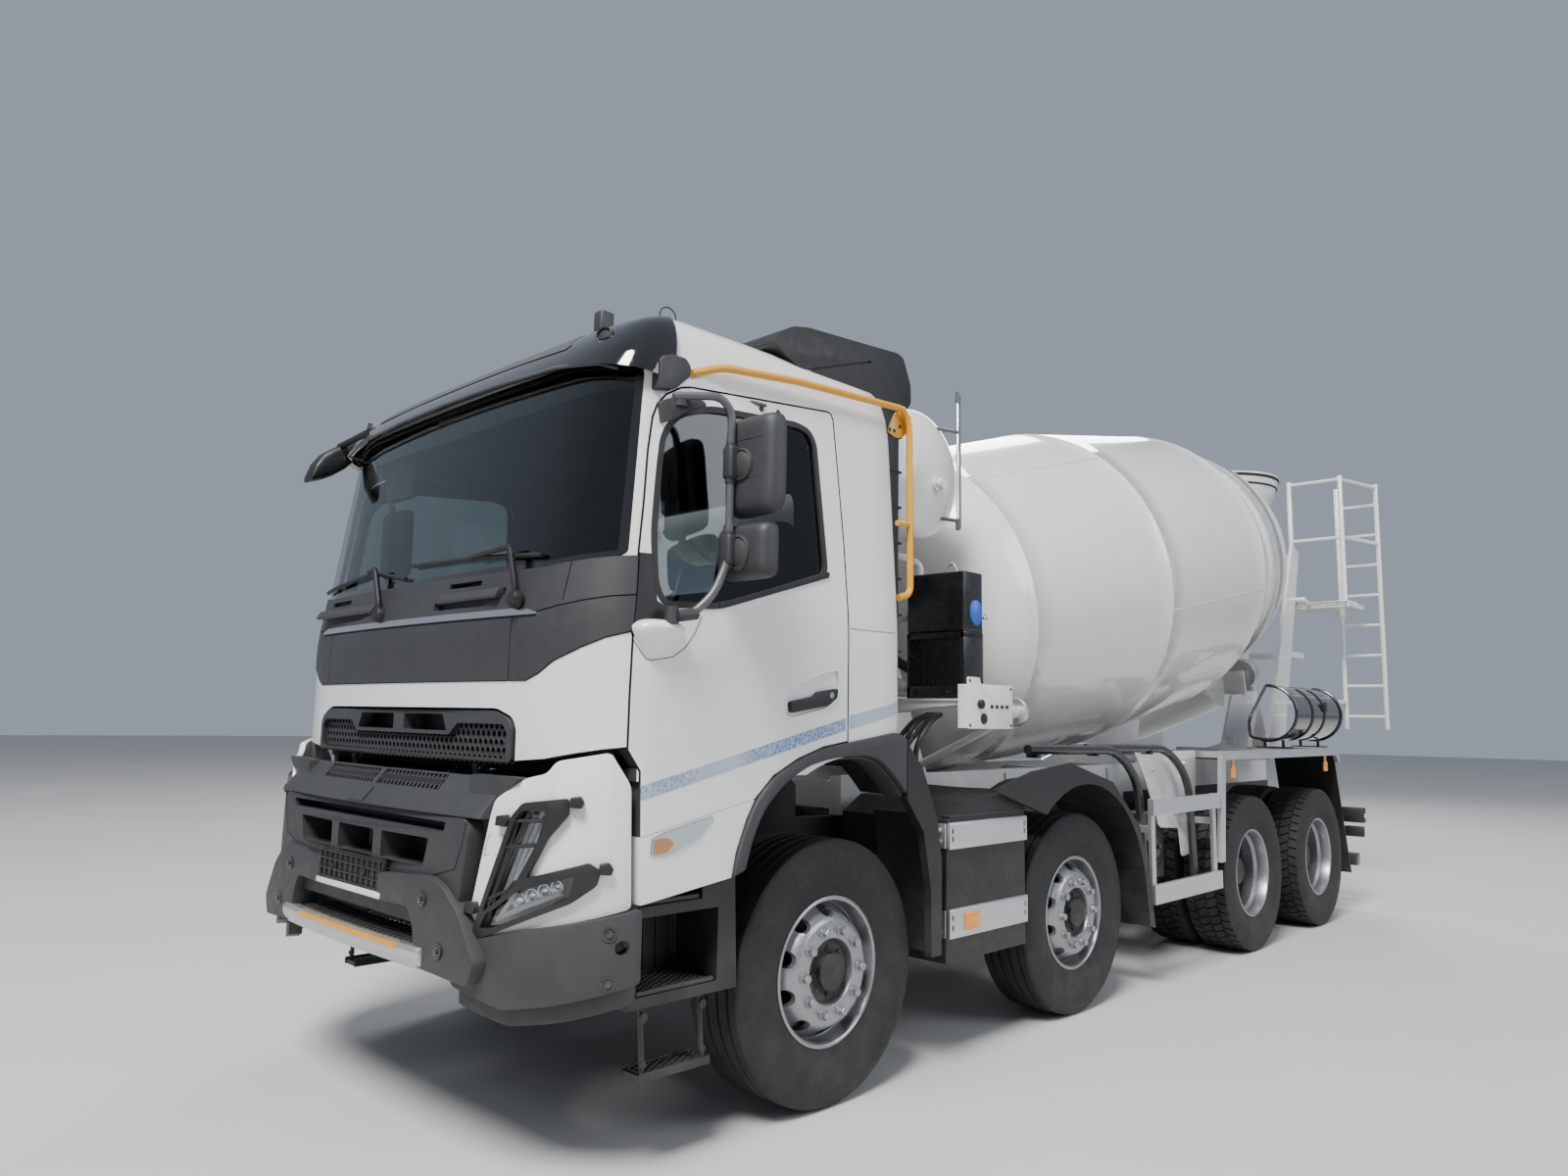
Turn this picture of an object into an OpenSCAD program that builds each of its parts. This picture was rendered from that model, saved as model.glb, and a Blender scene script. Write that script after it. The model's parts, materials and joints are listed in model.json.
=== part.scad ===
// Four-axle concrete mixer truck. Millimetres, +X forward, +Y left, +Z up.
// Places along the truck are measured from the first axle, then shifted to the middle of the length.

/* [Overall] */
// Foremost point, in front of the first axle
x_front = 1550; // [1540:1:1600]
// Half of the body width
half_w = 1245; // [1240:1:1275]

/* [Axles] */
// From the first axle to the second
axle_1_2 = 1995; // [1940:5:2050]
// From the second axle to the third
axle_2_3 = 2380; // [2300:5:2450]
// From the third axle to the fourth
axle_3_4 = 1370; // [1350:5:1400]
// Track of the steered wheels
front_track = 2060; // [2030:5:2080]
// Track between the middles of the twin wheels
rear_track = 1840; // [1820:5:1850]
// From the middle of a steered wheel in to its kingpin
king_inset = 200; // [190:5:220]
// Distance between the leaf springs
spring_track = 800; // [760:5:820]

/* [Wheels] */
// Tyre radius, which is also the axle height
tyre_r = 530; // [515:1:540]
// Tyre width
tyre_w = 312; // [290:1:320]
// Radius of the rim's bead seat
rim_r = 286; // [280:1:290]
// Distance between the bead seats
rim_w = 236; // [220:1:240]
// Middle to middle of the tyres of a pair
twin_pitch = 345; // [340:1:360]
// Nuts on each wheel
nut_count = 10; // [8:1:12]
// Radius of the nut circle
nut_circle = 167; // [160:1:172]
// Radius of the wheel spindles
spindle_r = 45; // [40:1:50]
// Radius of the kingpins
king_r = 25; // [20:1:28]

/* [Chassis] */
// Width over the frame rails
frame_w = 850; // [800:5:870]
// Height of the top of the rails
frame_top = 1050; // [1040:5:1060]
// Depth of the rails
rail_h = 300; // [270:5:300]
// Flange width of the rails
rail_flange = 90; // [80:1:100]
// Plate thickness of the rails
rail_t = 10; // [8:1:14]
// Front end of the rails, in front of the first axle
rail_front = 1180; // [1150:5:1200]
// Rear end of the rails, behind the first axle
rail_rear = 6900; // [6880:5:6950]
// Height of the mixer subframe
sub_h = 200; // [160:5:220]

/* [Drum] */
// Slope of the drum axis
drum_tilt = 11; // [9:0.5:12]
// Front apex of the drum, behind the first axle
drum_x = 1420; // [1400:5:1450]
// Height of the front apex
drum_z = 2110; // [2090:5:2150]
// Largest radius
drum_r = 1150; // [1120:1:1160]
// Depth of the dished head
head_len = 500; // [450:5:540]
// Radius at the dished head's seam
head_r = 1000; // [960:1:1020]
// End of the front cone
cone_end = 1980; // [1900:10:2050]
// Length of the taper from the cylinder to the track ring
taper_len = 480; // [440:10:520]
// Length of the cone from the track ring to the mouth
rear_cone = 590; // [540:10:640]
// Width of the track ring band
ring_w = 520; // [450:5:540]
// Radius of the drum at the track ring
ring_r = 985; // [960:1:1000]
// Length of the drum
drum_len = 5250; // [5200:10:5280]
// Radius of the mouth
mouth_r = 560; // [520:1:580]
// Plate thickness of the drum
drum_t = 12; // [8:1:16]
// Radius of the support rollers
roller_r = 125; // [110:1:130]
// Angle of each roller from straight below the drum
roller_angle = 32; // [28:1:36]

/* [Cab] */
// Rear wall, behind the first axle
cab_rear = 375; // [360:5:380]
// Front of the cab above the bumper
cab_front = 1335; // [1325:1:1340]
// Height of the underside of the floor
floor_z = 1330; // [1325:1:1345]
// Thickness of walls, roof and doors
wall = 55; // [50:1:60]
// Height of the roof's ridge
roof_z = 3140; // [3100:5:3160]
// Height of the belt line
belt_z = 1950; // [1930:5:1970]
// How far each side leans in towards the roof
lean_in = 65; // [50:1:80]
// Front edge of the doors
door_front = 1045; // [1040:1:1048]
// Rear edge of the doors
door_rear = 5; // [0:1:20]
// Gap around the doors
door_gap = 8; // [6:1:10]
// Radius of the wheel arches
arch_r = 700; // [690:1:710]
// Height of the cab's tilting axis
tilt_z = 1355; // [1350:1:1360]
// Place of the cab's tilting axis
tilt_x = 1260; // [1255:1:1262]
// Glass thickness
glass_t = 8; // [6:1:10]

/* [Rear equipment] */
// Radius of the water tank
tank_r = 340; // [320:1:350]
// Length of the water tank
tank_len = 1900; // [1800:10:1940]
// Height of the hopper's rim
hopper_z = 3930; // [3900:5:3940]
// Radius of the hopper's rim
hopper_r = 600; // [560:5:600]
// From the drum's mouth back to the chute's swivel post
swivel_back = 546.5; // [520:0.5:560]
// From the swivel post back to the rearmost point
ladder_reach = 680; // [650:5:700]
// Length of the discharge chute
chute_len = 1120; // [1000:10:1130]
// Radius of the chute's trough
chute_r = 190; // [170:1:200]

/* [Hidden] */
$fn = 48;

// Working clearances
fit_gap = 0.3;
slide_gap = 1;
move_gap = 8;

chute_x = drum_x + drum_len * cos(drum_tilt) + swivel_back;
x_rear = chute_x + ladder_reach;
mid_x = (x_front - x_rear) / 2;
axle_x = [0, -axle_1_2, -axle_1_2 - axle_2_3, -axle_1_2 - axle_2_3 - axle_3_4];
bogie_x = (axle_x[2] + axle_x[3]) / 2;
rail_y = frame_w / 2;
rail_bottom = frame_top - rail_h;
sub_top = frame_top + sub_h;
twin_y = rear_track / 2;
front_y = front_track / 2;
king_y = front_y - king_inset;
spring_y = spring_track / 2;
steer_sweep = norm([tyre_r, front_y - king_y + tyre_w / 2 - 26]) + move_gap;

// Moves a part from the first axle's origin to the middle of the truck
module placed() {
    translate([-mid_x, 0, 0]) children();
}

// Draws its children on the left and, mirrored, on the right
module both_sides() {
    children();
    mirror([0, 1, 0]) children();
}

// A side view (x, z) made y0 to y1 wide
module side_slab(y0, y1) {
    translate([0, y1, 0]) rotate([90, 0, 0]) linear_extrude(y1 - y0) children();
}

// A front view (y, z) made from x0 to x1
module front_slab(x0, x1) {
    translate([x0, 0, 0]) rotate([90, 0, 90]) linear_extrude(x1 - x0) children();
}

// A plan view (x, y) made from z0 to z1
module plan_slab(z0, z1) {
    translate([0, 0, z0]) linear_extrude(z1 - z0) children();
}

// A box between two corners
module box(a, b) {
    translate([min(a.x, b.x), min(a.y, b.y), min(a.z, b.z)])
        cube([abs(b.x - a.x), abs(b.y - a.y), abs(b.z - a.z)]);
}

// A round bar between two points
module bar(a, b, r) {
    d = b - a;
    translate(a) rotate([0, acos(d.z / norm(d)), atan2(d.y, d.x)]) cylinder(h = norm(d), r = r);
}

// A cylinder along Y from y0 to y1
module axle_pin(x, z, y0, y1, r) {
    translate([x, y0, z]) rotate([-90, 0, 0]) cylinder(h = y1 - y0, r = r);
}

// Rectangle with rounded corners, centred
module round_rect(w, h, r) {
    hull() for (x = [-1, 1], y = [-1, 1]) translate([x * (w / 2 - r), y * (h / 2 - r)])
        circle(r = r, $fn = 24);
}

// Bent tube: rings swept along points, with each corner rounded by an arc of short steps
function unit(v) = v / norm(v);
function turned(u, a, b) =
    let (c = cross(a, b), s = norm(c), k = a * b)
    s < 1e-6 ? u : let (n = c / s) u * k + cross(n, u) * s + n * (n * u) * (1 - k);
function first_side(d) = unit(cross(d, abs(d.z) < 0.9 ? [0, 0, 1] : [1, 0, 0]));
function corner(a, b, c, cut, steps) =
    let (p = b + unit(a - b) * cut, q = b + unit(c - b) * cut)
    [for (i = [0:steps]) let (t = i / steps) p * (1 - t) * (1 - t) + b * 2 * t * (1 - t) + q * t * t];
function bent(points, cut, steps = 3) = concat(
    [points[0]],
    [for (i = [1:1:len(points) - 2]) each corner(points[i - 1], points[i], points[i + 1], cut, steps)],
    [points[len(points) - 1]]);
function tube_rings(p, r, sides) =
    let (last = len(p) - 1,
         d = [for (i = [0:last - 1]) unit(p[i + 1] - p[i])],
         w = [for (i = 0, u = first_side(d[0]); i < last;
              u = i + 1 < last ? turned(u, d[i], d[i + 1]) : u, i = i + 1) u])
    [for (i = [0:last], j = [0:sides - 1])
        let (k = i == 0 ? 0 : i - 1,
             n = i == 0 ? d[0] : i == last ? d[last - 1] : unit(d[i - 1] + d[i]),
             a = 360 * j / sides,
             q = (w[k] * cos(a) + cross(d[k], w[k]) * sin(a)) * r)
        p[i] + q - d[k] * ((q * n) / (d[k] * n))];
module bent_tube(points, r, cut = 60, sides = 10) {
    path = len(points) > 2 ? bent(points, cut) : points;
    n = len(path);
    polyhedron(
        points = tube_rings(path, r, sides),
        faces = concat(
            [[for (j = [0:sides - 1]) j]],
            [for (i = [0:n - 2], j = [0:sides - 1]) let (a = i * sides, b = (j + 1) % sides)
                each [[a + j, a + sides + b, a + b], [a + j, a + sides + j, a + sides + b]]],
            [[for (j = [0:sides - 1]) n * sides - 1 - j]]));
}

// Wheels: drawn with the axis along Z and the outside face up
bead_w = rim_w / 2;
module tyre_ring() {
    groove = 12;
    rotate_extrude() difference() {
        polygon([
            [rim_r, -bead_w + fit_gap], [rim_r + 13, -bead_w + fit_gap], [rim_r + 20, -bead_w - 16],
            [tyre_r * 0.72, -tyre_w / 2], [tyre_r * 0.86, -tyre_w / 2], [tyre_r - 28, -tyre_w / 2 + 8],
            [tyre_r, -tyre_w / 2 + 26], [tyre_r, tyre_w / 2 - 26],
            [tyre_r - 28, tyre_w / 2 - 8], [tyre_r * 0.86, tyre_w / 2], [tyre_r * 0.72, tyre_w / 2],
            [rim_r + 20, bead_w + 16], [rim_r + 13, bead_w - fit_gap], [rim_r, bead_w - fit_gap]
        ]);
        for (z = [-75, -25, 25, 75]) translate([tyre_r - groove, z - groove / 2])
            square([groove + 1, groove]);
    }
}

rim_flange = 12;
rim_t = 9;
module rim_barrel() {
    seat = rim_r - fit_gap;
    rotate_extrude() polygon([
        [seat - rim_t, -bead_w - rim_flange], [rim_r + 12, -bead_w - rim_flange], [rim_r + 12, -bead_w],
        [seat, -bead_w], [seat, bead_w], [rim_r + 12, bead_w],
        [rim_r + 12, bead_w + rim_flange], [seat - rim_t, bead_w + rim_flange]
    ]);
}

// Disc of a wheel: profile of heights from the hub to the barrel, with hand holes
module rim_disc(face_z, edge_z, t) {
    seat = rim_r - fit_gap - rim_t + 1;
    difference() {
        rotate_extrude() polygon([
            [spindle_r + 45, face_z - t], [215, face_z - t], [seat, edge_z - t],
            [seat, edge_z], [215, face_z], [spindle_r + 45, face_z]
        ]);
        for (i = [0:nut_count - 1]) rotate(360 / nut_count * (i + 0.5))
            translate([237, 0, min(face_z, edge_z) - 60]) cylinder(h = abs(face_z - edge_z) + 130, r = 24);
    }
}

module nut_ring(face_z) {
    for (i = [0:nut_count - 1]) rotate(360 / nut_count * i) translate([nut_circle, 0, face_z - 1])
        cylinder(h = 26, r = 17, $fn = 6);
}

// Hub with a blind bore for the spindle
module wheel_hub(z0, z1, cap_z, cap_r) {
    difference() {
        union() {
            translate([0, 0, z0]) cylinder(h = z1 - z0, r = spindle_r + 47);
            translate([0, 0, z1 - 1]) cylinder(h = cap_z - z1 + 1, r = cap_r);
        }
        translate([0, 0, z0 - 1]) cylinder(h = cap_z - 20 - z0 + 1, r = spindle_r + fit_gap);
    }
}

front_face_z = 128;
hub_in = 10;
cap_h = 150;
module rim_single() {
    rim_barrel();
    rim_disc(front_face_z, 70, 16);
    rotate_extrude() polygon([
        [spindle_r + 46, front_face_z - 2], [200, front_face_z - 2], [196, front_face_z + 14],
        [spindle_r + 46, front_face_z + 14]
    ]);
    nut_ring(front_face_z + 14);
    wheel_hub(hub_in, front_face_z, cap_h, 75);
}

module rim_twin() {
    translate([0, 0, twin_pitch / 2]) rim_barrel();
    translate([0, 0, -twin_pitch / 2]) rim_barrel();
    rim_disc(16, twin_pitch / 2 - bead_w + 30, 16);
    mirror([0, 0, 1]) rim_disc(0, twin_pitch / 2 - bead_w + 30, 16);
    nut_ring(16);
    wheel_hub(-60, 60, 210, 92);
}

module tyre_twin() {
    translate([0, 0, twin_pitch / 2]) tyre_ring();
    translate([0, 0, -twin_pitch / 2]) tyre_ring();
}

// Puts a wheel drawn along Z on its axle, outside face outwards
module on_axle(n, y, side) {
    placed() mirror([0, side < 0 ? 1 : 0, 0]) translate([axle_x[n - 1], y, tyre_r]) rotate([-90, 0, 0])
        children();
}

// Knuckle: fork round the axle's eye, kingpin, spindle, brake drum and steering arm
eye_h = 130;
fork_h = 34;
eye_r = 50;
module knuckle() {
    reach = front_y - king_y;
    king_off = -reach;
    translate([0, king_off, 0]) {
        translate([0, 0, -eye_h / 2 - fork_h]) cylinder(h = eye_h + 2 * fork_h, r = king_r);
        for (z = [-eye_h / 2 - fork_h, eye_h / 2 + slide_gap / 2]) difference() {
            translate([0, 0, z - (z < 0 ? slide_gap / 2 : 0)]) plan_slab(0, fork_h) polygon([
                [-eye_r, -eye_r], [eye_r, -eye_r], [eye_r + 15, 90], [-eye_r - 15, 90]
            ]);
        }
        translate([-65, eye_r + 12, -eye_h / 2 - fork_h - slide_gap / 2])
            cube([130, 50, eye_h + 2 * fork_h + slide_gap]);
    }
    axle_pin(0, 0, king_off + eye_r + 20, cap_h - 21, spindle_r);
    // Brake drum behind the wheel's disc
    axle_pin(0, 0, king_off + eye_r + 40, hub_in - slide_gap, 190);
    // Steering arm
    plan_slab(-eye_h / 2 - fork_h, -eye_h / 2 - fork_h + 25) polygon([
        [-30, king_off - 20], [-30, king_off + 70], [-230, king_off - 40], [-230, king_off - 90]
    ]);
}

module knuckle_at(n, side) {
    color("dimgray") placed() mirror([0, side < 0 ? 1 : 0, 0]) translate([axle_x[n - 1], front_y, tyre_r])
        knuckle();
}

// Axles: two steered beams with eyes, two driven housings, and their leaf springs
beam_h = 90;
beam_drop = 95;
leaf_t = 24;
leaf_w = 90;
leaves = 3;
leaf_step = 0.22;
leaf_bow = 5200;
pack_h = leaves * leaf_t + 1;
module steered_beam(x) {
    translate([x, 0, tyre_r]) {
        difference() {
            union() {
                front_slab(-45, 45) polygon([
                    [-king_y, 45], [-king_y, -45], [-king_y + 90, -45],
                        [-king_y + 190, -beam_drop - beam_h / 2],
                    [king_y - 190, -beam_drop - beam_h / 2], [king_y - 90, -45], [king_y, -45],
                    [king_y, 45], [king_y - 110, 45], [king_y - 220, -beam_drop + beam_h / 2],
                    [-king_y + 220, -beam_drop + beam_h / 2], [-king_y + 110, 45]
                ]);
                both_sides() translate([0, king_y, -eye_h / 2]) cylinder(h = eye_h, r = eye_r);
            }
            both_sides() translate([0, king_y, -eye_h]) cylinder(h = 2 * eye_h, r = king_r + fit_gap);
        }
    }
}

// Leaf pack: arcs of one radius, each leaf shorter than the one it rests on
function arc_points(half, rise, r, n) =
    [for (i = [0:n]) let (x = -half + 2 * half * i / n) [x, rise + r - sqrt(r * r - x * x)]];
module leaf_pack(x, z, half, up) {
    for (i = [0:leaves - 1]) {
        l = half * (1 - i * leaf_step);
        translate([x, 0, z]) mirror([0, 0, up ? 0 : 1])
            side_slab(spring_y - leaf_w / 2, spring_y + leaf_w / 2)
            polygon(concat(
                arc_points(l, -i * leaf_t, leaf_bow, 8),
                [for (p = arc_points(l, -i * leaf_t - leaf_t - 1, leaf_bow, 8)) [-p.x, p.y]]));
    }
}

spring_seat = tyre_r - beam_drop + beam_h / 2;
front_leaf_half = 800;
leaf_end_z = spring_seat + pack_h + 40;
module front_suspension(x) {
    both_sides() {
        leaf_pack(x, spring_seat + pack_h, front_leaf_half, true);
        // Hangers from the frame to the leaf ends
        for (s = [-1, 1]) side_slab(spring_y - leaf_w / 2, rail_y - rail_t)
            polygon([[x + s * (front_leaf_half - 60), rail_bottom - fit_gap],
                [x + s * (front_leaf_half - 40), leaf_end_z],
                     [x + s * (front_leaf_half + 30), leaf_end_z],
                     [x + s * (front_leaf_half + 60), rail_bottom - fit_gap]]);
    }
}

hub_face = twin_y - 60 - 4;
module driven_axle(x) {
    axle_pin(x, tyre_r, -hub_face, hub_face, 78);
    both_sides() axle_pin(x, tyre_r, hub_face - 10, twin_y + 210 - 21, spindle_r);
    both_sides() axle_pin(x, tyre_r, hub_face - 150, hub_face - 2, 185);
    translate([x, 0, tyre_r]) sphere(r = 225);
    bar([x, 0, tyre_r], [x + 330, 0, tyre_r + 60], 105);
}

bogie_half = axle_3_4 / 2;
bogie_leaf_z = rail_bottom - pack_h - 5;
bogie_pad_z = bogie_leaf_z - leaf_bow + sqrt(leaf_bow * leaf_bow - bogie_half * bogie_half) + 2;
module rear_suspension() {
    both_sides() {
        leaf_pack(bogie_x, bogie_leaf_z, bogie_half + 60, false);
        for (n = [2, 3]) box([axle_x[n] - 60, spring_y - 50, tyre_r],
            [axle_x[n] + 60, spring_y + 50, bogie_pad_z]);
        side_slab(spring_y - leaf_w / 2, rail_y - rail_t) polygon([
            [bogie_x - 160, rail_bottom - fit_gap], [bogie_x - 90, tyre_r + 60],
                [bogie_x + 90, tyre_r + 60],
            [bogie_x + 160, rail_bottom - fit_gap]
        ]);
    }
    axle_pin(bogie_x, tyre_r + 110, -spring_y - 45, spring_y + 45, 55);
}

module axles() {
    color("dimgray") placed() {
        for (n = [0, 1]) {
            steered_beam(axle_x[n]);
            front_suspension(axle_x[n]);
        }
        for (n = [2, 3]) driven_axle(axle_x[n]);
        rear_suspension();
    }
}

// Frame: two channels, cross members, tilt brackets, air tanks and the rear cross member
cross_x = [-1300, -2650, -3700, -4250, -6450];
bracket_y = 500;
bracket_t = 40;
tilt_r = 15;
tilt_boss = 24;
air_tank_r = 125;
module frame() {
    color([0.16, 0.17, 0.18]) placed() {
        both_sides() front_slab(-rail_rear, rail_front) difference() {
            translate([rail_y - rail_flange, rail_bottom]) square([rail_flange, rail_h]);
            translate([rail_y - rail_flange - 1, rail_bottom + rail_t])
                square([rail_flange - rail_t + 1, rail_h - 2 * rail_t]);
        }
        for (x = cross_x) box([x - 40, -rail_y + rail_t - 1, rail_bottom + 40],
            [x + 40, rail_y - rail_t + 1, frame_top - 40]);
        box([rail_front, -rail_y, rail_bottom - 60], [rail_front + 40, rail_y, frame_top]);
        box([-rail_rear - 30, -rail_y, rail_bottom], [-rail_rear, rail_y, frame_top]);
        // Tilt brackets
        both_sides() difference() {
            union() {
                side_slab(bracket_y, bracket_y + bracket_t) polygon([
                    [rail_front - 220, rail_bottom + 60], [rail_front, rail_bottom + 60],
                        [tilt_x + tilt_boss, tilt_z],
                    [tilt_x - tilt_boss, tilt_z], [rail_front - 120, frame_top]
                ]);
                axle_pin(tilt_x, tilt_z, bracket_y, bracket_y + bracket_t, tilt_boss);
                box([rail_front - 220, rail_y - 1, rail_bottom + 60],
                    [rail_front - 20, bracket_y + 1, rail_bottom + 160]);
            }
            axle_pin(tilt_x, tilt_z, bracket_y - 1, bracket_y + bracket_t + 1, tilt_r + fit_gap);
        }
        // Air tanks behind the left guard, on brackets from the rail
        for (x = [-3150, -3480]) {
            translate([x, 850, 560]) cylinder(h = 330, r = air_tank_r);
            box([x - 40, rail_y - 1, rail_bottom + 30], [x + 40, 850, rail_bottom + 60]);
        }
    }
}

// Subframe: two rails with outriggers and the control box on the left
sub_front = -900;
module subframe() {
    color("gainsboro") placed() {
        both_sides() box([-rail_rear, rail_y - 80, frame_top], [sub_front, rail_y, sub_top]);
        for (x = [-950, -3700, -4700, -5700, -6700])
            box([x - 50, -rail_y + 79, frame_top + 30], [x + 50, rail_y - 79, sub_top - 30]);
        both_sides() for (x = [-2580, -3920]) side_slab(rail_y + fit_gap, rail_y + 14) polygon([
            [x - 90, rail_bottom + 100], [x + 90, rail_bottom + 100], [x + 120, sub_top - 20],
                [x - 120, sub_top - 20]
        ]);
        both_sides() for (x = [-2580, -3920])
            box([x - 60, rail_y - 1, frame_top + 20], [x + 60, rail_y + 2, sub_top - 30]);
        // Control box and its bracket
        box([-1310, half_w - 93, 1517], [-920, half_w - 40, 1727]);
        bar([-1250, rail_y - 10, sub_top - 60], [-1250, half_w - 85, 1540], 20);
        axle_pin(-1250, 1620, half_w - 185, half_w - 92, 18);
        bar([-1250, half_w - 175, 1620], [-1560, half_w - 175, 1600], 38);
    }
}

// Engine with its gearbox, as plain blocks, and the radiator
module engine() {
    color([0.3, 0.31, 0.33]) placed() {
        box([-350, -330, 700], [880, 330, 1290]);
        bar([-340, 0, 900], [-1100, 0, 850], 210);
        box([985, -330, 720], [1085, 330, 1290]);
        box([985, -410, frame_top + 5], [1085, 410, 1290]);
        box([870, -60, 760], [990, 60, 1000]);
        both_sides() box([300, 329, 860], [420, rail_y - rail_t - fit_gap, 900]);
        both_sides() box([1010, 329, 860], [1060, rail_y - rail_t - fit_gap, 900]);
    }
}

// Front seen from above: the bumper's face, then the corner round to the side
shelf_z = tilt_z - 30;
shelf_x = tilt_x + 102;
bumper_face = 1500;
crown_z = 1190;
panel_y = 820;
corner_x = 1056;
face_plan = [[bumper_face, 0], [bumper_face, 300], [bumper_face - 25, 620], [bumper_face - 60, panel_y]];
corner_plan = [
    [bumper_face - 60, panel_y], [1402, half_w - 365], [1360, half_w - 270], [1302, half_w - 170],
    [1243, half_w - 100], [1182, half_w - 50], [1120, half_w - 20], [corner_x, half_w - 8]
];
corner_last = len(corner_plan) - 1;
// A strip of the corner between two distances behind its face
module corner_band(near, far) {
    polygon(concat(
        [for (p = corner_plan) p - near * [1, 1]],
        [for (i = [corner_last:-1:0]) corner_plan[i] - far * [1, 1]]));
}
// Height of the joint between the white corner panel and the dark low corner
function split_z(y) = 795 + (y - panel_y) * 0.27;
// Slanted joint between the bumper's cheek and the corner panel, in the front view
cheek_line = [[778, 780], [790, 850], [862, 1205], [882, 1262], [960, shelf_z]];

// Bumper: crown, face with slot and openings, cheeks, arms and the low corners
arm_y0 = 560;
arm_back = 1446;
arm_stand = 12;
module bumper_body() {
    plan = concat(face_plan, [[1402, 880], [1360, 975], [shelf_x, 975]]);
    outline = concat([[0, 800], [740, 800]], cheek_line, [[0, shelf_z]]);
    intersection() {
        plan_slab(780, shelf_z) {
            polygon(concat(plan, [[shelf_x, 0]]));
            mirror([0, 1]) polygon(concat(plan, [[shelf_x, 0]]));
        }
        front_slab(shelf_x, x_front) {
            polygon(outline);
            mirror([1, 0]) polygon(outline);
        }
        side_slab(-half_w, half_w) polygon([
            [shelf_x - 1, 780], [x_front, 780], [x_front, crown_z - 52], [bumper_face, crown_z],
            [shelf_x + 8, shelf_z], [shelf_x - 1, shelf_z]
        ]);
    }
}
module bumper() {
    color([0.22, 0.23, 0.25]) placed() {
        difference() {
            bumper_body();
            // Hollow behind the face and the crown
            side_slab(-690, 690) polygon([
                [0, 779], [bumper_face - 62, 779], [bumper_face - 62, crown_z - 25],
                    [shelf_x - 1, shelf_z - 75],
                [0, shelf_z - 75]
            ]);
            // Mesh windows in the crown, then the slot and three openings in the face
            plan_slab(crown_z - 30, shelf_z + 1) for (y = [-262, 262]) translate([1420, y])
                square([66, 480], center = true);
            front_slab(shelf_x - 1, x_front) {
                translate([0, 1155]) square([1310, 30], center = true);
                for (y = [-390, 0, 390]) translate([y, 1056])
                    square([y == 0 ? 310 : 340, 104], center = true);
            }
        }
        // Ties to the frame's front cross member
        both_sides() box([rail_front + 40, 300, 880], [bumper_face - 61, 360, 960]);
        // Arms, proud of the face
        both_sides() intersection() {
            front_slab(arm_back, bumper_face + arm_stand) polygon([
                [262, 962], [622, 986], [700, 960], [783, 870], [824, 806], [905, 735], [870, 655],
                    [arm_y0, 668], [arm_y0, 752],
                [522, 813], [486, 866], [262, 862]
            ]);
            plan_slab(600, 1000) polygon([
                [1300, 0], [1512, 0], [1512, 300], [1490, 640], [1468, 910], [1300, 910]
            ]);
        }
        // Low corner, wrapped round to the side, with its hole and the chin that turns under
        both_sides() difference() {
            intersection() {
                plan_slab(500, 950) offset(delta = 14) corner_band(0, 14);
                front_slab(corner_x, x_front) polygon([
                    [745, 640], [950, 585], [1100, 612], [half_w + 20, 672],
                        [half_w + 20, split_z(half_w) - 6],
                    [745, split_z(745) - 6]
                ]);
            }
            axle_pin(1118, 791, half_w - 60, half_w + 20, 24);
            front_slab(1380, 1500) translate([838, 722]) circle(r = 20);
        }
        both_sides() intersection() {
            plan_slab(500, 700) corner_band(14, 60);
            front_slab(corner_x, x_front) polygon([
                [760, 590], [950, 530], [1100, 550], [half_w + 20, 600], [half_w + 20, 676], [1100, 640],
                [950, 620], [760, 668]
            ]);
        }
        // Plate holder, blank
        box([bumper_face - 1, -275, 880], [bumper_face + 12, 285, 1000]);
        // Cross beam that carries the arms and the step
        box([1300, -arm_y0 - 60, 700], [1400, arm_y0 + 60, 790]);
        box([rail_front + 40, -300, 700], [1301, 300, 780]);
        both_sides() box([1300, arm_y0, 700], [arm_back + 10, arm_y0 + 60, 790]);
        both_sides() box([1380, arm_y0 + 59, 700], [arm_back + 10, 790, 730]);
    }
}

jaw_x = 1485;
jaw_z = 520;
jaw_pin = 20;
module bumper_step() {
    color("silver") placed() {
        side_slab(-arm_y0 + fit_gap, arm_y0 - fit_gap) polygon([
            [1401, 700], [1470, 650], [1505, 658], [1538, 700], [x_front - 10, 728], [x_front - 20, 742],
            [1470, 738], [1401, 738]
        ]);
        // Towing jaw under the step, with its pin hole
        difference() {
            union() {
                box([1402, -70, jaw_z], [jaw_x + 40, 70, jaw_z + 25]);
                box([1402, -70, jaw_z + 65], [jaw_x + 40, 70, jaw_z + 90]);
                box([1402, -70, jaw_z], [1430, 70, 705]);
            }
            translate([jaw_x, 0, jaw_z - 1]) cylinder(h = 92, r = jaw_pin);
        }
    }
}

// White corner panels round the headlamps, behind the bumper's arms
panel_t = 24;
module corner_panels() {
    color("whitesmoke") placed() both_sides() difference() {
        intersection() {
            plan_slab(780, shelf_z) corner_band(0, panel_t);
            front_slab(corner_x, x_front) polygon(concat(
                [for (p = cheek_line) p + [fit_gap + 1, 0]],
                [[half_w + 1, shelf_z], [half_w + 1, split_z(half_w)],
                    [panel_y - 30, split_z(panel_y - 30)]]));
        }
        lamp_cut(fit_gap);
    }
}
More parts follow.
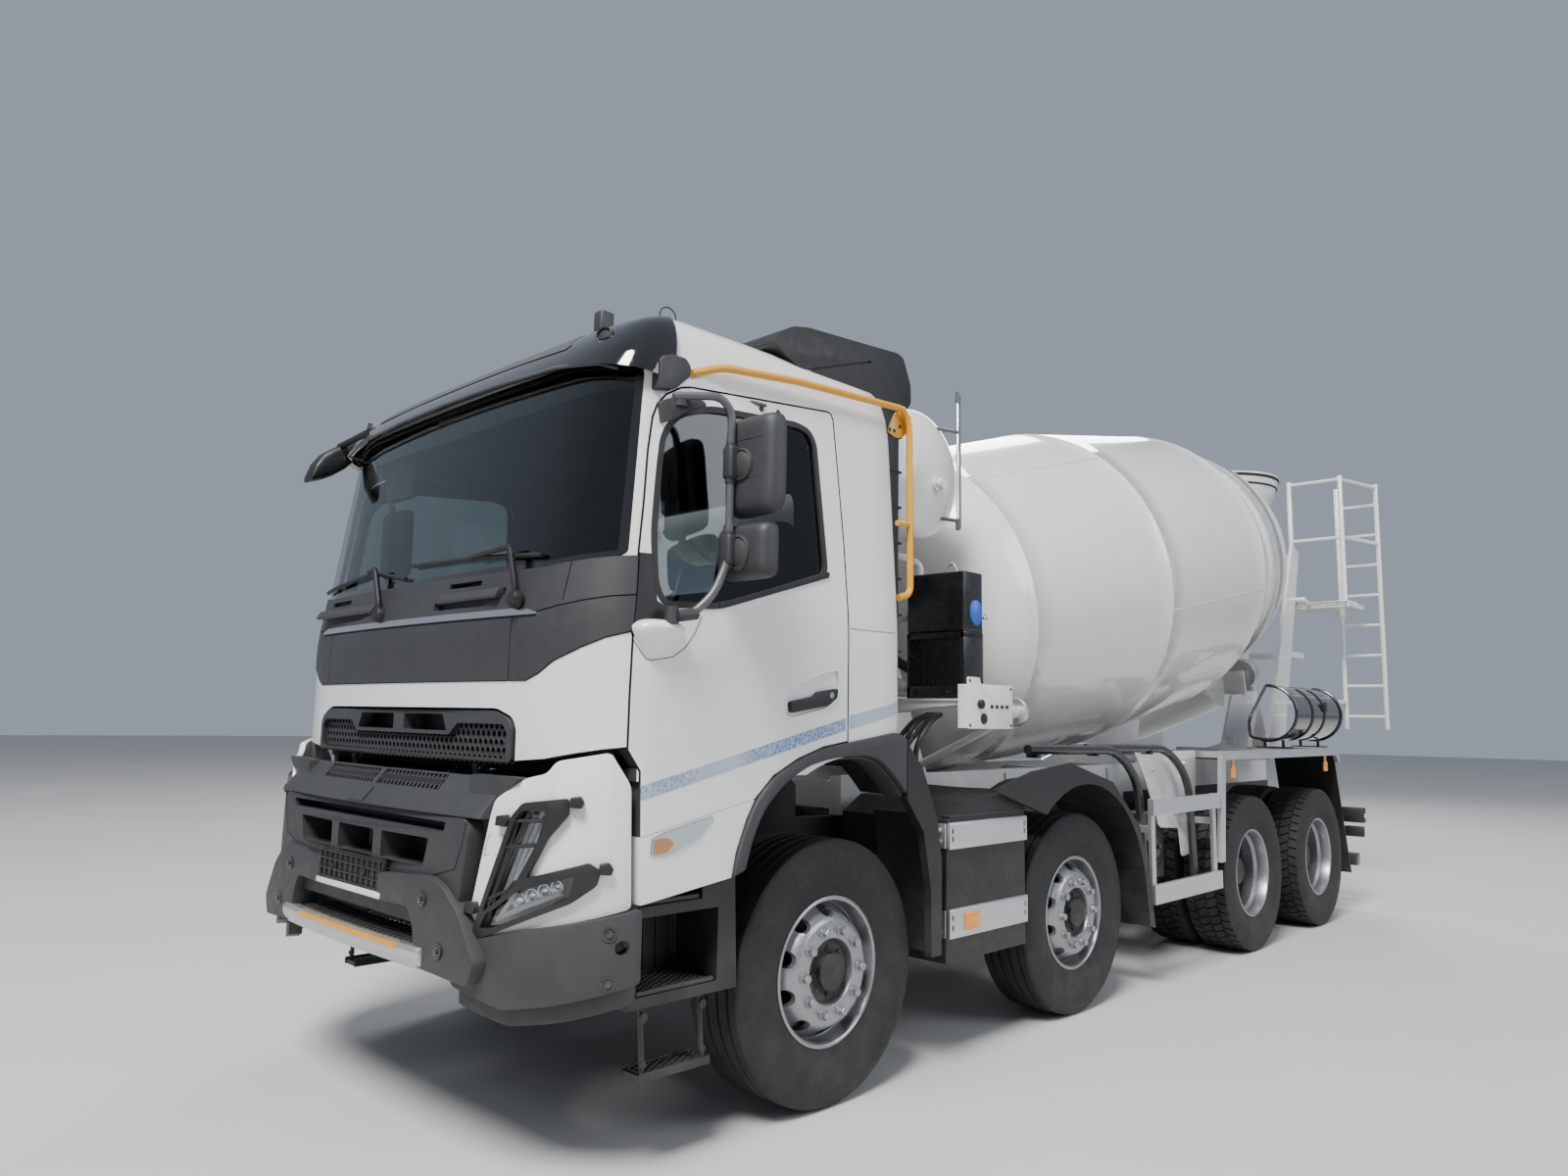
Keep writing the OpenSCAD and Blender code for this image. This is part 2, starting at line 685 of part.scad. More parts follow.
// Tall lamp and low lamp in the front view, and the windows of the guard before them
lamp_line = [
    [845, 835], [872, 824], [1132, 945], [1160, 1035], [1000, 985], [1058, 1140], [1085, 1250], [985, 1240],
    [955, 1200]
];
guard_line = [
    [826, 820], [862, 806], [1136, 937], [1187, 993], [1194, 1040], [1170, 1066], [1010, 1012],
        [1068, 1139],
    [1122, 1222], [1118, 1275], [990, 1256], [952, 1208]
];
guard_windows = [
    [[868, 893], [962, 968], [986, 1010], [1040, 1130], [1066, 1242], [985, 1228], [966, 1195]],
    [[858, 838], [898, 842], [1128, 952], [1142, 1024], [978, 966], [880, 888]]
];
// Posts that carry the guard on the lamp
guard_posts = [[925, 930], [1146, 1012], [1062, 1190], [914, 1050]];
module lamp_cut(grow) {
    front_slab(1180, 1480) offset(delta = grow) polygon(lamp_line);
}
module lamps() {
    color("lightgray") placed() {
        both_sides() {
            intersection() {
                plan_slab(780, shelf_z) corner_band(8, 40);
                lamp_cut(0);
            }
            difference() {
                intersection() {
                    plan_slab(780, shelf_z) corner_band(-18, -4);
                    front_slab(1100, x_front) polygon(guard_line);
                }
                front_slab(1100, x_front) for (w = guard_windows) polygon(w);
            }
            intersection() {
                plan_slab(780, shelf_z) corner_band(-10, 12);
                front_slab(1100, x_front) for (p = guard_posts) translate(p) circle(r = 4, $fn = 8);
            }
            // Cross bars
            intersection() {
                plan_slab(780, shelf_z) corner_band(-16, -6);
                front_slab(1100, x_front) for (b = [[[950, 1196], [1064, 1199]],
                    [[925, 1108], [1040, 1120]]])
                    polygon([b[0] + [0, -6], b[1] + [0, -6], b[1] + [0, 6], b[0] + [0, 6]]);
            }
        }
        // Rear lamps
        both_sides() box([-6955, 1000, 720], [-6895, half_w - 5, 850]);
        both_sides() box([-6900, rail_y, 760], [-6880, 1120, 800]);
    }
}

// Step wells beside the engine, with the hanging steps
well_y = half_w - 65;
module step_wells() {
    color([0.13, 0.13, 0.14]) placed() both_sides() {
        difference() {
            side_slab(860, well_y) polygon([[540, 560], [1045, 560], [1045, 900], [1045, 1260],
                [700, 1260], [560, 1000]]);
            // Two treads let in from the side
            box([640, 940, 600], [1010, well_y + 1, 860]);
            box([720, 900, 900], [1010, well_y + 1, 1130]);
            box([760, 930, 1160], [1010, well_y + 1, 1261]);
            translate([0, king_y, 500]) cylinder(h = 900, r = steer_sweep);
        }
        // Hanging step
        for (x = [680, 950]) bar([x, well_y - 50, 561], [x, well_y - 30, 330], 10);
        box([660, well_y - 120, 315], [970, well_y - 10, 335]);
        // Bracket to the frame
        box([760, rail_y + fit_gap, 800], [860, 861, 860]);
    }
}

// Battery box on the left, fuel tank on the right
box_y = half_w - 45;
box_front = -750;
box_rear = -axle_1_2 + 565;
module battery_box() {
    color([0.15, 0.15, 0.16]) placed() {
        difference() {
            side_slab(560, box_y) polygon([
                [box_rear, 450], [box_rear, 1180], [box_rear + 50, 1205], [box_front - 150, 1170],
                [box_front - 10, 1090], [box_front, 450]
            ]);
            translate([axle_x[1], king_y, 400]) cylinder(h = 900, r = steer_sweep);
        }
        // Straps across the lid, with the rows of holes left to the scene
        for (z = [[560, 690], [960, 1080]])
            box([box_rear + 2, box_y - 1, z[0]], [box_front - 12, box_y + 14, z[1]]);
        box([box_rear + 230, rail_y + fit_gap, 800], [box_front - 150, 561, 900]);
    }
}
module fuel_tank() {
    color("silver") placed() {
        difference() {
            side_slab(-box_y, -560) translate([(box_front + box_rear) / 2, 800])
                round_rect(box_front - box_rear, 640, 90);
            translate([axle_x[1], -king_y, 400]) cylinder(h = 900, r = steer_sweep);
        }
        for (x = [box_rear + 150, box_front - 130]) {
            tank_strap(x);
            box([x - 30, -561, 780], [x + 30, -rail_y - fit_gap, 880]);
        }
        translate([box_front - 250, -box_y + 120, 1119]) cylinder(h = 35, r = 45);
    }
}
module tank_strap(x) {
    difference() {
        box([x - 25, -box_y - 8, 475], [x + 25, -560, 1125]);
        box([x - 26, -box_y + 1, 484], [x + 26, -559, 1116]);
    }
}

// Fenders over the second axle, and the liners with flaps over the bogie
fender_r = 690;
fender_t = 12;
module mid_fender() {
    translate([axle_x[1], 0, tyre_r]) {
        side_slab(800, half_w) polygon(concat(
            [for (a = [52.5:7.5:165]) fender_r * [cos(a), sin(a)]],
            [for (a = [165:-7.5:52.5]) (fender_r + fender_t) * [cos(a), sin(a)]]));
        // Outer flare
        side_slab(half_w - 20, half_w) polygon(concat(
            [for (a = [52.5:7.5:165]) (fender_r + 1) * [cos(a), sin(a)]],
            [[-fender_r - 40, -150], [-795, -170], [-725, 150], [-625, 420], [-305, 690], [165, 805],
                [545, 770],
             [895, 690], [895, 684]]));
    }
    // Flap behind the wheel, and the stay from the frame
    side_slab(820, half_w - 19) polygon([
        [axle_x[1] - fender_r + 20, tyre_r + 180], [axle_x[1] - fender_r - 8, tyre_r + 185],
        [axle_x[1] - 760, 370], [axle_x[1] - 745, 370]
    ]);
    bent_tube([[axle_x[1], rail_y + fit_gap, 1140], [axle_x[1], 1000, 1140],
               [axle_x[1], 1000, tyre_r + fender_r + 5]], 16, 30);
}
// Flare and liner behind the first wheel, on a stay from the frame
liner_x = -648;
module front_liner() {
    side_slab(half_w - 20, half_w + 18) intersection() {
        flare_outline();
        translate([-800, 500]) square([800 - cab_rear - move_gap, 1000]);
    }
    side_slab(900, half_w - 10) polygon([
        [liner_x, 519], [liner_x + 12, 519], [liner_x + 20, 930], [liner_x + 55, 1130],
            [liner_x + 43, 1134],
        [liner_x + 8, 932]
    ]);
    box([liner_x, half_w - 21, 519], [liner_x + 20, half_w - 9, 930]);
    bar([liner_x + 6, rail_y + fit_gap, 900], [liner_x + 6, 910, 900], 14);
}
rear_fender_top = 1375;
rear_fender_x0 = axle_x[2] + 470;
rear_fender_x1 = axle_x[3] - 480;
module rear_liner() {
    box([rear_fender_x1, 735, rear_fender_top - 60], [rear_fender_x0, half_w - 30, rear_fender_top - 50]);
    side_slab(735, half_w - 30) polygon([
        [rear_fender_x1, rear_fender_top - 50], [rear_fender_x1 - 330, 330], [rear_fender_x1 - 342, 330],
        [rear_fender_x1 - 12, rear_fender_top - 50]
    ]);
}
module fenders() {
    color([0.1, 0.1, 0.11]) placed() both_sides() {
        front_liner();
        mid_fender();
        rear_liner();
    }
}

// Side guards, rear fender frames and the rear underrun bar
module guards() {
    color("silver") placed() {
        both_sides() {
            for (z = [[487, 600], [1005, 1100]]) box([-3790, half_w - 25, z[0]], [-2800, half_w, z[1]]);
            for (x = [-2840, -3740]) {
                box([x - 25, half_w - 45, 487], [x + 25, half_w - 24, 1100]);
                box([x - 25, rail_y + fit_gap, 900], [x + 25, half_w - 44, 940]);
            }
            side_slab(half_w - 30, half_w) polygon([
                [rear_fender_x0 + 130, 650], [rear_fender_x0 + 60, rear_fender_top],
                    [rear_fender_x1 - 20, rear_fender_top],
                [rear_fender_x1 - 80, rear_fender_top - 120], [rear_fender_x1 - 30, rear_fender_top - 120],
                [rear_fender_x1 + 20, rear_fender_top - 60], [rear_fender_x0, rear_fender_top - 60],
                [rear_fender_x0 + 60, 650]
            ]);
            for (x = [rear_fender_x0 - 60, bogie_x])
                box([x - 30, rail_y - 40 + ped_t + fit_gap, rear_fender_top - 49 + fit_gap],
                    [x + 30, half_w - 29, rear_fender_top - 5]);
            box([-5980, roller_y + 12 + fit_gap, rear_fender_top - 49 + fit_gap],
                [-5920, half_w - 29, rear_fender_top - 5]);
        }
        box([-6920, -1180, 360], [-6840, 1180, 460]);
        both_sides() box([-6915, 340, 455], [-6845, 420, rail_bottom - fit_gap]);
    }
}

// Drum axis frame: Z along the drum from the front apex to the mouth
module on_drum_axis() {
    placed() translate([-drum_x, 0, drum_z]) rotate([0, -90 + drum_tilt, 0]) children();
}
axis_dir = [-cos(drum_tilt), 0, sin(drum_tilt)];
axis_down = [-sin(drum_tilt), 0, -cos(drum_tilt)];
function on_axis(s) = [-drum_x, 0, drum_z] + axis_dir * s;

ring_start = drum_len - rear_cone - ring_w;
body_end = ring_start - taper_len;
drum_outline = concat(
    [for (a = [15:15:90]) [head_r * sin(a), head_len * (1 - cos(a))]],
    [[drum_r - 3, cone_end], [drum_r, body_end], [ring_r + 35, ring_start], [ring_r, ring_start + 10],
     [ring_r, ring_start + ring_w], [mouth_r, drum_len]]);
module drum_half() {
    polygon(concat([[0, 0]], drum_outline, [[0, drum_len]]));
}
module drum_full() {
    drum_half();
    mirror([1, 0]) drum_half();
}
function drum_radius(s) =
    s < cone_end ? head_r + (drum_r - 3 - head_r) * (s - head_len) / (cone_end - head_len)
    : s < body_end ? drum_r - 3
    : s < ring_start ? drum_r + (ring_r - drum_r) * (s - body_end) / (ring_start - body_end)
    : s < ring_start + ring_w ? ring_r
    : ring_r + (mouth_r - ring_r) * (s - ring_start - ring_w) / (drum_len - ring_start - ring_w);

blade_h = 300;
blade_pitch = 900;
blade_to = drum_len - 100;
blade_from = blade_to - 1850;
blade_step = 15;
module blade(turn) {
    n = floor((blade_to - blade_from) / blade_pitch * 360 / blade_step);
    t = 8;
    polyhedron(
        points = [for (i = [0:n]) let (
            s = blade_from + blade_pitch * i * blade_step / 360,
            a = turn + i * blade_step,
            ro = min(drum_radius(s), drum_radius(s + t)) - 1.06 * drum_t - fit_gap,
            ri = ro - blade_h * min(1, (i + 2) / 6))
            each [[ri * cos(a), ri * sin(a), s], [ro * cos(a), ro * sin(a), s],
                  [ro * cos(a), ro * sin(a), s + t], [ri * cos(a), ri * sin(a), s + t]]],
        faces = concat(
            [[0, 2, 1], [0, 3, 2], [4 * n, 4 * n + 1, 4 * n + 2], [4 * n, 4 * n + 2, 4 * n + 3]],
            [for (i = [0:n - 1], j = [0:3]) let (a = 4 * i, b = 4 * i + 4, k = (j + 1) % 4)
                each [[a + j, b + k, b + j], [a + j, a + k, b + k]]]));
}

track_h = 45;
track_w = 90;
track_s = ring_start + ring_w / 2;
track_r = ring_r + track_h;
module drum() {
    color("whitesmoke") on_drum_axis() {
        difference() {
            rotate_extrude($fn = 96) intersection() {
                difference() {
                    drum_full();
                    offset(delta = -drum_t) drum_full();
                    translate([-mouth_r + drum_t, drum_len - 2 * drum_t])
                        square([2 * (mouth_r - drum_t), 4 * drum_t]);
                }
                square([2 * drum_r, 2 * drum_len]);
            }
        }
        rotate_extrude($fn = 96) translate([ring_r - 1, track_s - track_w / 2])
            square([track_h + 1, track_w]);
        // Flange that the gearbox turns
        translate([0, 0, -40]) cylinder(h = 70, r = 200);
        for (a = [0, 180]) blade(a);
    }
}

// Front pedestal with the gearbox
gear_r = 230;
gear_len = 330;
gear_mid = on_axis(-40 - slide_gap - gear_len / 2);
module front_pedestal() {
    color("gainsboro") {
        on_drum_axis() translate([0, 0, -40 - slide_gap - gear_len]) {
            cylinder(h = gear_len, r = gear_r);
            translate([0, 0, -150]) cylinder(h = 151, r = 130);
        }
        placed() {
            both_sides() {
                side_slab(rail_y - 60, rail_y - 40) polygon([
                    [-1100, sub_top], [-1700, sub_top], [gear_mid.x - 150, gear_mid.z - 60],
                    [gear_mid.x + 100, gear_mid.z - 60]
                ]);
            }
            box([gear_mid.x - 150, -rail_y + 41, gear_mid.z - 260],
                [gear_mid.x + 100, rail_y - 41, gear_mid.z - 180]);
            box([gear_mid.x - 110, -180, gear_mid.z - 261], [gear_mid.x + 60, 180, gear_mid.z - 40]);
        }
    }
}

// Support rollers on the rear pedestal
roller_w = 110;
roller_d = track_r + roller_r + fit_gap;
function roller_centre(side) =
    on_axis(track_s) + axis_down * roller_d * cos(roller_angle)
        + [0, side * roller_d * sin(roller_angle), 0];
roller_pin = 32;
module roller(side) {
    color("silver") placed() translate(roller_centre(side)) rotate([0, -90 + drum_tilt, 0])
        translate([0, 0, -roller_w / 2]) difference() {
            cylinder(h = roller_w, r = roller_r);
            translate([0, 0, -1]) cylinder(h = roller_w + 2, r = roller_pin + fit_gap);
        }
}

// Rear pedestal: side plates, roller seats, head frame and the collecting trough
ped_y = 560;
head_x = -chute_x + 15;
head_z = 3160;
ped_t = 16;
foot_x = roller_centre(1).x;
leg_x = -chute_x + 770;
module rear_pedestal() {
    color("gainsboro") {
        placed() {
            both_sides() {
                // Foot plates on the subframe, and the tall leg that leans back
                side_slab(rail_y - 40, rail_y - 40 + ped_t) polygon([
                    [foot_x + 1625, sub_top + fit_gap], [foot_x - 675, sub_top + fit_gap],
                    [foot_x - 575, sub_top + 230], [foot_x - 100, sub_top + 150],
                        [foot_x + 600, sub_top + 75],
                    [foot_x + 1425, sub_top + 50]
                ]);
                side_slab(roller_y - 12, roller_y + 12) polygon([
                    [foot_x + 575, sub_top + 1], [foot_x - 575, sub_top + 1],
                        [foot_x - 275, roller_low.z - 140],
                    [foot_x + 275, roller_low.z - 190]
                ]);
                box([foot_x - 575, rail_y - 41, sub_top + fit_gap],
                    [foot_x + 575, roller_y + 12, sub_top + 20]);
                // Leg up to the hopper
                side_slab(ped_y + 120, ped_y + 150) polygon([
                    [leg_x + 200, sub_top + 20], [leg_x - 200, sub_top + 20], [-chute_x - 40, head_z + 20],
                    [-chute_x + 120, head_z + 80]
                ]);
                box([leg_x - 190, rail_y - 41, sub_top + fit_gap],
                    [leg_x + 190, ped_y + 150, sub_top + 21]);
            }
            box([head_x - 25, -ped_y - 121, head_z - 80], [head_x + 25, ped_y + 121, head_z]);
            roller_seats();
            collector();
        }
    }
}
roller_low = roller_centre(1);
roller_y = roller_low.y;
module roller_seats() {
    both_sides() translate(roller_low) rotate([0, -90 + drum_tilt, 0]) {
        translate([0, 0, -roller_w / 2 - 60]) cylinder(h = roller_w + 120, r = roller_pin);
        for (z = [-roller_w / 2 - 50, roller_w / 2 + 20]) translate([-160, -130, z]) cube([200, 175, 30]);
    }
}

// Trough below the drum's mouth that leads to the swivel
neck_z = 2080;
module collector() {
    mouth_low = on_axis(drum_len) + axis_down * mouth_r;
    difference() {
        union() {
            translate([-chute_x + 60, 0, 2300]) cylinder(h = 420, r1 = 250, r2 = 430);
            translate([-chute_x + 60, 0, neck_z]) cylinder(h = 221, r = 250);
        }
        translate([-chute_x + 60, 0, 2299]) cylinder(h = 423, r1 = 240, r2 = 421);
        translate([-chute_x + 60, 0, neck_z - 1]) cylinder(h = 400, r = 240);
        on_drum_axis_local() translate([0, 0, drum_len - 600]) cylinder(h = 630, r = 900);
    }
    // Beams forward to the legs
    both_sides() {
        box([-chute_x - 60, 240, 2180], [-chute_x + 60, ped_y + 148, 2230]);
        box([-chute_x - 60, ped_y + 100, 2180], [-chute_x + 440, ped_y + 148, 2230]);
    }
    // Swivel post under the neck
    difference() {
        translate([-chute_x + 60, 0, neck_z - 60]) cylinder(h = 61, r = 262);
        translate([-chute_x + 60, 0, neck_z - 61]) cylinder(h = 63, r = 240);
    }
}
module on_drum_axis_local() {
    translate([-drum_x, 0, drum_z]) rotate([0, -90 + drum_tilt, 0]) children();
}

// Water tank across the truck behind the cab, with dished ends and a sight tube
tank_x = -980;
tank_z = 2820;
module water_tank() {
    color("whitesmoke") placed() {
        translate([tank_x, -tank_len / 2, tank_z]) rotate([-90, 0, 0]) rotate_extrude() polygon(concat(
            [[0, 0]],
            [for (a = [0:15:90]) [tank_r * sin(a), 110 * (1 - cos(a))]],
            [for (a = [90:-15:0]) [tank_r * sin(a), tank_len - 110 * (1 - cos(a))]],
            [[0, tank_len]]));
        // Saddles down to the front pedestal's platform
        both_sides() {
            side_slab(331, 355) polygon([
                [tank_x - 230, tank_z - 200], [tank_x + 200, tank_z - 200], [tank_x + 60, 2000],
                    [tank_x - 60, 2000]
            ]);
            box([tank_x - 60, 331, sub_top + fit_gap], [tank_x + 20, 359, 2060]);
        }
        // Sight tube
        bar([-1230, 940, 2550], [-1230, 940, 3300], 10);
        for (z = [2600, 3080]) bar([-1100, 900, z], [-1230, 940, z], 10);
        translate([tank_x - 50, tank_len / 2 - 2, tank_z - 60]) rotate([-90, 0, 0])
            cylinder(h = 50, r = 30);
    }
}

module oil_cooler() {
    color([0.12, 0.12, 0.13]) placed() {
        box([-1140, 640, 1660], [-640, 1150, 2290]);
        axle_pin(-880, 1980, 1149, 1175, 215);
        box([-1100, rail_y - 40, sub_top + fit_gap], [-1060, 700, sub_top + 60]);
        box([-1100, 650, sub_top + 1], [-1060, 700, 1661]);
    }
}

// Hopper: open funnel with a rubber rim, leading into the drum's mouth
hopper_x = -chute_x + 110;
hopper_t = 10;
spout_r = 210;
module hopper() {
    color([0.2, 0.2, 0.21]) placed() difference() {
        union() {
            translate([hopper_x, 0, 3700]) cylinder(h = hopper_z - 3700, r1 = hopper_r - 90,
                r2 = hopper_r - 20);
            translate([hopper_x, 0, 3350]) cylinder(h = 351, r1 = spout_r + 30, r2 = hopper_r - 90);
            bar([hopper_x + 20, 0, 3420], [hopper_x + 380, 0, 3245], spout_r);
            both_sides() bar([head_x, 395, head_z + fit_gap], [head_x, 395, 3620], 24);
        }
        translate([hopper_x, 0, 3699]) cylinder(h = hopper_z - 3698, r1 = hopper_r - 100,
            r2 = hopper_r - 30);
        translate([hopper_x, 0, 3360]) cylinder(h = 341, r1 = spout_r + 18, r2 = hopper_r - 100);
        bar([hopper_x + 40, 0, 3430], [hopper_x + 400, 0, 3255], spout_r - hopper_t);
    }
}

// Rear ladder, platform and rails on the left
ladder_x0 = -chute_x - 400;
ladder_x1 = -x_rear + 20;
rail_x = -chute_x - 60;
module ladder() {
    r = 20;
    ladder_y = half_w - 15;
    color("gainsboro") placed() {
        for (y = [880, ladder_y]) bar([ladder_x1, y, 1530], [ladder_x1, y, 3880], r);
        for (z = [1650:290:3800]) bar([ladder_x1, 880, z], [ladder_x1, ladder_y, z], 14);
        box([ladder_x0 - 80, 600, 2650], [-chute_x - 40, 1130, 2690]);
        box([ladder_x0 - 80, 865, 2600], [ladder_x1 + 8, 915, 2651]);
        for (y = [640, 1090]) bar([rail_x, y, 2670], [rail_x, y, 3880], r);
        for (z = [3300, 3850]) {
            bar([rail_x, 1090, z], [ladder_x1, ladder_y, z], 16);
            bar([rail_x, 640, z], [rail_x, 1090, z], 16);
        }
        // Stays to the rear pedestal's legs
        axle_pin(-chute_x + 130, 2720, ped_y + 150 + fit_gap, 800, 20);
        bar([-chute_x + 130, 790, 2720], [rail_x - 70, 790, 2671], 16);
        axle_pin(-chute_x + 420, 1750, ped_y + 150 + fit_gap, 900, 22);
        bar([-chute_x + 420, 880, 1750], [ladder_x1, 880, 1790], 16);
    }
}

// Spare half-pipe chute stowed on the left fender
module extension_chute() {
    color([0.07, 0.07, 0.08]) placed() translate([-5600, 1020, 1620]) rotate([0, 90, 0]) rotate([0, 0, 180])
        translate([0, 0, -850]) difference() {
            cylinder(h = 1100, r = 215);
            translate([0, 0, -1]) cylinder(h = 1102, r = 208);
            translate([0, -300, -1]) cube([300, 600, 1102]);
        }
    color([0.07, 0.07, 0.08]) placed() {
        for (x = [-5500, -6300]) box([x - 20, 810, rear_fender_top], [x + 20, 1240, 1410]);
    }
}

// How far out the cab's side is at a height
function side_y(z) = half_w - lean_in * max(0, z - belt_z) / (2880 - belt_z);

// Cab: outer form from three views
arch_x = -58;
arch_z = 700;
front_top_x = 1120;
cowl_z = tilt_z + 30;
module cab_side(grow) {
    offset(delta = grow) polygon([
        [-cab_rear, floor_z], [-cab_rear, 3020], [-300, 3110], [200, roof_z], [700, roof_z - 20],
        [1020, 3040], [front_top_x + 30, 2900], [1310, belt_z + 50], [cab_front, belt_z - 60],
            [cab_front, cowl_z],
        [1056, cowl_z], [1056, floor_z]
    ]);
}
module cab_end(grow) {
    top_y = half_w - lean_in;
    offset(delta = grow) polygon([
        [-half_w, floor_z - 100], [-half_w, belt_z], [-top_y, 2880], [-top_y + 60, 3060],
            [-top_y + 250, roof_z],
        [top_y - 250, roof_z], [top_y - 60, 3060], [top_y, 2880], [half_w, belt_z], [half_w, floor_z - 100]
    ]);
}
module cab_plan(grow) {
    offset(delta = grow) polygon([
        [-cab_rear, -half_w], [-cab_rear, half_w], [1056, half_w], [1190, 1170], [1290, 950], [1320, 700],
        [cab_front, 0], [1320, -700], [1290, -950], [1190, -1170], [1056, -half_w]
    ]);
}
module cab_form(grow) {
    intersection() {
        side_slab(-half_w - 10, half_w + 10) cab_side(grow);
        front_slab(-cab_rear - 10, cab_front + 10) cab_end(grow);
        plan_slab(floor_z - 10, roof_z + 10) cab_plan(grow);
    }
}

// Door outline in the side view, and its window
window = [[971, 1946], [1000, 2010], [942, 2627], [860, 2690], [200, 2770], [109, 2731], [35, 2150],
    [60, 2110]];
module door_outline(grow) {
    offset(delta = grow) difference() {
        polygon([[door_front, 919], [door_front, 2600], [956, 2723], [door_rear + 10, 2871],
            [door_rear, 1500],
                 [door_rear, 1200], [615, 974]]);
        translate([arch_x, arch_z]) circle(r = arch_r + 110, $fn = 96);
    }
}
module window_outline(grow) {
    offset(delta = grow) polygon(window);
}
module cab_shell() {
    color("whitesmoke") placed() {
        difference() {
            union() {
                difference() {
                    cab_form(0);
                    cab_form(-wall);
                    both_sides() side_slab(half_w - 130 - lean_in, half_w + 20) door_outline(door_gap);
                }
                // Flange that the doors close against
                difference() {
                    intersection() {
                        cab_form(-wall);
                        both_sides() side_slab(half_w - 200, half_w) door_outline(door_gap + 20);
                    }
                    cab_form(-wall - 15);
                    both_sides() side_slab(half_w - 210, half_w + 20) door_outline(-25);
                    // None at the hinges
                    box([door_front - 60, -half_w, 0], [door_front + 40, half_w, 4000]);
                }
            }
            // Windscreen opening and the window in the rear wall
            front_slab(1000, cab_front + 20) windscreen_outline(0);
            front_slab(-cab_rear - 1, -cab_rear + wall + 1) rear_window_outline(0);
            // Arches
            axle_pin(arch_x, arch_z, -half_w - 20, half_w + 20, arch_r - 20);
            grille_cut();
        }
        // Tilting lugs and pins
        both_sides() {
            side_slab(bracket_y - 32, bracket_y - 2) polygon([
                [1060, floor_z + 2], [tilt_x, tilt_z - tilt_boss], [tilt_x + tilt_boss, tilt_z],
                    [tilt_x + 8, tilt_z + 60],
                [1060, floor_z + 100]
            ]);
            axle_pin(tilt_x, tilt_z, bracket_y - 20, bracket_y + bracket_t + 4, tilt_r);
            axle_pin(tilt_x, tilt_z, bracket_y - 32, bracket_y - 2, tilt_boss);
        }
    }
}
module windscreen_outline(grow) {
    offset(delta = grow) polygon([
        [-1120, 2105], [-700, 2080], [700, 2080], [1120, 2105], [1060, 2820], [600, 2870], [-600, 2870],
            [-1060, 2820]
    ]);
}
module rear_window_outline(grow) {
    offset(delta = grow) translate([0, 2430]) round_rect(1240, 460, 60);
}
module windscreen() {
    color([0.5, 0.6, 0.65, 0.5]) placed() {
        intersection() {
            difference() {
                cab_form(-20);
                cab_form(-20 - glass_t);
            }
            front_slab(1000, cab_front + 20) windscreen_outline(-fit_gap);
        }
        front_slab(-cab_rear + 20, -cab_rear + 20 + glass_t) rear_window_outline(-fit_gap);
    }
}
module grille_cut() {
    front_slab(1250, cab_front + 20) grille_outline();
}
module grille_outline() {
    polygon([[-830, cowl_z + 1], [830, cowl_z + 1], [830, 1500], [795, 1536], [705, 1570],
             [-705, 1570], [-795, 1536], [-830, 1500]]);
}

// Dark trim: grille insert, panel under the windscreen, arch flares
module cab_trim() {
    color([0.2, 0.21, 0.23]) placed() {
        difference() {
            intersection() {
                front_slab(1275, cab_front + 20) offset(delta = -fit_gap) grille_outline();
                difference() {
                    cab_form(-12);
                    cab_form(-12 - 25);
                }
            }
            front_slab(1200, 1400) {
                for (y = [-215, 215]) translate([y, 1513]) square([335, 62], center = true);
                for (row = [0:2], i = [-11:11]) if (abs(i) < 11 || row == 1)
                    translate([i * 68 + (row == 1 ? 0 : 34) * (i < 0 ? 1 : i > 0 ? -1 : 0),
                        1408 + row * 26])
                        square([52, 15], center = true);
            }
        }
        // Panel under the windscreen
        intersection() {
            front_slab(1100, cab_front + 20) polygon([
                [-1120, 2100], [-700, 2075], [700, 2075], [1120, 2100], [1120, 1790], [815, 1670],
                    [-815, 1670],
                [-1120, 1790]
            ]);
            difference() {
                cab_form(6);
                cab_form(fit_gap);
            }
        }
        // Arch flares
        both_sides() side_slab(half_w + fit_gap, half_w + 18) intersection() {
            flare_outline();
            translate([-cab_rear, 900]) square([1100, 700]);
        }
    }
}

// Flare round the front wheel: on the cab in front, on its own stay behind it
module flare_outline() {
    polygon([
        [640, 975], [572, 1174], [432, 1334], [149, 1440], [-329, 1505], [-492, 1341], [-600, 1115],
            [-632, 930],
        [-630, 519], [-556, 519], [-552, 800], [-501, 1059], [-304, 1303], [-102, 1401], [236, 1367],
            [482, 1215],
        [580, 995]
    ]);
}

module visor() {
    color([0.3, 0.31, 0.33]) placed() difference() {
        intersection() {
            side_slab(-1190, 1190) polygon([
                [1000, 3070], [1110, 3050], [1190, 2990], [1232, 2910], [1235, 2862], [1212, 2850],
                    [1180, 2870],
                [1140, 2880], [980, 3030]
            ]);
            plan_slab(2800, 3100) polygon([
                [900, -1185], [900, 1185], [1040, 1180], [1130, 1070], [1190, 800], [1225, 400], [1235, 0],
                [1225, -400], [1190, -800], [1130, -1070], [1040, -1180]
            ]);
        }
        cab_form(fit_gap);
    }
    // Front mirror on an arm from the visor's right end
    color([0.3, 0.31, 0.33]) placed() {
        difference() {
            side_slab(-1210, -1100) polygon([
                [1055, 2852], [1061, 2937], [1168, 2898], [1284, 2808], [1330, 2668], [1266, 2670],
                    [1200, 2700]
            ]);
            cab_form(fit_gap);
        }
        box([1180, -1101, 2860], [1222, -780, 2890]);
    }
}

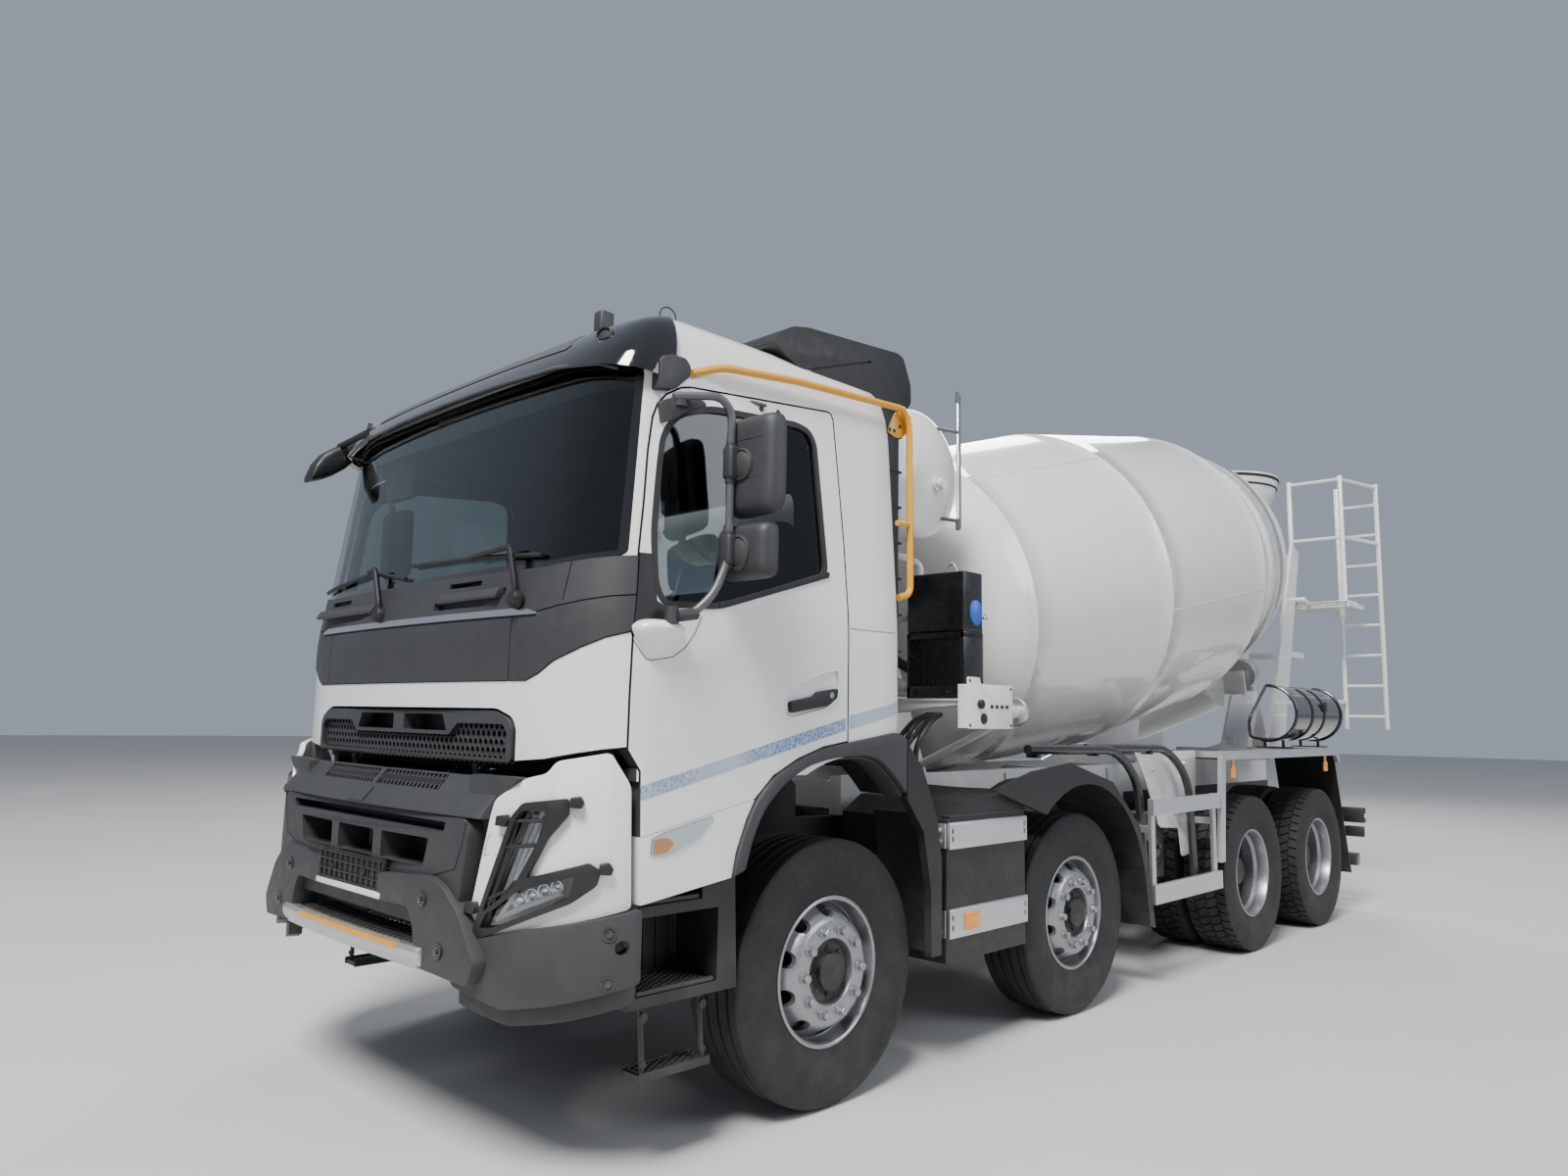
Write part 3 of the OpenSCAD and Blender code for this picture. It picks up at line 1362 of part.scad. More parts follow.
module dashboard() {
    color([0.18, 0.18, 0.19]) placed() {
        intersection() {
            side_slab(-1080, 1080) polygon([[930, 1700], [900, 1850], [960, 1925], [1280, 1930],
                [1290, 1700]]);
            cab_form(-wall - fit_gap);
        }
        // Steering column and wheel
        bar([960, 600, 1750], [790, 600, 2015], 35);
        translate([790, 600, 2015]) rotate([0, -32, 0]) {
            rotate_extrude() translate([215, 0]) circle(r = 15);
            for (a = [90, 210, 330]) rotate(a) translate([20, -14, -8]) cube([190, 28, 14]);
            translate([0, 0, -12]) cylinder(h = 26, r = 55);
        }
    }
}

module seats() {
    color([0.25, 0.25, 0.27]) placed() both_sides() {
        translate([160, 600, 1700]) rotate([90, 0, 0]) translate([0, 0, -250]) linear_extrude(500)
            polygon([[-200, 0], [300, 0], [320, 110], [280, 140], [-90, 130], [-210, 780], [-310, 780],
                [-270, 60]]);
        box([0, 420, floor_z + wall + fit_gap], [350, 780, 1700 - fit_gap]);
    }
}

module air_intake() {
    color([0.1, 0.1, 0.11]) placed() {
        difference() {
            side_slab(700, 1110) polygon([
                [342, 3110], [300, 3160], [222, 3212], [120, 3235], [-500, 3285], [-545, 3270],
                    [-600, 3150],
                [-605, 3060], [-560, 3010], [119, 3009]
            ]);
            cab_form(fit_gap);
        }
        box([-560, 800, 1700], [-cab_rear - 20, 1090, 3100]);
    }
}

rail_out = half_w - 45;
module grab_rail() {
    color("goldenrod") placed() {
        bent_tube([[840, rail_out, 2836], [700, rail_out, 2890], [284, rail_out, 2936],
            [-430, rail_out, 2976],
                   [-470, rail_out, 2880], [-470, rail_out, 1700]], 16);
        for (z = [1720, 2080, 2440])
            bar([-470, rail_out, z], [-cab_rear - fit_gap, rail_out, z], 12);
        // Front foot against the roof side
        translate([850, side_y(2796) + fit_gap, 2836]) rotate([-90, 0, 0]) cylinder(h = 30, r = 40);
    }
}

// Doors
hinge_x = door_front - 25;
hinge_y = half_w - 10;
hinge_r = 6;
hinge_pocket = 16;
hinge_tall = 70;
hinge_heights = [1300, 1740];
module door(side) {
    color("whitesmoke") placed() mirror([0, side < 0 ? 1 : 0, 0]) difference() {
        intersection() {
            side_slab(half_w - 120 - lean_in, half_w + 20) door_outline(0);
            difference() {
                front_slab(-50, 1100) cab_end_low(0);
                front_slab(-51, 1101) cab_end_low(-wall + fit_gap);
            }
        }
        side_slab(900, half_w + 20) window_outline(0);
        for (z = hinge_heights) box([hinge_x - hinge_pocket, hinge_y - 2 * hinge_pocket, z],
                                    [door_front + 1, half_w - 2, z + hinge_tall]);
    }
    color("gainsboro") placed() mirror([0, side < 0 ? 1 : 0, 0]) for (z = hinge_heights)
        translate([hinge_x, hinge_y, z - 1]) cylinder(h = hinge_tall + 2, r = hinge_r);
}
module cab_end_low(grow) {
    top_y = half_w - lean_in;
    offset(delta = grow) polygon([
        [0, 500], [0, 3400], [top_y - 36, 3400], [top_y, 2880], [half_w, belt_z], [half_w, 500]
    ]);
}
module door_glass(side) {
    color([0.4, 0.45, 0.5, 0.6]) placed() mirror([0, side < 0 ? 1 : 0, 0]) intersection() {
        side_slab(900, half_w + 20) window_outline(-fit_gap);
        difference() {
            front_slab(-50, 1100) cab_end_low(-20);
            front_slab(-51, 1101) cab_end_low(-20 - glass_t);
        }
    }
}
// Place across from the body's side, height of the middle, width and height of each mirror head
mirror_heads = [[170, 2462, 264, 372], [133, 2148, 272, 205]];
mirror_x = 786;
mirror_t = 80;
module mirrors(side) {
    arm_y = half_w + 105;
    arm_r = 16;
    color([0.13, 0.13, 0.14]) placed() mirror([0, side < 0 ? 1 : 0, 0]) {
        bent_tube([[980, side_y(2644) + fit_gap, 2660], [980, half_w + 50, 2660],
            [mirror_x + 60, arm_y, 2700],
                   [mirror_x, arm_y, 2600], [mirror_x, arm_y, 2120], [mirror_x + 70, arm_y, 1960],
                   [970, half_w + 60, 1895], [970, half_w + fit_gap, 1895]], arm_r, 40);
        for (m = mirror_heads) {
            front_slab(mirror_x - arm_r - mirror_t, mirror_x - arm_r)
                translate([half_w + m[0], m[1]]) round_rect(m[2], m[3], 50);
            // Clamp round the arm
            translate([mirror_x - arm_r - 4, arm_y, m[1]]) rotate([0, 90, 0])
                cylinder(h = 2 * arm_r + 14, r = 34);
        }
    }
}

// Chute under the swivel, pointing to the right as it is stowed
swivel_z = neck_z - 60;
pivot_y = -200;
pivot_drop = 140;
module chute_swivel() {
    color("gainsboro") placed() translate([-chute_x + 60, 0, 0]) {
        difference() {
            translate([0, 0, swivel_z - 40 - fit_gap]) cylinder(h = 40, r = 262);
            translate([0, 0, swivel_z - 42 - fit_gap]) cylinder(h = 44, r = 225);
        }
        difference() {
            for (x = [-1, 1]) side_arm(x);
            translate([-300, pivot_y, swivel_z - pivot_drop]) rotate([0, 90, 0])
                cylinder(h = 600, r = 18 + fit_gap);
        }
    }
}
module side_arm(x) {
    translate([x * 232 - 12, -240, swivel_z - 190]) cube([24, 160, 190 - slide_gap - 10]);
}
chute_slope = 22;
chute_wall = 8;
module chute() {
    color("gainsboro") placed() translate([-chute_x + 60, pivot_y, swivel_z - pivot_drop]) {
        rotate([0, 90, 0]) translate([0, 0, -257]) cylinder(h = 514, r = 18);
        rotate([90 + chute_slope, 0, 0]) {
            translate([0, -20, -100]) difference() {
                cylinder(h = chute_len - 120, r = chute_r);
                translate([0, 0, -1]) cylinder(h = chute_len, r = chute_r - chute_wall);
                translate([-chute_r - 1, 0, -1]) cube([2 * chute_r + 2, chute_r + 1, chute_len]);
            }
            // Ears from the trough's rims to the pin
            for (x = [-chute_r, chute_r - chute_wall]) translate([x, 0, 0]) {
                rotate([0, 90, 0]) cylinder(h = chute_wall, r = 32);
                translate([0, -60, -60]) cube([chute_wall, 60, 120]);
            }
        }
    }
}

frame();
subframe();
engine();
axles();
bumper();
bumper_step();
corner_panels();
lamps();
step_wells();
battery_box();
fuel_tank();
fenders();
guards();
front_pedestal();
rear_pedestal();
water_tank();
oil_cooler();
hopper();
ladder();
extension_chute();
cab_shell();
windscreen();
visor();
cab_trim();
dashboard();
seats();
air_intake();
grab_rail();
door(1);  // door_left
door(-1);  // door_right
door_glass(1);  // door_glass_left
door_glass(-1);  // door_glass_right
mirrors(1);  // mirrors_left
mirrors(-1);  // mirrors_right
drum();
roller(1);  // roller_left
roller(-1);  // roller_right
chute_swivel();
chute();
knuckle_at(1, 1);  // knuckle_1_left
knuckle_at(1, -1);  // knuckle_1_right
knuckle_at(2, 1);  // knuckle_2_left
knuckle_at(2, -1);  // knuckle_2_right
color("#222222") on_axle(1, front_y, 1) tyre_ring();  // tyre_1_left
color("#222222") on_axle(1, front_y, -1) tyre_ring();  // tyre_1_right
color("#222222") on_axle(2, front_y, 1) tyre_ring();  // tyre_2_left
color("#222222") on_axle(2, front_y, -1) tyre_ring();  // tyre_2_right
color("#222222") on_axle(3, twin_y, 1) tyre_twin();  // tyres_3_left
color("#222222") on_axle(3, twin_y, -1) tyre_twin();  // tyres_3_right
color("#222222") on_axle(4, twin_y, 1) tyre_twin();  // tyres_4_left
color("#222222") on_axle(4, twin_y, -1) tyre_twin();  // tyres_4_right
color("silver") on_axle(1, front_y, 1) rim_single();  // rim_1_left
color("silver") on_axle(1, front_y, -1) rim_single();  // rim_1_right
color("silver") on_axle(2, front_y, 1) rim_single();  // rim_2_left
color("silver") on_axle(2, front_y, -1) rim_single();  // rim_2_right
color("silver") on_axle(3, twin_y, 1) rim_twin();  // rims_3_left
color("silver") on_axle(3, twin_y, -1) rim_twin();  // rims_3_right
color("silver") on_axle(4, twin_y, 1) rim_twin();  // rims_4_left
color("silver") on_axle(4, twin_y, -1) rim_twin();  // rims_4_right
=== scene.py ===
import json
import math

import bmesh
import bpy
from mathutils import Matrix, Vector
from mathutils.bvhtree import BVHTree

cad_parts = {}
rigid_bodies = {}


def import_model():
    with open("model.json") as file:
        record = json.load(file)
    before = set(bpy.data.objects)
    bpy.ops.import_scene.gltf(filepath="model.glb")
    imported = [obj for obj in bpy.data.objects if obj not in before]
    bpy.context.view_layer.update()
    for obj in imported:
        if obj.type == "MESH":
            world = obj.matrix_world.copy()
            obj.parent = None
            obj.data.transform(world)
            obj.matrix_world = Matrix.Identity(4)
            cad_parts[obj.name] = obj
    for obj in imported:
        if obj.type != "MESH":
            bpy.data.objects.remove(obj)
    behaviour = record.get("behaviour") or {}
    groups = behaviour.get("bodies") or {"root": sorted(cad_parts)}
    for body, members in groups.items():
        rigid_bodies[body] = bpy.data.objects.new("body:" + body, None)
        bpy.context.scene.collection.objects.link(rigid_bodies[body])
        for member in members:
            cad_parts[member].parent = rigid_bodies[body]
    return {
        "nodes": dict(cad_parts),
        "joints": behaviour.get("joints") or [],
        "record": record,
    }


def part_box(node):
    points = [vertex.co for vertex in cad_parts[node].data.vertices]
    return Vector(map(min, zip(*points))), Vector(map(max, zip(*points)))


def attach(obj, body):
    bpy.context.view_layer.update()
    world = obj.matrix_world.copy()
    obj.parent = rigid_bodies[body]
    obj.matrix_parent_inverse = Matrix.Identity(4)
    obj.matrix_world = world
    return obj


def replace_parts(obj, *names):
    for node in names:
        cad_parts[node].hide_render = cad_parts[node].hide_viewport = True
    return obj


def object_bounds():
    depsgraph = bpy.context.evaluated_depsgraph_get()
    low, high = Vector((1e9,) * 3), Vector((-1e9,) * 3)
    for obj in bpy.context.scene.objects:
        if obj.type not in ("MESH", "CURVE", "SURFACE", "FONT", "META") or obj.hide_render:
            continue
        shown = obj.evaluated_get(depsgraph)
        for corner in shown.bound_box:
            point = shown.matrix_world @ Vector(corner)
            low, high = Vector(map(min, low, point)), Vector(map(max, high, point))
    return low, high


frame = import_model()
cad_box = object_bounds()
nodes = frame["nodes"]
joints = {joint["name"]: joint for joint in frame["joints"]}


def middle(node):
    low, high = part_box(node)
    return (low + high) / 2


# Places along the truck are written from the first axle, as in the CAD source
AXLE_1 = middle("tyre_1_left").x
HALF_WIDTH = 1.245


def at(x, y, z):
    return Vector((x + AXLE_1, y, z))


# Takes truck metres to the frame
TRUCK = Matrix.Translation(at(0, 0, 0))
MIRROR = Matrix.Diagonal((1, -1, 1, 1))
FULL_TURN = 2 * math.pi
HALF_TURN = [math.pi * k / 12 for k in range(13)]


# Materials
COORDINATES = "Object"
NOISE_SPAN = (0.3, 0.7)
COAT_ROUGHNESS, BUMP_STRENGTH = 0.04, 0.6


def link(tree, out, into):
    tree.links.new(out, into)


def noise(tree, scale, detail=4.0, stretch=(1, 1, 1)):
    place = tree.nodes.new("ShaderNodeTexCoord")
    mapping = tree.nodes.new("ShaderNodeMapping")
    mapping.inputs["Scale"].default_value = stretch
    texture = tree.nodes.new("ShaderNodeTexNoise")
    texture.inputs["Scale"].default_value = scale
    texture.inputs["Detail"].default_value = detail
    link(tree, place.outputs[COORDINATES], mapping.inputs["Vector"])
    link(tree, mapping.outputs["Vector"], texture.inputs["Vector"])
    return texture.outputs["Fac"]


def ramp(tree, value, low, high, out_low=0.0, out_high=1.0):
    spread = tree.nodes.new("ShaderNodeMapRange")
    spread.inputs["From Min"].default_value = low
    spread.inputs["From Max"].default_value = high
    spread.inputs["To Min"].default_value = out_low
    spread.inputs["To Max"].default_value = out_high
    link(tree, value, spread.inputs["Value"])
    return spread.outputs["Result"]


def multiply(tree, a, b):
    maths = tree.nodes.new("ShaderNodeMath")
    maths.operation = "MULTIPLY"
    link(tree, a, maths.inputs[0])
    link(tree, b, maths.inputs[1])
    return maths.outputs["Value"]


def blend_colour(tree, factor, first, second):
    """Mixes two colours, each a tuple or an output of another node."""
    mix = tree.nodes.new("ShaderNodeMix")
    mix.data_type = "RGBA"
    link(tree, factor, mix.inputs["Factor"])
    for socket, colour in ((mix.inputs[6], first), (mix.inputs[7], second)):
        if isinstance(colour, tuple):
            socket.default_value = (*colour, 1)
        else:
            link(tree, colour, socket)
    return mix.outputs[2]


def height(tree):
    place = tree.nodes.new("ShaderNodeTexCoord")
    split = tree.nodes.new("ShaderNodeSeparateXYZ")
    link(tree, place.outputs[COORDINATES], split.inputs["Vector"])
    return split.outputs["Z"]


DUST = (0.34, 0.31, 0.26)


def material(name, colour, rough, metal=0.0, coat=0.0, shade=0.06, patch=2.5, grain=None, dust=None,
             stretch=(1, 1, 1), rough_spread=0.08):
    """A surface with slow shifts of tone, a fine grain of bump, and dust that thins out with height.

    grain is (scale, depth in metres), and dust is (amount, height where it ends).
    """
    made = bpy.data.materials.new(name)
    made.use_nodes = True
    tree = made.node_tree
    shader = tree.nodes["Principled BSDF"]
    shader.inputs["Metallic"].default_value = metal
    shader.inputs["Coat Weight"].default_value = coat
    shader.inputs["Coat Roughness"].default_value = COAT_ROUGHNESS
    tone = ramp(tree, noise(tree, patch, stretch=stretch), *NOISE_SPAN)
    dark = tuple(c * (1 - shade) for c in colour)
    light = tuple(min(1, c * (1 + shade)) for c in colour)
    out = blend_colour(tree, tone, dark, light)
    if dust:
        amount, top = dust
        low = ramp(tree, height(tree), top, top * 0.15, 0, amount)
        spots = ramp(tree, noise(tree, 7, 8), 0.35, 0.65, 0.25, 1)
        out = blend_colour(tree, multiply(tree, low, spots), out, DUST)
    link(tree, out, shader.inputs["Base Color"])
    fine = noise(tree, patch * 8, 6, stretch)
    link(tree, ramp(tree, fine, *NOISE_SPAN, rough - rough_spread, rough + rough_spread), shader.inputs["Roughness"])
    if grain:
        scale, depth = grain
        bump = tree.nodes.new("ShaderNodeBump")
        bump.inputs["Strength"].default_value = BUMP_STRENGTH
        bump.inputs["Distance"].default_value = depth
        link(tree, noise(tree, scale, 3, stretch), bump.inputs["Height"])
        link(tree, bump.outputs["Normal"], shader.inputs["Normal"])
    return made


def glass_material(name, tint):
    made = bpy.data.materials.new(name)
    made.use_nodes = True
    shader = made.node_tree.nodes["Principled BSDF"]
    for socket, value in (("Base Color", (*tint, 1)), ("Transmission Weight", 1.0), ("Roughness", 0.0), ("IOR", 1.45)):
        shader.inputs[socket].default_value = value
    return made


WHITE = material("white_paint", (0.74, 0.735, 0.72), 0.24, coat=1.0, shade=0.012, patch=0.8,
                 grain=(260, 0.00012), dust=(0.16, 1.3), rough_spread=0.05)
MIXER = material("mixer_paint", (0.70, 0.70, 0.675), 0.22, coat=0.8, shade=0.02, patch=0.7,
                 grain=(120, 0.0003), dust=(0.2, 1.4), rough_spread=0.06)
GREY_PLASTIC = material("grey_plastic", (0.026, 0.028, 0.031), 0.55, shade=0.1, grain=(900, 0.0006), dust=(0.12, 1.1))
BLACK_PLASTIC = material("black_plastic", (0.008, 0.0085, 0.0095), 0.5, shade=0.15, grain=(800, 0.0006),
                         dust=(0.12, 1.2))
BLACK_PAINT = material("black_paint", (0.007, 0.007, 0.008), 0.3, coat=0.4, shade=0.15, dust=(0.2, 1.5))
FRAME_PAINT = material("frame_paint", (0.018, 0.019, 0.021), 0.5, shade=0.15, grain=(300, 0.0004), dust=(0.2, 1.2))
IRON = material("engine_iron", (0.020, 0.020, 0.021), 0.6, metal=0.3, shade=0.25, grain=(160, 0.001), dust=(0.2, 1.2))
STEEL = material("steel", (0.58, 0.585, 0.6), 0.34, metal=0.85, shade=0.05, patch=6, grain=(500, 0.0002),
                 dust=(0.15, 0.9))
ALUMINIUM = material("aluminium", (0.66, 0.67, 0.685), 0.38, metal=0.9, shade=0.06, patch=3, stretch=(0.4, 6, 6),
                     grain=(220, 0.0003), dust=(0.1, 1.2))
RUBBER = material("tyre", (0.0075, 0.0075, 0.008), 0.72, shade=0.25, patch=5, grain=(700, 0.0008), dust=(0.07, 1.0))
YELLOW = material("yellow_paint", (0.66, 0.30, 0.008), 0.36, coat=0.3, shade=0.05)
FABRIC = material("fabric", (0.05, 0.052, 0.058), 0.9, shade=0.2, patch=20, grain=(1500, 0.001))
LAMP_CLEAR = material("lamp_plastic", (0.55, 0.57, 0.6), 0.12, coat=1.0, shade=0.1, patch=30)
GLASS = glass_material("glass", (0.62, 0.70, 0.70))
SIDE_GLASS = glass_material("side_glass", (0.20, 0.25, 0.26))
DARK_GLASS = glass_material("dark_glass", (0.16, 0.20, 0.20))
LAMP_GLASS = glass_material("lamp_glass", (0.90, 0.93, 0.95))
LAMP_WHITE = material("lamp_white", (0.78, 0.82, 0.86), 0.15, coat=1.0, shade=0.02)
ORANGE = material("orange_lens", (0.85, 0.28, 0.01), 0.18, coat=1.0, shade=0.05)
RED = material("red_lens", (0.35, 0.01, 0.01), 0.2, coat=1.0, shade=0.08)
GLOSS_BLACK = material("gloss_black", (0.006, 0.006, 0.007), 0.08, coat=1.0, shade=0.1)
SEAL = material("rubber_seal", (0.01, 0.01, 0.011), 0.6, shade=0.15)
CHROME = material("chrome", (0.75, 0.76, 0.78), 0.16, metal=1.0, shade=0.02, rough_spread=0.03)
# Grey plastic of the visor, lighter than the other grey plastic: its own grey with painted light for the light its top
# and lip catch from above
VISOR_GREY_WITH_PAINTED_LIGHT = material("visor_grey_with_painted_light", (0.060, 0.063, 0.068), 0.55, shade=0.06, grain=(900, 0.0004))
LINING = material("cab_lining", (0.020, 0.021, 0.024), 0.85, shade=0.12, patch=12, grain=(1200, 0.0006))
MIRROR_GLASS = material("mirror_glass", (0.82, 0.84, 0.86), 0.02, metal=1.0, shade=0.01, rough_spread=0.005)
ARM_GREY = material("arm_grey", (0.10, 0.104, 0.11), 0.34, metal=0.3, shade=0.05)
HOSE_WHITE = material("hose_white", (0.62, 0.62, 0.60), 0.5, shade=0.08, patch=9)
BLUE = material("blue_cap", (0.02, 0.09, 0.42), 0.35, shade=0.08)

PAINT = {
    "white_paint": WHITE, "mixer_paint": MIXER, "grey_plastic": GREY_PLASTIC, "black_plastic": BLACK_PLASTIC,
    "black_paint": BLACK_PAINT, "frame_paint": FRAME_PAINT, "engine_iron": IRON, "steel": STEEL,
    "aluminium": ALUMINIUM, "tyre": RUBBER, "yellow_paint": YELLOW, "fabric": FABRIC,
    "lamp_plastic": LAMP_CLEAR, "glass": GLASS,
}
for part in frame["record"]["subparts"]:
    node = nodes[part["node"]]
    node.data.materials.clear()
    node.data.materials.append(PAINT[part["material_slot"]])


# Mesh helpers
def smooth(mesh, angle=32):
    mesh.shade_smooth()
    mesh.set_sharp_from_angle(angle=math.radians(angle))


def weld(bm):
    bmesh.ops.remove_doubles(bm, verts=bm.verts, dist=1e-6)


def finish_piece(name, bm, paint, body, angle=32):
    """Closes a bmesh into a piece that rides on a body and takes its finish from its paint's slot."""
    weld(bm)
    mesh = mesh_of(bm, name)
    smooth(mesh, angle)
    return place_piece(name, mesh, paint, body)


def place_piece(name, mesh, paint, body):
    piece = bpy.data.objects.new(name, mesh)
    bpy.context.scene.collection.objects.link(piece)
    if not mesh.materials:
        mesh.materials.append(paint)
    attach(piece, body)
    return piece


def add_lathe(bm, profile, turns, matrix=Matrix()):
    """Turns a profile of (radius, height) points about Z and sets it in place."""
    columns = []
    for i in range(turns):
        a = FULL_TURN * i / turns
        columns.append([bm.verts.new(matrix @ Vector((r * math.cos(a), r * math.sin(a), z))) for r, z in profile])
    for i in range(turns):
        first, second = columns[i], columns[(i + 1) % turns]
        for k in range(len(profile) - 1):
            bm.faces.new((first[k], second[k], second[k + 1], first[k + 1]))


def add_box(bm, low, high, bevel=0.0, matrix=Matrix(), segments=2):
    """A box between two corners with rounded edges."""
    low, high = Vector(low), Vector(high)
    made = bmesh.ops.create_cube(bm, size=1)
    size, mid = high - low, (low + high) / 2
    bmesh.ops.transform(bm, verts=made["verts"], matrix=Matrix.Translation(mid) @ Matrix.Diagonal((*size, 1)))
    verts = made["verts"]
    if bevel:
        edges = list({e for v in verts for e in v.link_edges})
        rounded = bmesh.ops.bevel(bm, geom=edges, offset=bevel, segments=segments, profile=0.5, affect="EDGES")
        verts = list({v for f in rounded["faces"] for v in f.verts})
    bmesh.ops.transform(bm, verts=verts, matrix=matrix)


def add_plate(bm, outline, low, high, axes="xz", bevel=0.0, matrix=Matrix(), segments=2):
    """An outline pushed through from low to high along the axis that axes leaves out."""
    third = ({"x", "y", "z"} - set(axes)).pop()
    order = [axes[0], axes[1], third]

    def corner(p, depth):
        value = dict(zip(order, (p[0], p[1], depth)))
        return Vector((value["x"], value["y"], value["z"]))

    near = [bm.verts.new(corner(p, low)) for p in outline]
    far = [bm.verts.new(corner(p, high)) for p in outline]
    count = len(outline)
    faces = [bm.faces.new(near), bm.faces.new(list(reversed(far)))]
    for i in range(count):
        faces.append(bm.faces.new((near[(i + 1) % count], near[i], far[i], far[(i + 1) % count])))
    bmesh.ops.recalc_face_normals(bm, faces=faces)
    verts = near + far
    if bevel:
        edges = list({e for f in faces for e in f.edges if e.calc_face_angle(0) > 0.35})
        rounded = bmesh.ops.bevel(bm, geom=edges, offset=bevel, segments=segments, profile=0.5, affect="EDGES",
                                  clamp_overlap=True)
        verts = list({v for f in rounded["faces"] for v in f.verts} | {v for v in verts if v.is_valid})
    bmesh.ops.transform(bm, verts=verts, matrix=matrix)


def round_path(points, radius, steps=6):
    """The points of a bent tube: each inner corner becomes an arc of about that radius."""
    points = [Vector(p) for p in points]
    path = [points[0]]
    for before, corner, after in zip(points, points[1:], points[2:]):
        back, ahead = (before - corner), (after - corner)
        cut = min(radius, back.length * 0.48, ahead.length * 0.48)
        start, end = corner + back.normalized() * cut, corner + ahead.normalized() * cut
        for k in range(steps + 1):
            t = k / steps
            path.append(start * (1 - t) ** 2 + corner * 2 * t * (1 - t) + end * t * t)
    path.append(points[-1])
    return path


def circle(count, ends=0):
    """Angles of a full turn in equal steps. With ends=1 the last one is the first again."""
    return [FULL_TURN * k / count for k in range(count + ends)]


def skin(bm, rings, ends=True):
    """Joins closed rings of vertices one after another, and closes the first and the last."""
    for first, second in zip(rings, rings[1:]):
        for k in range(len(first)):
            after = (k + 1) % len(first)
            bm.faces.new((first[k], first[after], second[after], second[k]))
    if ends:
        bm.faces.new(rings[0])
        bm.faces.new(rings[-1])


def add_tube(bm, points, radius, sides=12, bend=0.0, flat=1.0):
    """A tube along points, with its ends closed. flat squeezes it across."""
    path = round_path(points, bend) if bend else [Vector(p) for p in points]
    ahead = (path[1] - path[0]).normalized()
    side = ahead.orthogonal().normalized()
    rings = []
    for i, p in enumerate(path):
        before = path[max(i - 1, 0)]
        after = path[min(i + 1, len(path) - 1)]
        ahead = (after - before).normalized()
        side = (side - ahead * side.dot(ahead)).normalized()
        up = ahead.cross(side)
        rings.append([bm.verts.new(p + (side * math.cos(a) + up * math.sin(a) * flat) * radius)
                      for a in circle(sides)])
    skin(bm, rings, False)
    bm.faces.new(rings[0])
    bm.faces.new(list(reversed(rings[-1])))


def turned_to(direction):
    """The rotation that takes Z to a direction."""
    return Vector(direction).to_track_quat("Z", "Y").to_matrix().to_4x4()


def facing(place, direction):
    """Stands what was drawn along Z at a place, towards a direction."""
    return Matrix.Translation(Vector(place)) @ turned_to(direction)


def add_disc(bm, place, direction, radius, thickness, sides=24, bevel=0.15):
    """A round of some thickness that starts at place, with its far edge softened."""
    soft = min(thickness, radius) * bevel
    profile = [(0, 0), (radius, 0), (radius, thickness - soft), (radius - soft, thickness), (0, thickness)]
    add_lathe(bm, profile, sides, facing(place, direction))


def add_bolt(bm, place, direction, radius=0.012, washer=1.6):
    """A hexagon head on a washer."""
    matrix = facing(place, direction)
    add_lathe(bm, [(0, 0), (radius * washer, 0), (radius * washer, radius * 0.25), (0, radius * 0.25)], 16, matrix)
    add_lathe(bm, [(radius, radius * 0.25), (radius, radius * 0.95), (radius * 0.8, radius * 1.1), (0, radius * 1.1)],
              6, matrix)


def cut_away(mesh, cutters):
    """Takes closed cutter meshes away from a mesh, by exact booleans."""
    return combine(mesh, cutters, "DIFFERENCE")


def combine(mesh, others, operation):
    base = bpy.data.objects.new("work", mesh)
    bpy.context.scene.collection.objects.link(base)
    helpers = []
    for other in others:
        helper = bpy.data.objects.new("helper", other)
        bpy.context.scene.collection.objects.link(helper)
        helpers.append(helper)
        boolean = base.modifiers.new("cut", "BOOLEAN")
        boolean.operation = operation
        boolean.solver = "EXACT"
        boolean.object = helper
    bpy.context.view_layer.update()
    result = bpy.data.meshes.new_from_object(base.evaluated_get(bpy.context.evaluated_depsgraph_get()))
    for thing in [base, *helpers]:
        bpy.data.objects.remove(thing)
    return result


def mesh_of(bm, name="cutter"):
    bmesh.ops.recalc_face_normals(bm, faces=bm.faces)
    mesh = bpy.data.meshes.new(name)
    bm.to_mesh(mesh)
    bm.free()
    return mesh


def mirrored(mesh, name):
    """A copy of a mesh on the truck's other side."""
    copy = mesh.copy()
    copy.name = name
    copy.transform(MIRROR)
    copy.flip_normals()
    return copy


def on_both_sides(name, bm, paint, body, angle=32):
    """A left piece and its mirror image. body is one name, or one with a star for left or right."""
    left = finish_piece(f"{name}_left", bm, paint, body.replace("*", "left"), angle)
    right = place_piece(f"{name}_right", mirrored(left.data, f"{name}_right"), paint, body.replace("*", "right"))
    return left, right


def soften(node, width=0.003, angle=38, segments=2):
    """Rounds the edges of a CAD node with modifiers, which leave its own mesh as it is."""
    thing = nodes[node]
    weld = thing.modifiers.new("weld", "WELD")
    weld.merge_threshold = 1e-5
    bevel = thing.modifiers.new("bevel", "BEVEL")
    bevel.width = width
    bevel.segments = segments
    bevel.limit_method = "ANGLE"
    bevel.angle_limit = math.radians(angle)
    bevel.harden_normals = True


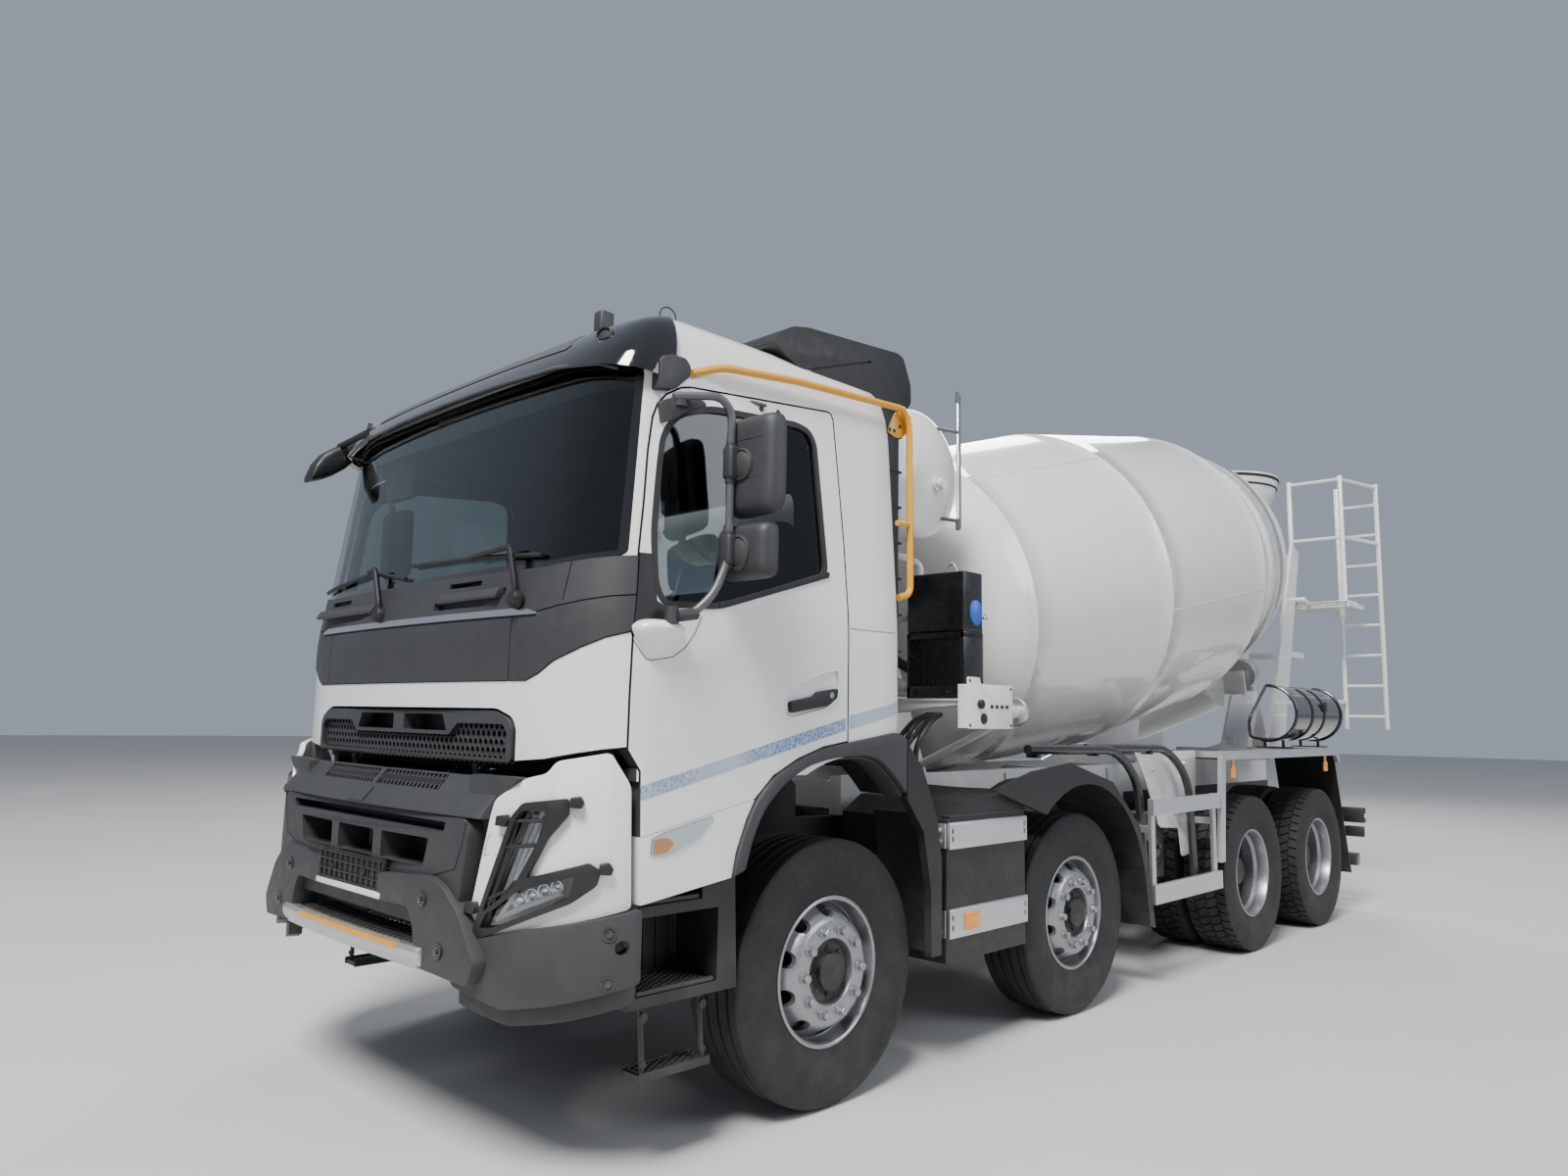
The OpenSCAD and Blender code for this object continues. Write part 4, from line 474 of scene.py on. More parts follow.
# Drum: shell with weld seams, track ring, blades and drive flange, turned about the drum's joint
DRUM_PLACE = Vector(joints["drum_turn"]["pos_m"])
DRUM_AXIS = Vector(joints["drum_turn"]["axis"]).normalized()
DRUM = Matrix.Translation(DRUM_PLACE) @ Matrix.Rotation(-math.acos(DRUM_AXIS.z), 4, "Y")
HEAD_LENGTH, HEAD_RADIUS = 0.5, 1.0
CONE_END, BODY_END, RING_START, RING_WIDTH, DRUM_LENGTH = 1.98, 3.66, 4.14, 0.52, 5.25
BODY_RADIUS, RING_RADIUS, MOUTH_RADIUS, DRUM_WALL = 1.15, 0.985, 0.56, 0.012
TRACK_PLACE, TRACK_HEIGHT, TRACK_WIDTH = RING_START + RING_WIDTH / 2, 0.045, 0.09
DRUM_TURNS = 160


def weld_bead(r, s, slope=0.0, width=0.008, height=0.0035):
    """Profile points of a raised weld round the drum."""
    return [(r - width * slope, s - width), (r + height * 0.7, s - width * 0.5), (r + height, s),
            (r + height * 0.7, s + width * 0.5), (r + width * slope, s + width)]


def straight(start, end, count):
    """Points between two profile points, without either."""
    return [(start[0] + (end[0] - start[0]) * i / count, start[1] + (end[1] - start[1]) * i / count)
            for i in range(1, count)]


def drum_profile():
    head = [(HEAD_RADIUS * math.sin(a), HEAD_LENGTH * (1 - math.cos(a)))
            for a in (math.radians(6 * k) for k in range(1, 15))]
    cone = (BODY_RADIUS - HEAD_RADIUS) / (CONE_END - HEAD_LENGTH)
    outer = [(0.0, 0.0), *head, *weld_bead(HEAD_RADIUS, HEAD_LENGTH, cone * 0.5)]
    outer += straight((HEAD_RADIUS, HEAD_LENGTH), (BODY_RADIUS - 0.003, CONE_END), 8)
    outer += weld_bead(BODY_RADIUS - 0.002, CONE_END)
    outer += straight((BODY_RADIUS, CONE_END), (BODY_RADIUS, BODY_END), 8)
    outer += weld_bead(BODY_RADIUS, BODY_END, -0.14)
    outer += straight((BODY_RADIUS, BODY_END), (RING_RADIUS + 0.035, RING_START), 4)
    outer += [(RING_RADIUS + 0.035, RING_START - 0.004), (RING_RADIUS + 0.033, RING_START),
              (RING_RADIUS + 0.004, RING_START + 0.006), (RING_RADIUS, RING_START + 0.012)]
    for k in range(1, 4):
        outer += weld_bead(RING_RADIUS, RING_START + RING_WIDTH * k / 4, 0, 0.006, 0.004)
    outer += weld_bead(RING_RADIUS - 0.001, RING_START + RING_WIDTH, -0.36)
    end = (MOUTH_RADIUS, DRUM_LENGTH)
    outer += straight((RING_RADIUS, RING_START + RING_WIDTH), end, 4)
    outer += [(MOUTH_RADIUS + 0.012, DRUM_LENGTH - 0.016), (MOUTH_RADIUS + 0.004, DRUM_LENGTH - 0.002),
              (MOUTH_RADIUS - 0.006, DRUM_LENGTH), (MOUTH_RADIUS - 0.012, DRUM_LENGTH - 0.004)]
    inner = [(MOUTH_RADIUS - DRUM_WALL, DRUM_LENGTH - 0.02), (RING_RADIUS - DRUM_WALL, RING_START + RING_WIDTH),
             (RING_RADIUS - DRUM_WALL, RING_START + 0.01), (BODY_RADIUS - DRUM_WALL, BODY_END),
             (BODY_RADIUS - DRUM_WALL, CONE_END), (HEAD_RADIUS - DRUM_WALL, HEAD_LENGTH), (0.5, 0.09), (0.0, DRUM_WALL)]
    return outer + inner


def shell_radius(s):
    """Outer radius of the drum's plates at a distance along its axis."""
    stations = [(0, HEAD_RADIUS), (HEAD_LENGTH, HEAD_RADIUS), (CONE_END, BODY_RADIUS), (BODY_END, BODY_RADIUS),
                (RING_START, RING_RADIUS + 0.02), (RING_START + RING_WIDTH, RING_RADIUS), (DRUM_LENGTH, MOUTH_RADIUS)]
    for (s0, r0), (s1, r1) in zip(stations, stations[1:]):
        if s <= s1:
            return r0 + (r1 - r0) * (s - s0) / (s1 - s0)
    return MOUTH_RADIUS


def drum_point(radius, angle, s):
    return DRUM @ Vector((radius * math.cos(angle), radius * math.sin(angle), s))


def add_drum_shell():
    bm = bmesh.new()
    add_lathe(bm, drum_profile(), DRUM_TURNS, DRUM)
    # Seams along the plates, sunk a little and a little shorter
    sunk, short = 0.001, 0.004
    for s0, s1, angles in ((HEAD_LENGTH, CONE_END, (40, 220)), (CONE_END, BODY_END, (100, 280)),
                           (BODY_END, RING_START, (25, 205)), (RING_START + RING_WIDTH, DRUM_LENGTH - 0.02, (70, 250))):
        for angle in angles:
            add_tube(bm, [drum_point(shell_radius(s) - sunk, math.radians(angle), s)
                          for s in (s0 + short, s1 - short)], 0.0045, 6)
    drum = finish_piece("drum_shell", bm, MIXER, "mixer_drum", 40)
    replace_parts(drum, "drum")


def add_track_ring():
    """Ring that the rollers carry."""
    bm = bmesh.new()
    low, high = TRACK_PLACE - TRACK_WIDTH / 2, TRACK_PLACE + TRACK_WIDTH / 2
    top, foot, edge = RING_RADIUS + TRACK_HEIGHT, RING_RADIUS - 0.002, 0.006
    add_lathe(bm, [(foot, low - 0.012), (RING_RADIUS + 0.01, low), (top - edge, low), (top, low + edge),
                   (top, high - edge), (top - edge, high), (RING_RADIUS + 0.01, high), (foot, high + 0.012),
                   (foot, low - 0.012)], DRUM_TURNS, DRUM)
    finish_piece("drum_track", bm, STEEL, "mixer_drum", 30)


def add_drive_flange():
    bm = bmesh.new()
    add_lathe(bm, [(0, -0.04), (0.19, -0.04), (0.2, -0.03), (0.2, 0.02), (0.17, 0.035), (0, 0.035)], 48, DRUM)
    finish_piece("drum_flange", bm, IRON, "mixer_drum", 30)


def add_blades():
    """Two spiral blades that grow to their full depth over their first steps."""
    bm = bmesh.new()
    blade_from, blade_to, pitch, depth, thick, step = 3.3, 5.15, 0.9, 0.3, 0.008, 7.5
    count = int((blade_to - blade_from) / pitch * 360 / step)
    for turn in (0, 180):
        rows = []
        for i in range(count + 1):
            s = blade_from + pitch * i * step / 360
            outer = shell_radius(s + thick) - DRUM_WALL * 1.4
            inner = outer - depth * min(1, (i + 4) / 12)
            rows.append([bm.verts.new(drum_point(r, math.radians(turn + i * step), s + t))
                         for r, t in ((inner, 0), (outer, 0), (outer, thick), (inner, thick))])
        skin(bm, rows)
    finish_piece("drum_blades", bm, MIXER, "mixer_drum", 30)


add_drum_shell()
add_track_ring()
add_drive_flange()
add_blades()


# Wheels: drawn along Z with the outside face up, then set on their axles
TYRE_RADIUS, TYRE_WIDTH, SEAT_RADIUS, SEAT_WIDTH = 0.530, 0.312, 0.286, 0.236
TWIN_PITCH = 0.345
NUTS, NUT_CIRCLE = 10, 0.167
WHEEL_TURNS = 120
RIM_PAINT = material("rim_silver", (0.33, 0.34, 0.36), 0.36, metal=0.8, coat=0.3, shade=0.04, patch=8,
                     grain=(400, 0.0002), dust=(0.25, 0.8))


def tyre_profile(tread):
    """Half of a tyre's section from the inner bead over the tread, with the tread's own points in the middle."""
    side = [(SEAT_RADIUS + 0.002, 0.104), (SEAT_RADIUS + 0.004, 0.120), (0.312, 0.129), (0.330, 0.137),
            (0.336, 0.1375), (0.340, 0.1395), (0.372, 0.150), (0.405, 0.1555), (0.436, 0.1555), (0.462, 0.152),
            (0.480, 0.148), (0.4835, 0.1495), (0.488, 0.1475), (0.503, 0.1435), (0.514, 0.139), (0.522, 0.1325)]
    outer = side + tread
    return outer + [(r, -z) for r, z in reversed(outer)] + [(SEAT_RADIUS + 0.002, 0.104)]


def ribbed_tread():
    """Half of the top of a road tyre: shoulder rib, two grooves each side of the middle."""
    top, deep = TYRE_RADIUS, 0.014
    points = [(0.5265, 0.127)]
    for groove in (0.085, 0.030):
        crown = top - 0.0035 * (groove / 0.13) ** 2
        points += [(crown, groove + 0.0065), (crown - deep, groove + 0.004), (crown - deep, groove - 0.004),
                   (crown, groove - 0.0065)]
    return points


def block_tread():
    base = TYRE_RADIUS - 0.017
    return [(base, 0.126), (base + 0.001, 0.06), (base + 0.001, 0.01)]


# Rows of blocks beside the tyre's middle: from, to, shift, cover of each step, slant
BLOCK_ROWS = ((0.078, 0.137, 0.0, 0.80, 0.10), (0.004, 0.070, 0.5, 0.84, -0.22))
BLOCKS, BLOCK_FOOT = 50, TYRE_RADIUS - 0.020
BLOCK_FACES = ((4, 5, 7, 6), (0, 1, 5, 4), (2, 6, 7, 3), (0, 4, 6, 2), (1, 3, 7, 5))


def add_tread_block(bm, offset, side, row, step):
    """One block from its foot, a little wider, to its top, with the tyre's shoulder rounded off."""
    z0, z1, _, cover, slant = row
    corners = []
    for r in (BLOCK_FOOT, TYRE_RADIUS):
        taper = cover * (1.03 if r == BLOCK_FOOT else 1.0)
        for z, lean in ((z0, -slant), (z1, slant)):
            drop = 0.006 if r == TYRE_RADIUS and z > 0.13 else 0.0015 * (z > 0.06)
            for end in (-0.5, 0.5):
                a = FULL_TURN * (step + end * taper + lean * side) / BLOCKS
                corners.append(bm.verts.new(((r - drop) * math.cos(a), (r - drop) * math.sin(a), offset + side * z)))
    for face in BLOCK_FACES:
        bm.faces.new([corners[k] for k in face])


def add_tread_blocks(bm, offset):
    """Shoulder and middle blocks of a driven axle's tyre, with slanted gaps between them."""
    for row in BLOCK_ROWS:
        for side in (1, -1):
            for i in range(BLOCKS):
                add_tread_block(bm, offset, side, row, i + row[2] + (0.25 if side < 0 else 0))


def painted(mesh, paint, angle=30):
    """Gives a mesh that several wheels share its shading and its finish."""
    smooth(mesh, angle)
    mesh.materials.append(paint)
    return mesh


def tyre_mesh(name, offsets, blocks):
    bm = bmesh.new()
    profile = tyre_profile(block_tread() if blocks else ribbed_tread())
    for offset in offsets:
        add_lathe(bm, profile, WHEEL_TURNS, Matrix.Translation((0, 0, offset)))
        if blocks:
            add_tread_blocks(bm, offset)
    weld(bm)
    return painted(mesh_of(bm, name), RUBBER, 28)


def barrel_profile():
    """Section of the rim that holds the tyre, from the inner flange to the outer one, and back underneath."""
    half, flange, t = SEAT_WIDTH / 2, 0.012, 0.009
    return [(SEAT_RADIUS + 0.003, -half - flange), (SEAT_RADIUS + 0.012, -half - flange + 0.003),
            (SEAT_RADIUS + 0.012, -half), (SEAT_RADIUS, -half + 0.004), (SEAT_RADIUS - 0.004, -0.05),
            (0.268, -0.03), (0.268, 0.03), (SEAT_RADIUS - 0.004, 0.05), (SEAT_RADIUS, half - 0.004),
            (SEAT_RADIUS + 0.012, half), (SEAT_RADIUS + 0.012, half + flange - 0.003),
            (SEAT_RADIUS + 0.003, half + flange), (SEAT_RADIUS - 0.004, half + flange - 0.004),
            (SEAT_RADIUS - t, half - 0.004), (SEAT_RADIUS - t - 0.003, 0.055), (0.268 - t, 0.035),
            (0.268 - t, -0.035), (SEAT_RADIUS - t - 0.003, -0.055), (SEAT_RADIUS - t, -half + 0.004),
            (SEAT_RADIUS - 0.004, -half - flange + 0.004), (SEAT_RADIUS + 0.003, -half - flange)]


def disc_mesh(profile, hole_circle, hole_wide, hole_tall, z_low, z_high):
    """A wheel disc turned from its section, with oval hand holes."""
    bm = bmesh.new()
    add_lathe(bm, profile, WHEEL_TURNS)
    weld(bm)
    disc = mesh_of(bm, "disc")
    bm = bmesh.new()
    oval = Matrix.Translation((hole_circle, 0, 0)) @ Matrix.Diagonal((hole_tall, hole_wide, 1, 1))
    for i in range(NUTS):
        turn = Matrix.Rotation(FULL_TURN * (i + 0.5) / NUTS, 4, "Z")
        add_lathe(bm, [(0, z_low), (1, z_low), (1, z_high), (0, z_high)], 28, turn @ oval)
    weld(bm)
    return cut_away(disc, [mesh_of(bm)])


def add_nuts(bm, face, long_studs=0.0):
    for a in circle(NUTS):
        turn = Matrix.Rotation(a, 4, "Z") @ Matrix.Translation((NUT_CIRCLE, 0, face))
        add_lathe(bm, [(0, 0), (0.023, 0), (0.023, 0.005), (0.020, 0.008), (0, 0.008)], 24, turn)
        add_lathe(bm, [(0.0185, 0.008), (0.0185, 0.026), (0.016, 0.029), (0, 0.029)], 6, turn)
        if long_studs:
            add_lathe(bm, [(0.010, 0.028), (0.010, 0.028 + long_studs), (0, 0.030 + long_studs)], 12, turn)


def rim_mesh(name, discs, barrels, face, long_studs=0.0):
    """A rim in one mesh: a barrel at each place along the axle, the nuts on the outer face, and the discs."""
    bm = bmesh.new()
    for place in barrels:
        add_lathe(bm, barrel_profile(), WHEEL_TURNS, Matrix.Translation((0, 0, place)))
    add_nuts(bm, face, long_studs)
    for disc in discs:
        bm.from_mesh(disc)
    return painted(mesh_of(bm, name), RIM_PAINT)


def front_rim():
    """Front wheel: disc domed outwards with a ring of nuts and a deep dark hub."""
    section = [(0.275, 0.052), (0.262, 0.060), (0.240, 0.098), (0.222, 0.128), (0.205, 0.139), (0.196, 0.142),
               (0.140, 0.142), (0.132, 0.139), (0.128, 0.130), (0.126, 0.112), (0.140, 0.112), (0.150, 0.128),
               (0.196, 0.128), (0.210, 0.120), (0.228, 0.088), (0.252, 0.046), (0.275, 0.040), (0.275, 0.052)]
    return rim_mesh("front_rim", [disc_mesh(section, 0.2375, 0.033, 0.0225, 0.0, 0.2)], [0], 0.142)


def rear_rim():
    """Twin wheel: two barrels bolted back to back, so the outer disc is set deep."""
    section = [(0.262, 0.098), (0.240, 0.070), (0.215, 0.030), (0.200, 0.018), (0.120, 0.018), (0.120, 0.004),
               (0.205, 0.004), (0.224, 0.018), (0.250, 0.058), (0.262, 0.075), (0.262, 0.098)]
    outer = disc_mesh(section, 0.2300, 0.030, 0.020, -0.05, 0.15)
    inner = outer.copy()
    inner.transform(Matrix.Diagonal((1, 1, -1, 1)))
    return rim_mesh("rear_rim", [outer, inner], [-TWIN_PITCH / 2, TWIN_PITCH / 2], 0.018, 0.03)


def hub_mesh(name, profile, bolt_circle, face):
    """A hub turned from its section, with eight bolts on its face."""
    bm = bmesh.new()
    add_lathe(bm, profile, 48)
    for a in circle(8):
        add_bolt(bm, Matrix.Rotation(a, 4, "Z") @ Vector((bolt_circle, 0, face)), (0, 0, 1), 0.008)
    return painted(mesh_of(bm, name), IRON)


def wheel_place(node, side):
    """Stands a wheel drawn along Z on the middle of its CAD node, outside face outwards."""
    place = middle(node)
    return Matrix.Translation(place) @ Matrix.Rotation(-math.pi / 2 * side, 4, "X")


def set_wheel(name, mesh, matrix, body, cad_node=None):
    copy = mesh.copy()
    copy.name = name
    copy.transform(matrix)
    piece = bpy.data.objects.new(name, copy)
    bpy.context.scene.collection.objects.link(piece)
    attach(piece, body)
    if cad_node:
        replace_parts(piece, cad_node)


def add_wheels():
    front_hub = [(0.128, 0.020), (0.128, 0.112), (0.105, 0.118), (0.082, 0.112), (0.074, 0.122), (0.074, 0.146),
                 (0.066, 0.150), (0.02, 0.150), (0.015, 0.147), (0, 0.147)]
    rear_hub = [(0.120, -0.05), (0.120, 0.035), (0.105, 0.045), (0.105, 0.150), (0.098, 0.170), (0.088, 0.178),
                (0.088, 0.205), (0.080, 0.210), (0, 0.210)]
    single = (tyre_mesh("road_tyre", [0], False), front_rim(), hub_mesh("front_hub", front_hub, 0.096, 0.115))
    twin = (tyre_mesh("driven_tyres", [-TWIN_PITCH / 2, TWIN_PITCH / 2], True), rear_rim(),
            hub_mesh("rear_hub", rear_hub, 0.094, 0.173))
    # Nodes and bodies of a twin pair are named in the plural
    for axle, (tyre, rim, hub), many in ((1, single, ""), (2, single, ""), (3, twin, "s"), (4, twin, "s")):
        for side, hand in ((1, "left"), (-1, "right")):
            body, end = f"{hand}_wheel{many}_{axle}", f"{many}_{axle}_{hand}"
            matrix = wheel_place(f"tyre{end}", side)
            set_wheel(f"tyre_rubber_{axle}_{hand}", tyre, matrix, body, f"tyre{end}")
            set_wheel(f"wheel_{axle}_{hand}", rim, matrix, body, f"rim{end}")
            set_wheel(f"hub_{axle}_{hand}", hub, matrix, body)


add_wheels()


# Cab: one smooth form made of level rings, cut into the shell and the doors
CAB_REAR, CAB_FRONT, FLOOR, LOW = -0.375, 1.335, 1.33, 0.88
ROOF, SHOULDER = 3.137, 2.85
WALL = 0.055
# Forward of this place the plan of the cab narrows as its front leans back
NOSE_PIVOT = 0.2


def along(table, value):
    """Reads a table of (place, size) rows at a place, with straight lines between the rows."""
    for (p0, v0), (p1, v1) in zip(table, table[1:]):
        if value <= p1:
            return v0 + (v1 - v0) * max(0, value - p0) / (p1 - p0)
    return table[-1][1]


def rounded(points, radius, steps=6):
    """An open outline with its inner corners rounded."""
    return [(p.x, p.y) for p in round_path([(*q, 0) for q in points], radius, steps)]


FRONT_LINE = [(z, x) for x, z in rounded([(CAB_FRONT, 1.20), (CAB_FRONT, 1.87), (1.310, 2.0), (1.155, 2.90),
                                         (1.02, 3.045), (0.70, 3.12), (0.45, ROOF)], 0.10)]
REAR_LINE = [(z, x) for x, z in rounded([(CAB_REAR, 1.20), (CAB_REAR, 3.03), (-0.30, 3.11), (0.0, ROOF)], 0.06)]
SIDE_LINE = [(z, y) for y, z in rounded([(HALF_WIDTH, 1.20), (HALF_WIDTH, 1.95), (1.18, 2.88), (1.12, 3.055),
                                        (0.93, 3.13), (0.90, ROOF)], 0.09)]
PLAN_FRONT = [(1.00, 1.245), (1.056, 1.243), (1.12, 1.222), (1.185, 1.178), (1.235, 1.105), (1.272, 1.01),
              (1.297, 0.88), (1.311, 0.72), (1.322, 0.54), (1.330, 0.36), (1.334, 0.18), (1.335, 0.0)]


def cab_ring(z, grow):
    """Half outline of the cab at a height, from the middle of the rear wall to the middle of the front."""
    front, rear, side = along(FRONT_LINE, z) + grow, along(REAR_LINE, z) - grow, along(SIDE_LINE, z) + grow
    shift = CAB_FRONT - front
    power = min(3.0, max(1.0, 0.8 * (CAB_FRONT - NOSE_PIVOT) / max(shift, 1e-6)))
    half = [(CAB_REAR, 0.0), (CAB_REAR, 0.6), (CAB_REAR, 1.10), (CAB_REAR, 1.18), (CAB_REAR + 0.02, 1.225),
            (CAB_REAR + 0.065, HALF_WIDTH), *((x, HALF_WIDTH) for x in (-0.2, 0.0, 0.2, 0.4, 0.6, 0.8, 0.9)),
            *PLAN_FRONT]
    ring = []
    for x, y in half:
        if x > NOSE_PIVOT:
            u = (x - NOSE_PIVOT) / (CAB_FRONT - NOSE_PIVOT)
            x -= shift * u ** power
        else:
            x += (rear - CAB_REAR) * (NOSE_PIVOT - x) / (NOSE_PIVOT - CAB_REAR)
        ring.append((x, y * side / HALF_WIDTH))
    return ring


def cab_levels(low, top):
    """Heights of the rings: evenly up to the shoulder, then closer and closer up to the roof."""
    sides, crown = 34, 16
    return [*(low + (SHOULDER - low) * i / sides for i in range(sides)),
            *(SHOULDER + (top - SHOULDER) * math.sin(math.pi / 2 * i / crown) for i in range(crown + 1))]


def cab_form(grow=0.0, low=FLOOR, top=ROOF):
    """The closed form of the cab, swollen or shrunk by grow."""
    bm = bmesh.new()
    rings = []
    for z in cab_levels(low, top + grow):
        source = min(z - grow if grow < 0 and z > SHOULDER else z, ROOF)
        half = cab_ring(source, grow)
        loop = half + [(x, -y) for x, y in reversed(half[1:-1])]
        rings.append([bm.verts.new(at(x, y, z)) for x, y in loop])
    skin(bm, rings)
    return mesh_of(bm, "cab_form")


def prism(outline, low, high, axes, mirror=False):
    """A closed cutter: an outline in truck metres pushed along the axis that axes leaves out."""
    bm = bmesh.new()
    add_plate(bm, outline, low, high, axes)
    bmesh.ops.transform(bm, verts=bm.verts, matrix=TRUCK)
    if mirror:
        bmesh.ops.transform(bm, verts=bm.verts, matrix=MIRROR)
    return mesh_of(bm)


def inset(outline, amount):
    """A closed outline moved outwards by amount, or inwards where it is negative."""
    count = len(outline)
    area = sum(outline[i][0] * outline[(i + 1) % count][1] - outline[(i + 1) % count][0] * outline[i][1]
               for i in range(count))
    sign = 1 if area > 0 else -1
    moved = []
    for i in range(count):
        a, b, c = Vector(outline[i - 1]), Vector(outline[i]), Vector(outline[(i + 1) % count])
        n1 = Vector(((b - a).y, -(b - a).x)).normalized() * sign
        n2 = Vector(((c - b).y, -(c - b).x)).normalized() * sign
        middle_way = (n1 + n2).normalized()
        moved.append(tuple(b + middle_way * amount / max(0.35, middle_way.dot(n1))))
    return moved


def closed_round(points, radius, steps=5):
    """A closed outline with every corner rounded."""
    first = ((points[0][0] + points[-1][0]) / 2, (points[0][1] + points[-1][1]) / 2)
    return rounded([first, *points, first], radius, steps)[:-1]


def arc(centre, radius, start, end, steps=24):
    angles = [math.radians(start + (end - start) * i / steps) for i in range(steps + 1)]
    return [(centre[0] + radius * math.cos(a), centre[1] + radius * math.sin(a)) for a in angles]


ARCH_CENTRE, ARCH_RADIUS = (-0.058, 0.70), 0.70
DOOR_GAP = 0.008
# Depths that cutters reach through the side, its outer layer, the windscreen and the panel below it
SIDE_CUT, OUTER_CUT = (0.9, 1.4, "xz"), (1.1, 1.4, "xz")
SCREEN_CUT, PANEL_CUT = (0.94, 1.5, "yz"), (0.96, 1.5, "yz")
# Side view of the left door, of its window and of the flare over the wheel
DOOR_FRONT = [(1.052, 0.919), (1.060, 1.143), (1.066, 1.365), (1.110, 1.436), (1.109, 1.62), (1.104, 1.85),
              (1.090, 2.02), (1.083, 2.12), (1.060, 2.30), (1.040, 2.494), (1.020, 2.62), (1.000, 2.675),
              (0.965, 2.715), (0.895, 2.757), (0.845, 2.770)]
DOOR_LINE = [*DOOR_FRONT, (0.075, 2.850), (0.056, 2.845), (0.048, 2.825), (0.013, 2.285), (0.003, 1.93),
             (0.003, 1.461), (0.149, 1.440), (0.294, 1.397), (0.432, 1.334), (0.523, 1.255), (0.572, 1.174),
             (0.620, 1.061), (0.640, 0.972)]
WINDOW_LINE = closed_round([(0.990, 1.944), (1.026, 2.010), (1.030, 2.19), (1.005, 2.42), (0.985, 2.56), (0.925, 2.640),
                            (0.840, 2.682), (0.740, 2.712), (0.277, 2.750), (0.205, 2.737), (0.172, 2.692),
                            (0.132, 2.138), (0.420, 2.052), (0.731, 1.958)], 0.05)
CORNER_LINE = [(1.14, 2.117), (1.035, 2.117), (1.020, 1.952), (0.965, 1.925), (0.985, 1.884), (1.14, 1.852)]
# Front view of the windscreen, of the dark panel below it and of the grille
SCREEN_LINE = closed_round([(-1.196, 2.10), (-0.90, 2.072), (0.90, 2.072), (1.196, 2.10), (1.155, 2.81),
                            (0.85, 2.865), (-0.85, 2.865), (-1.155, 2.81)], 0.03)
PANEL_LINE = [(-1.30, 1.862), (-1.245, 1.845), (-1.09, 1.772), (-1.00, 1.733), (-0.93, 1.690), (-0.87, 1.666),
              (0.87, 1.666), (0.93, 1.690), (1.00, 1.733), (1.09, 1.772), (1.245, 1.845), (1.30, 1.862),
              (1.30, 2.115), (1.19, 2.103), (0.90, 2.076), (-0.90, 2.076), (-1.19, 2.103), (-1.30, 2.115)]
GRILLE_LINE = closed_round([(-0.828, 1.33), (0.828, 1.33), (0.826, 1.50), (0.800, 1.540), (0.705, 1.570),
                            (-0.705, 1.570), (-0.800, 1.540), (-0.826, 1.50)], 0.025)
SKIRT_LINE = [(-1.32, 1.20), (1.32, 1.20), (1.32, 1.462), (1.22, 1.445), (0.98, 1.400), (0.82, 1.386),
              (-0.82, 1.386), (-0.98, 1.400), (-1.22, 1.445), (-1.32, 1.462)]


def cab_skin(out, depth, keep, cuts=()):
    """The layer of the cab's form that starts at out and goes down by depth, kept inside one prism."""
    kept = combine(cab_form(out, LOW), [keep], "INTERSECT")
    return combine(kept, [cab_form(out - depth, LOW - 0.03), *cuts], "DIFFERENCE")


def cab_piece(name, mesh, paint, body, replaced=None, angle=30):
    mesh.materials.clear()
    smooth(mesh, angle)
    mesh.name = name
    piece = place_piece(name, mesh, paint, body)
    if replaced:
        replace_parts(piece, replaced)
    return piece


def line_inside(piece, depth=0.020):
    """Gives the faces deeper than depth below the cab's form the dark finish of its lining."""
    skin = bmesh.new()
    skin.from_mesh(cab_form(-depth, LOW - 0.03))
    tree = BVHTree.FromBMesh(skin)
    skin.free()
    piece.data.materials.append(LINING)
    for face in piece.data.polygons:
        place, normal, _, _ = tree.find_nearest(face.center)
        if (face.center - place).dot(normal) < 0:
            face.material_index = 1


def both_sides_cab(name, mesh, paint, body, replaced=None, angle=30):
    """A cab piece made on the left, and its mirror image. A star in a name stands for the side."""
    for side, made in (("left", mesh), ("right", mirrored(mesh, name))):
        cab_piece(f"{name}_{side}", made, paint, body.replace("*", side),
                  replaced.replace("*", side) if replaced else None, angle)


def door_gaps():
    """Cutters that leave a gap round both doors."""
    return [prism(inset(DOOR_LINE, DOOR_GAP), *SIDE_CUT, side) for side in (False, True)]


def add_shell():
    rear_window = closed_round([(-0.62, 2.20), (0.62, 2.20), (0.60, 2.66), (-0.60, 2.66)], 0.08)
    cuts = [cab_form(-WALL, FLOOR + WALL), *door_gaps(), prism(SCREEN_LINE, *SCREEN_CUT),
            prism(GRILLE_LINE, 1.22, 1.5, "yz"), prism(PANEL_LINE, *PANEL_CUT), prism(SKIRT_LINE, 1.08, 1.5, "yz"),
            prism(arc(ARCH_CENTRE, ARCH_RADIUS, 0, 360, 72)[:-1], -1.4, 1.4, "xz"),
            prism(rear_window, -0.5, -0.25, "yz")]
    # Seam between the roof and the side panel behind each door
    seam = [(-0.45, 1.925), (0.0, 1.923), (0.0, 1.929), (-0.45, 1.931)]
    cuts += [prism(seam, 1.236, 1.3, "xz", side) for side in (False, True)]
    line_inside(cab_piece("cab_body", combine(cab_form(), cuts, "DIFFERENCE"), WHITE, "cab", "cab_shell"))


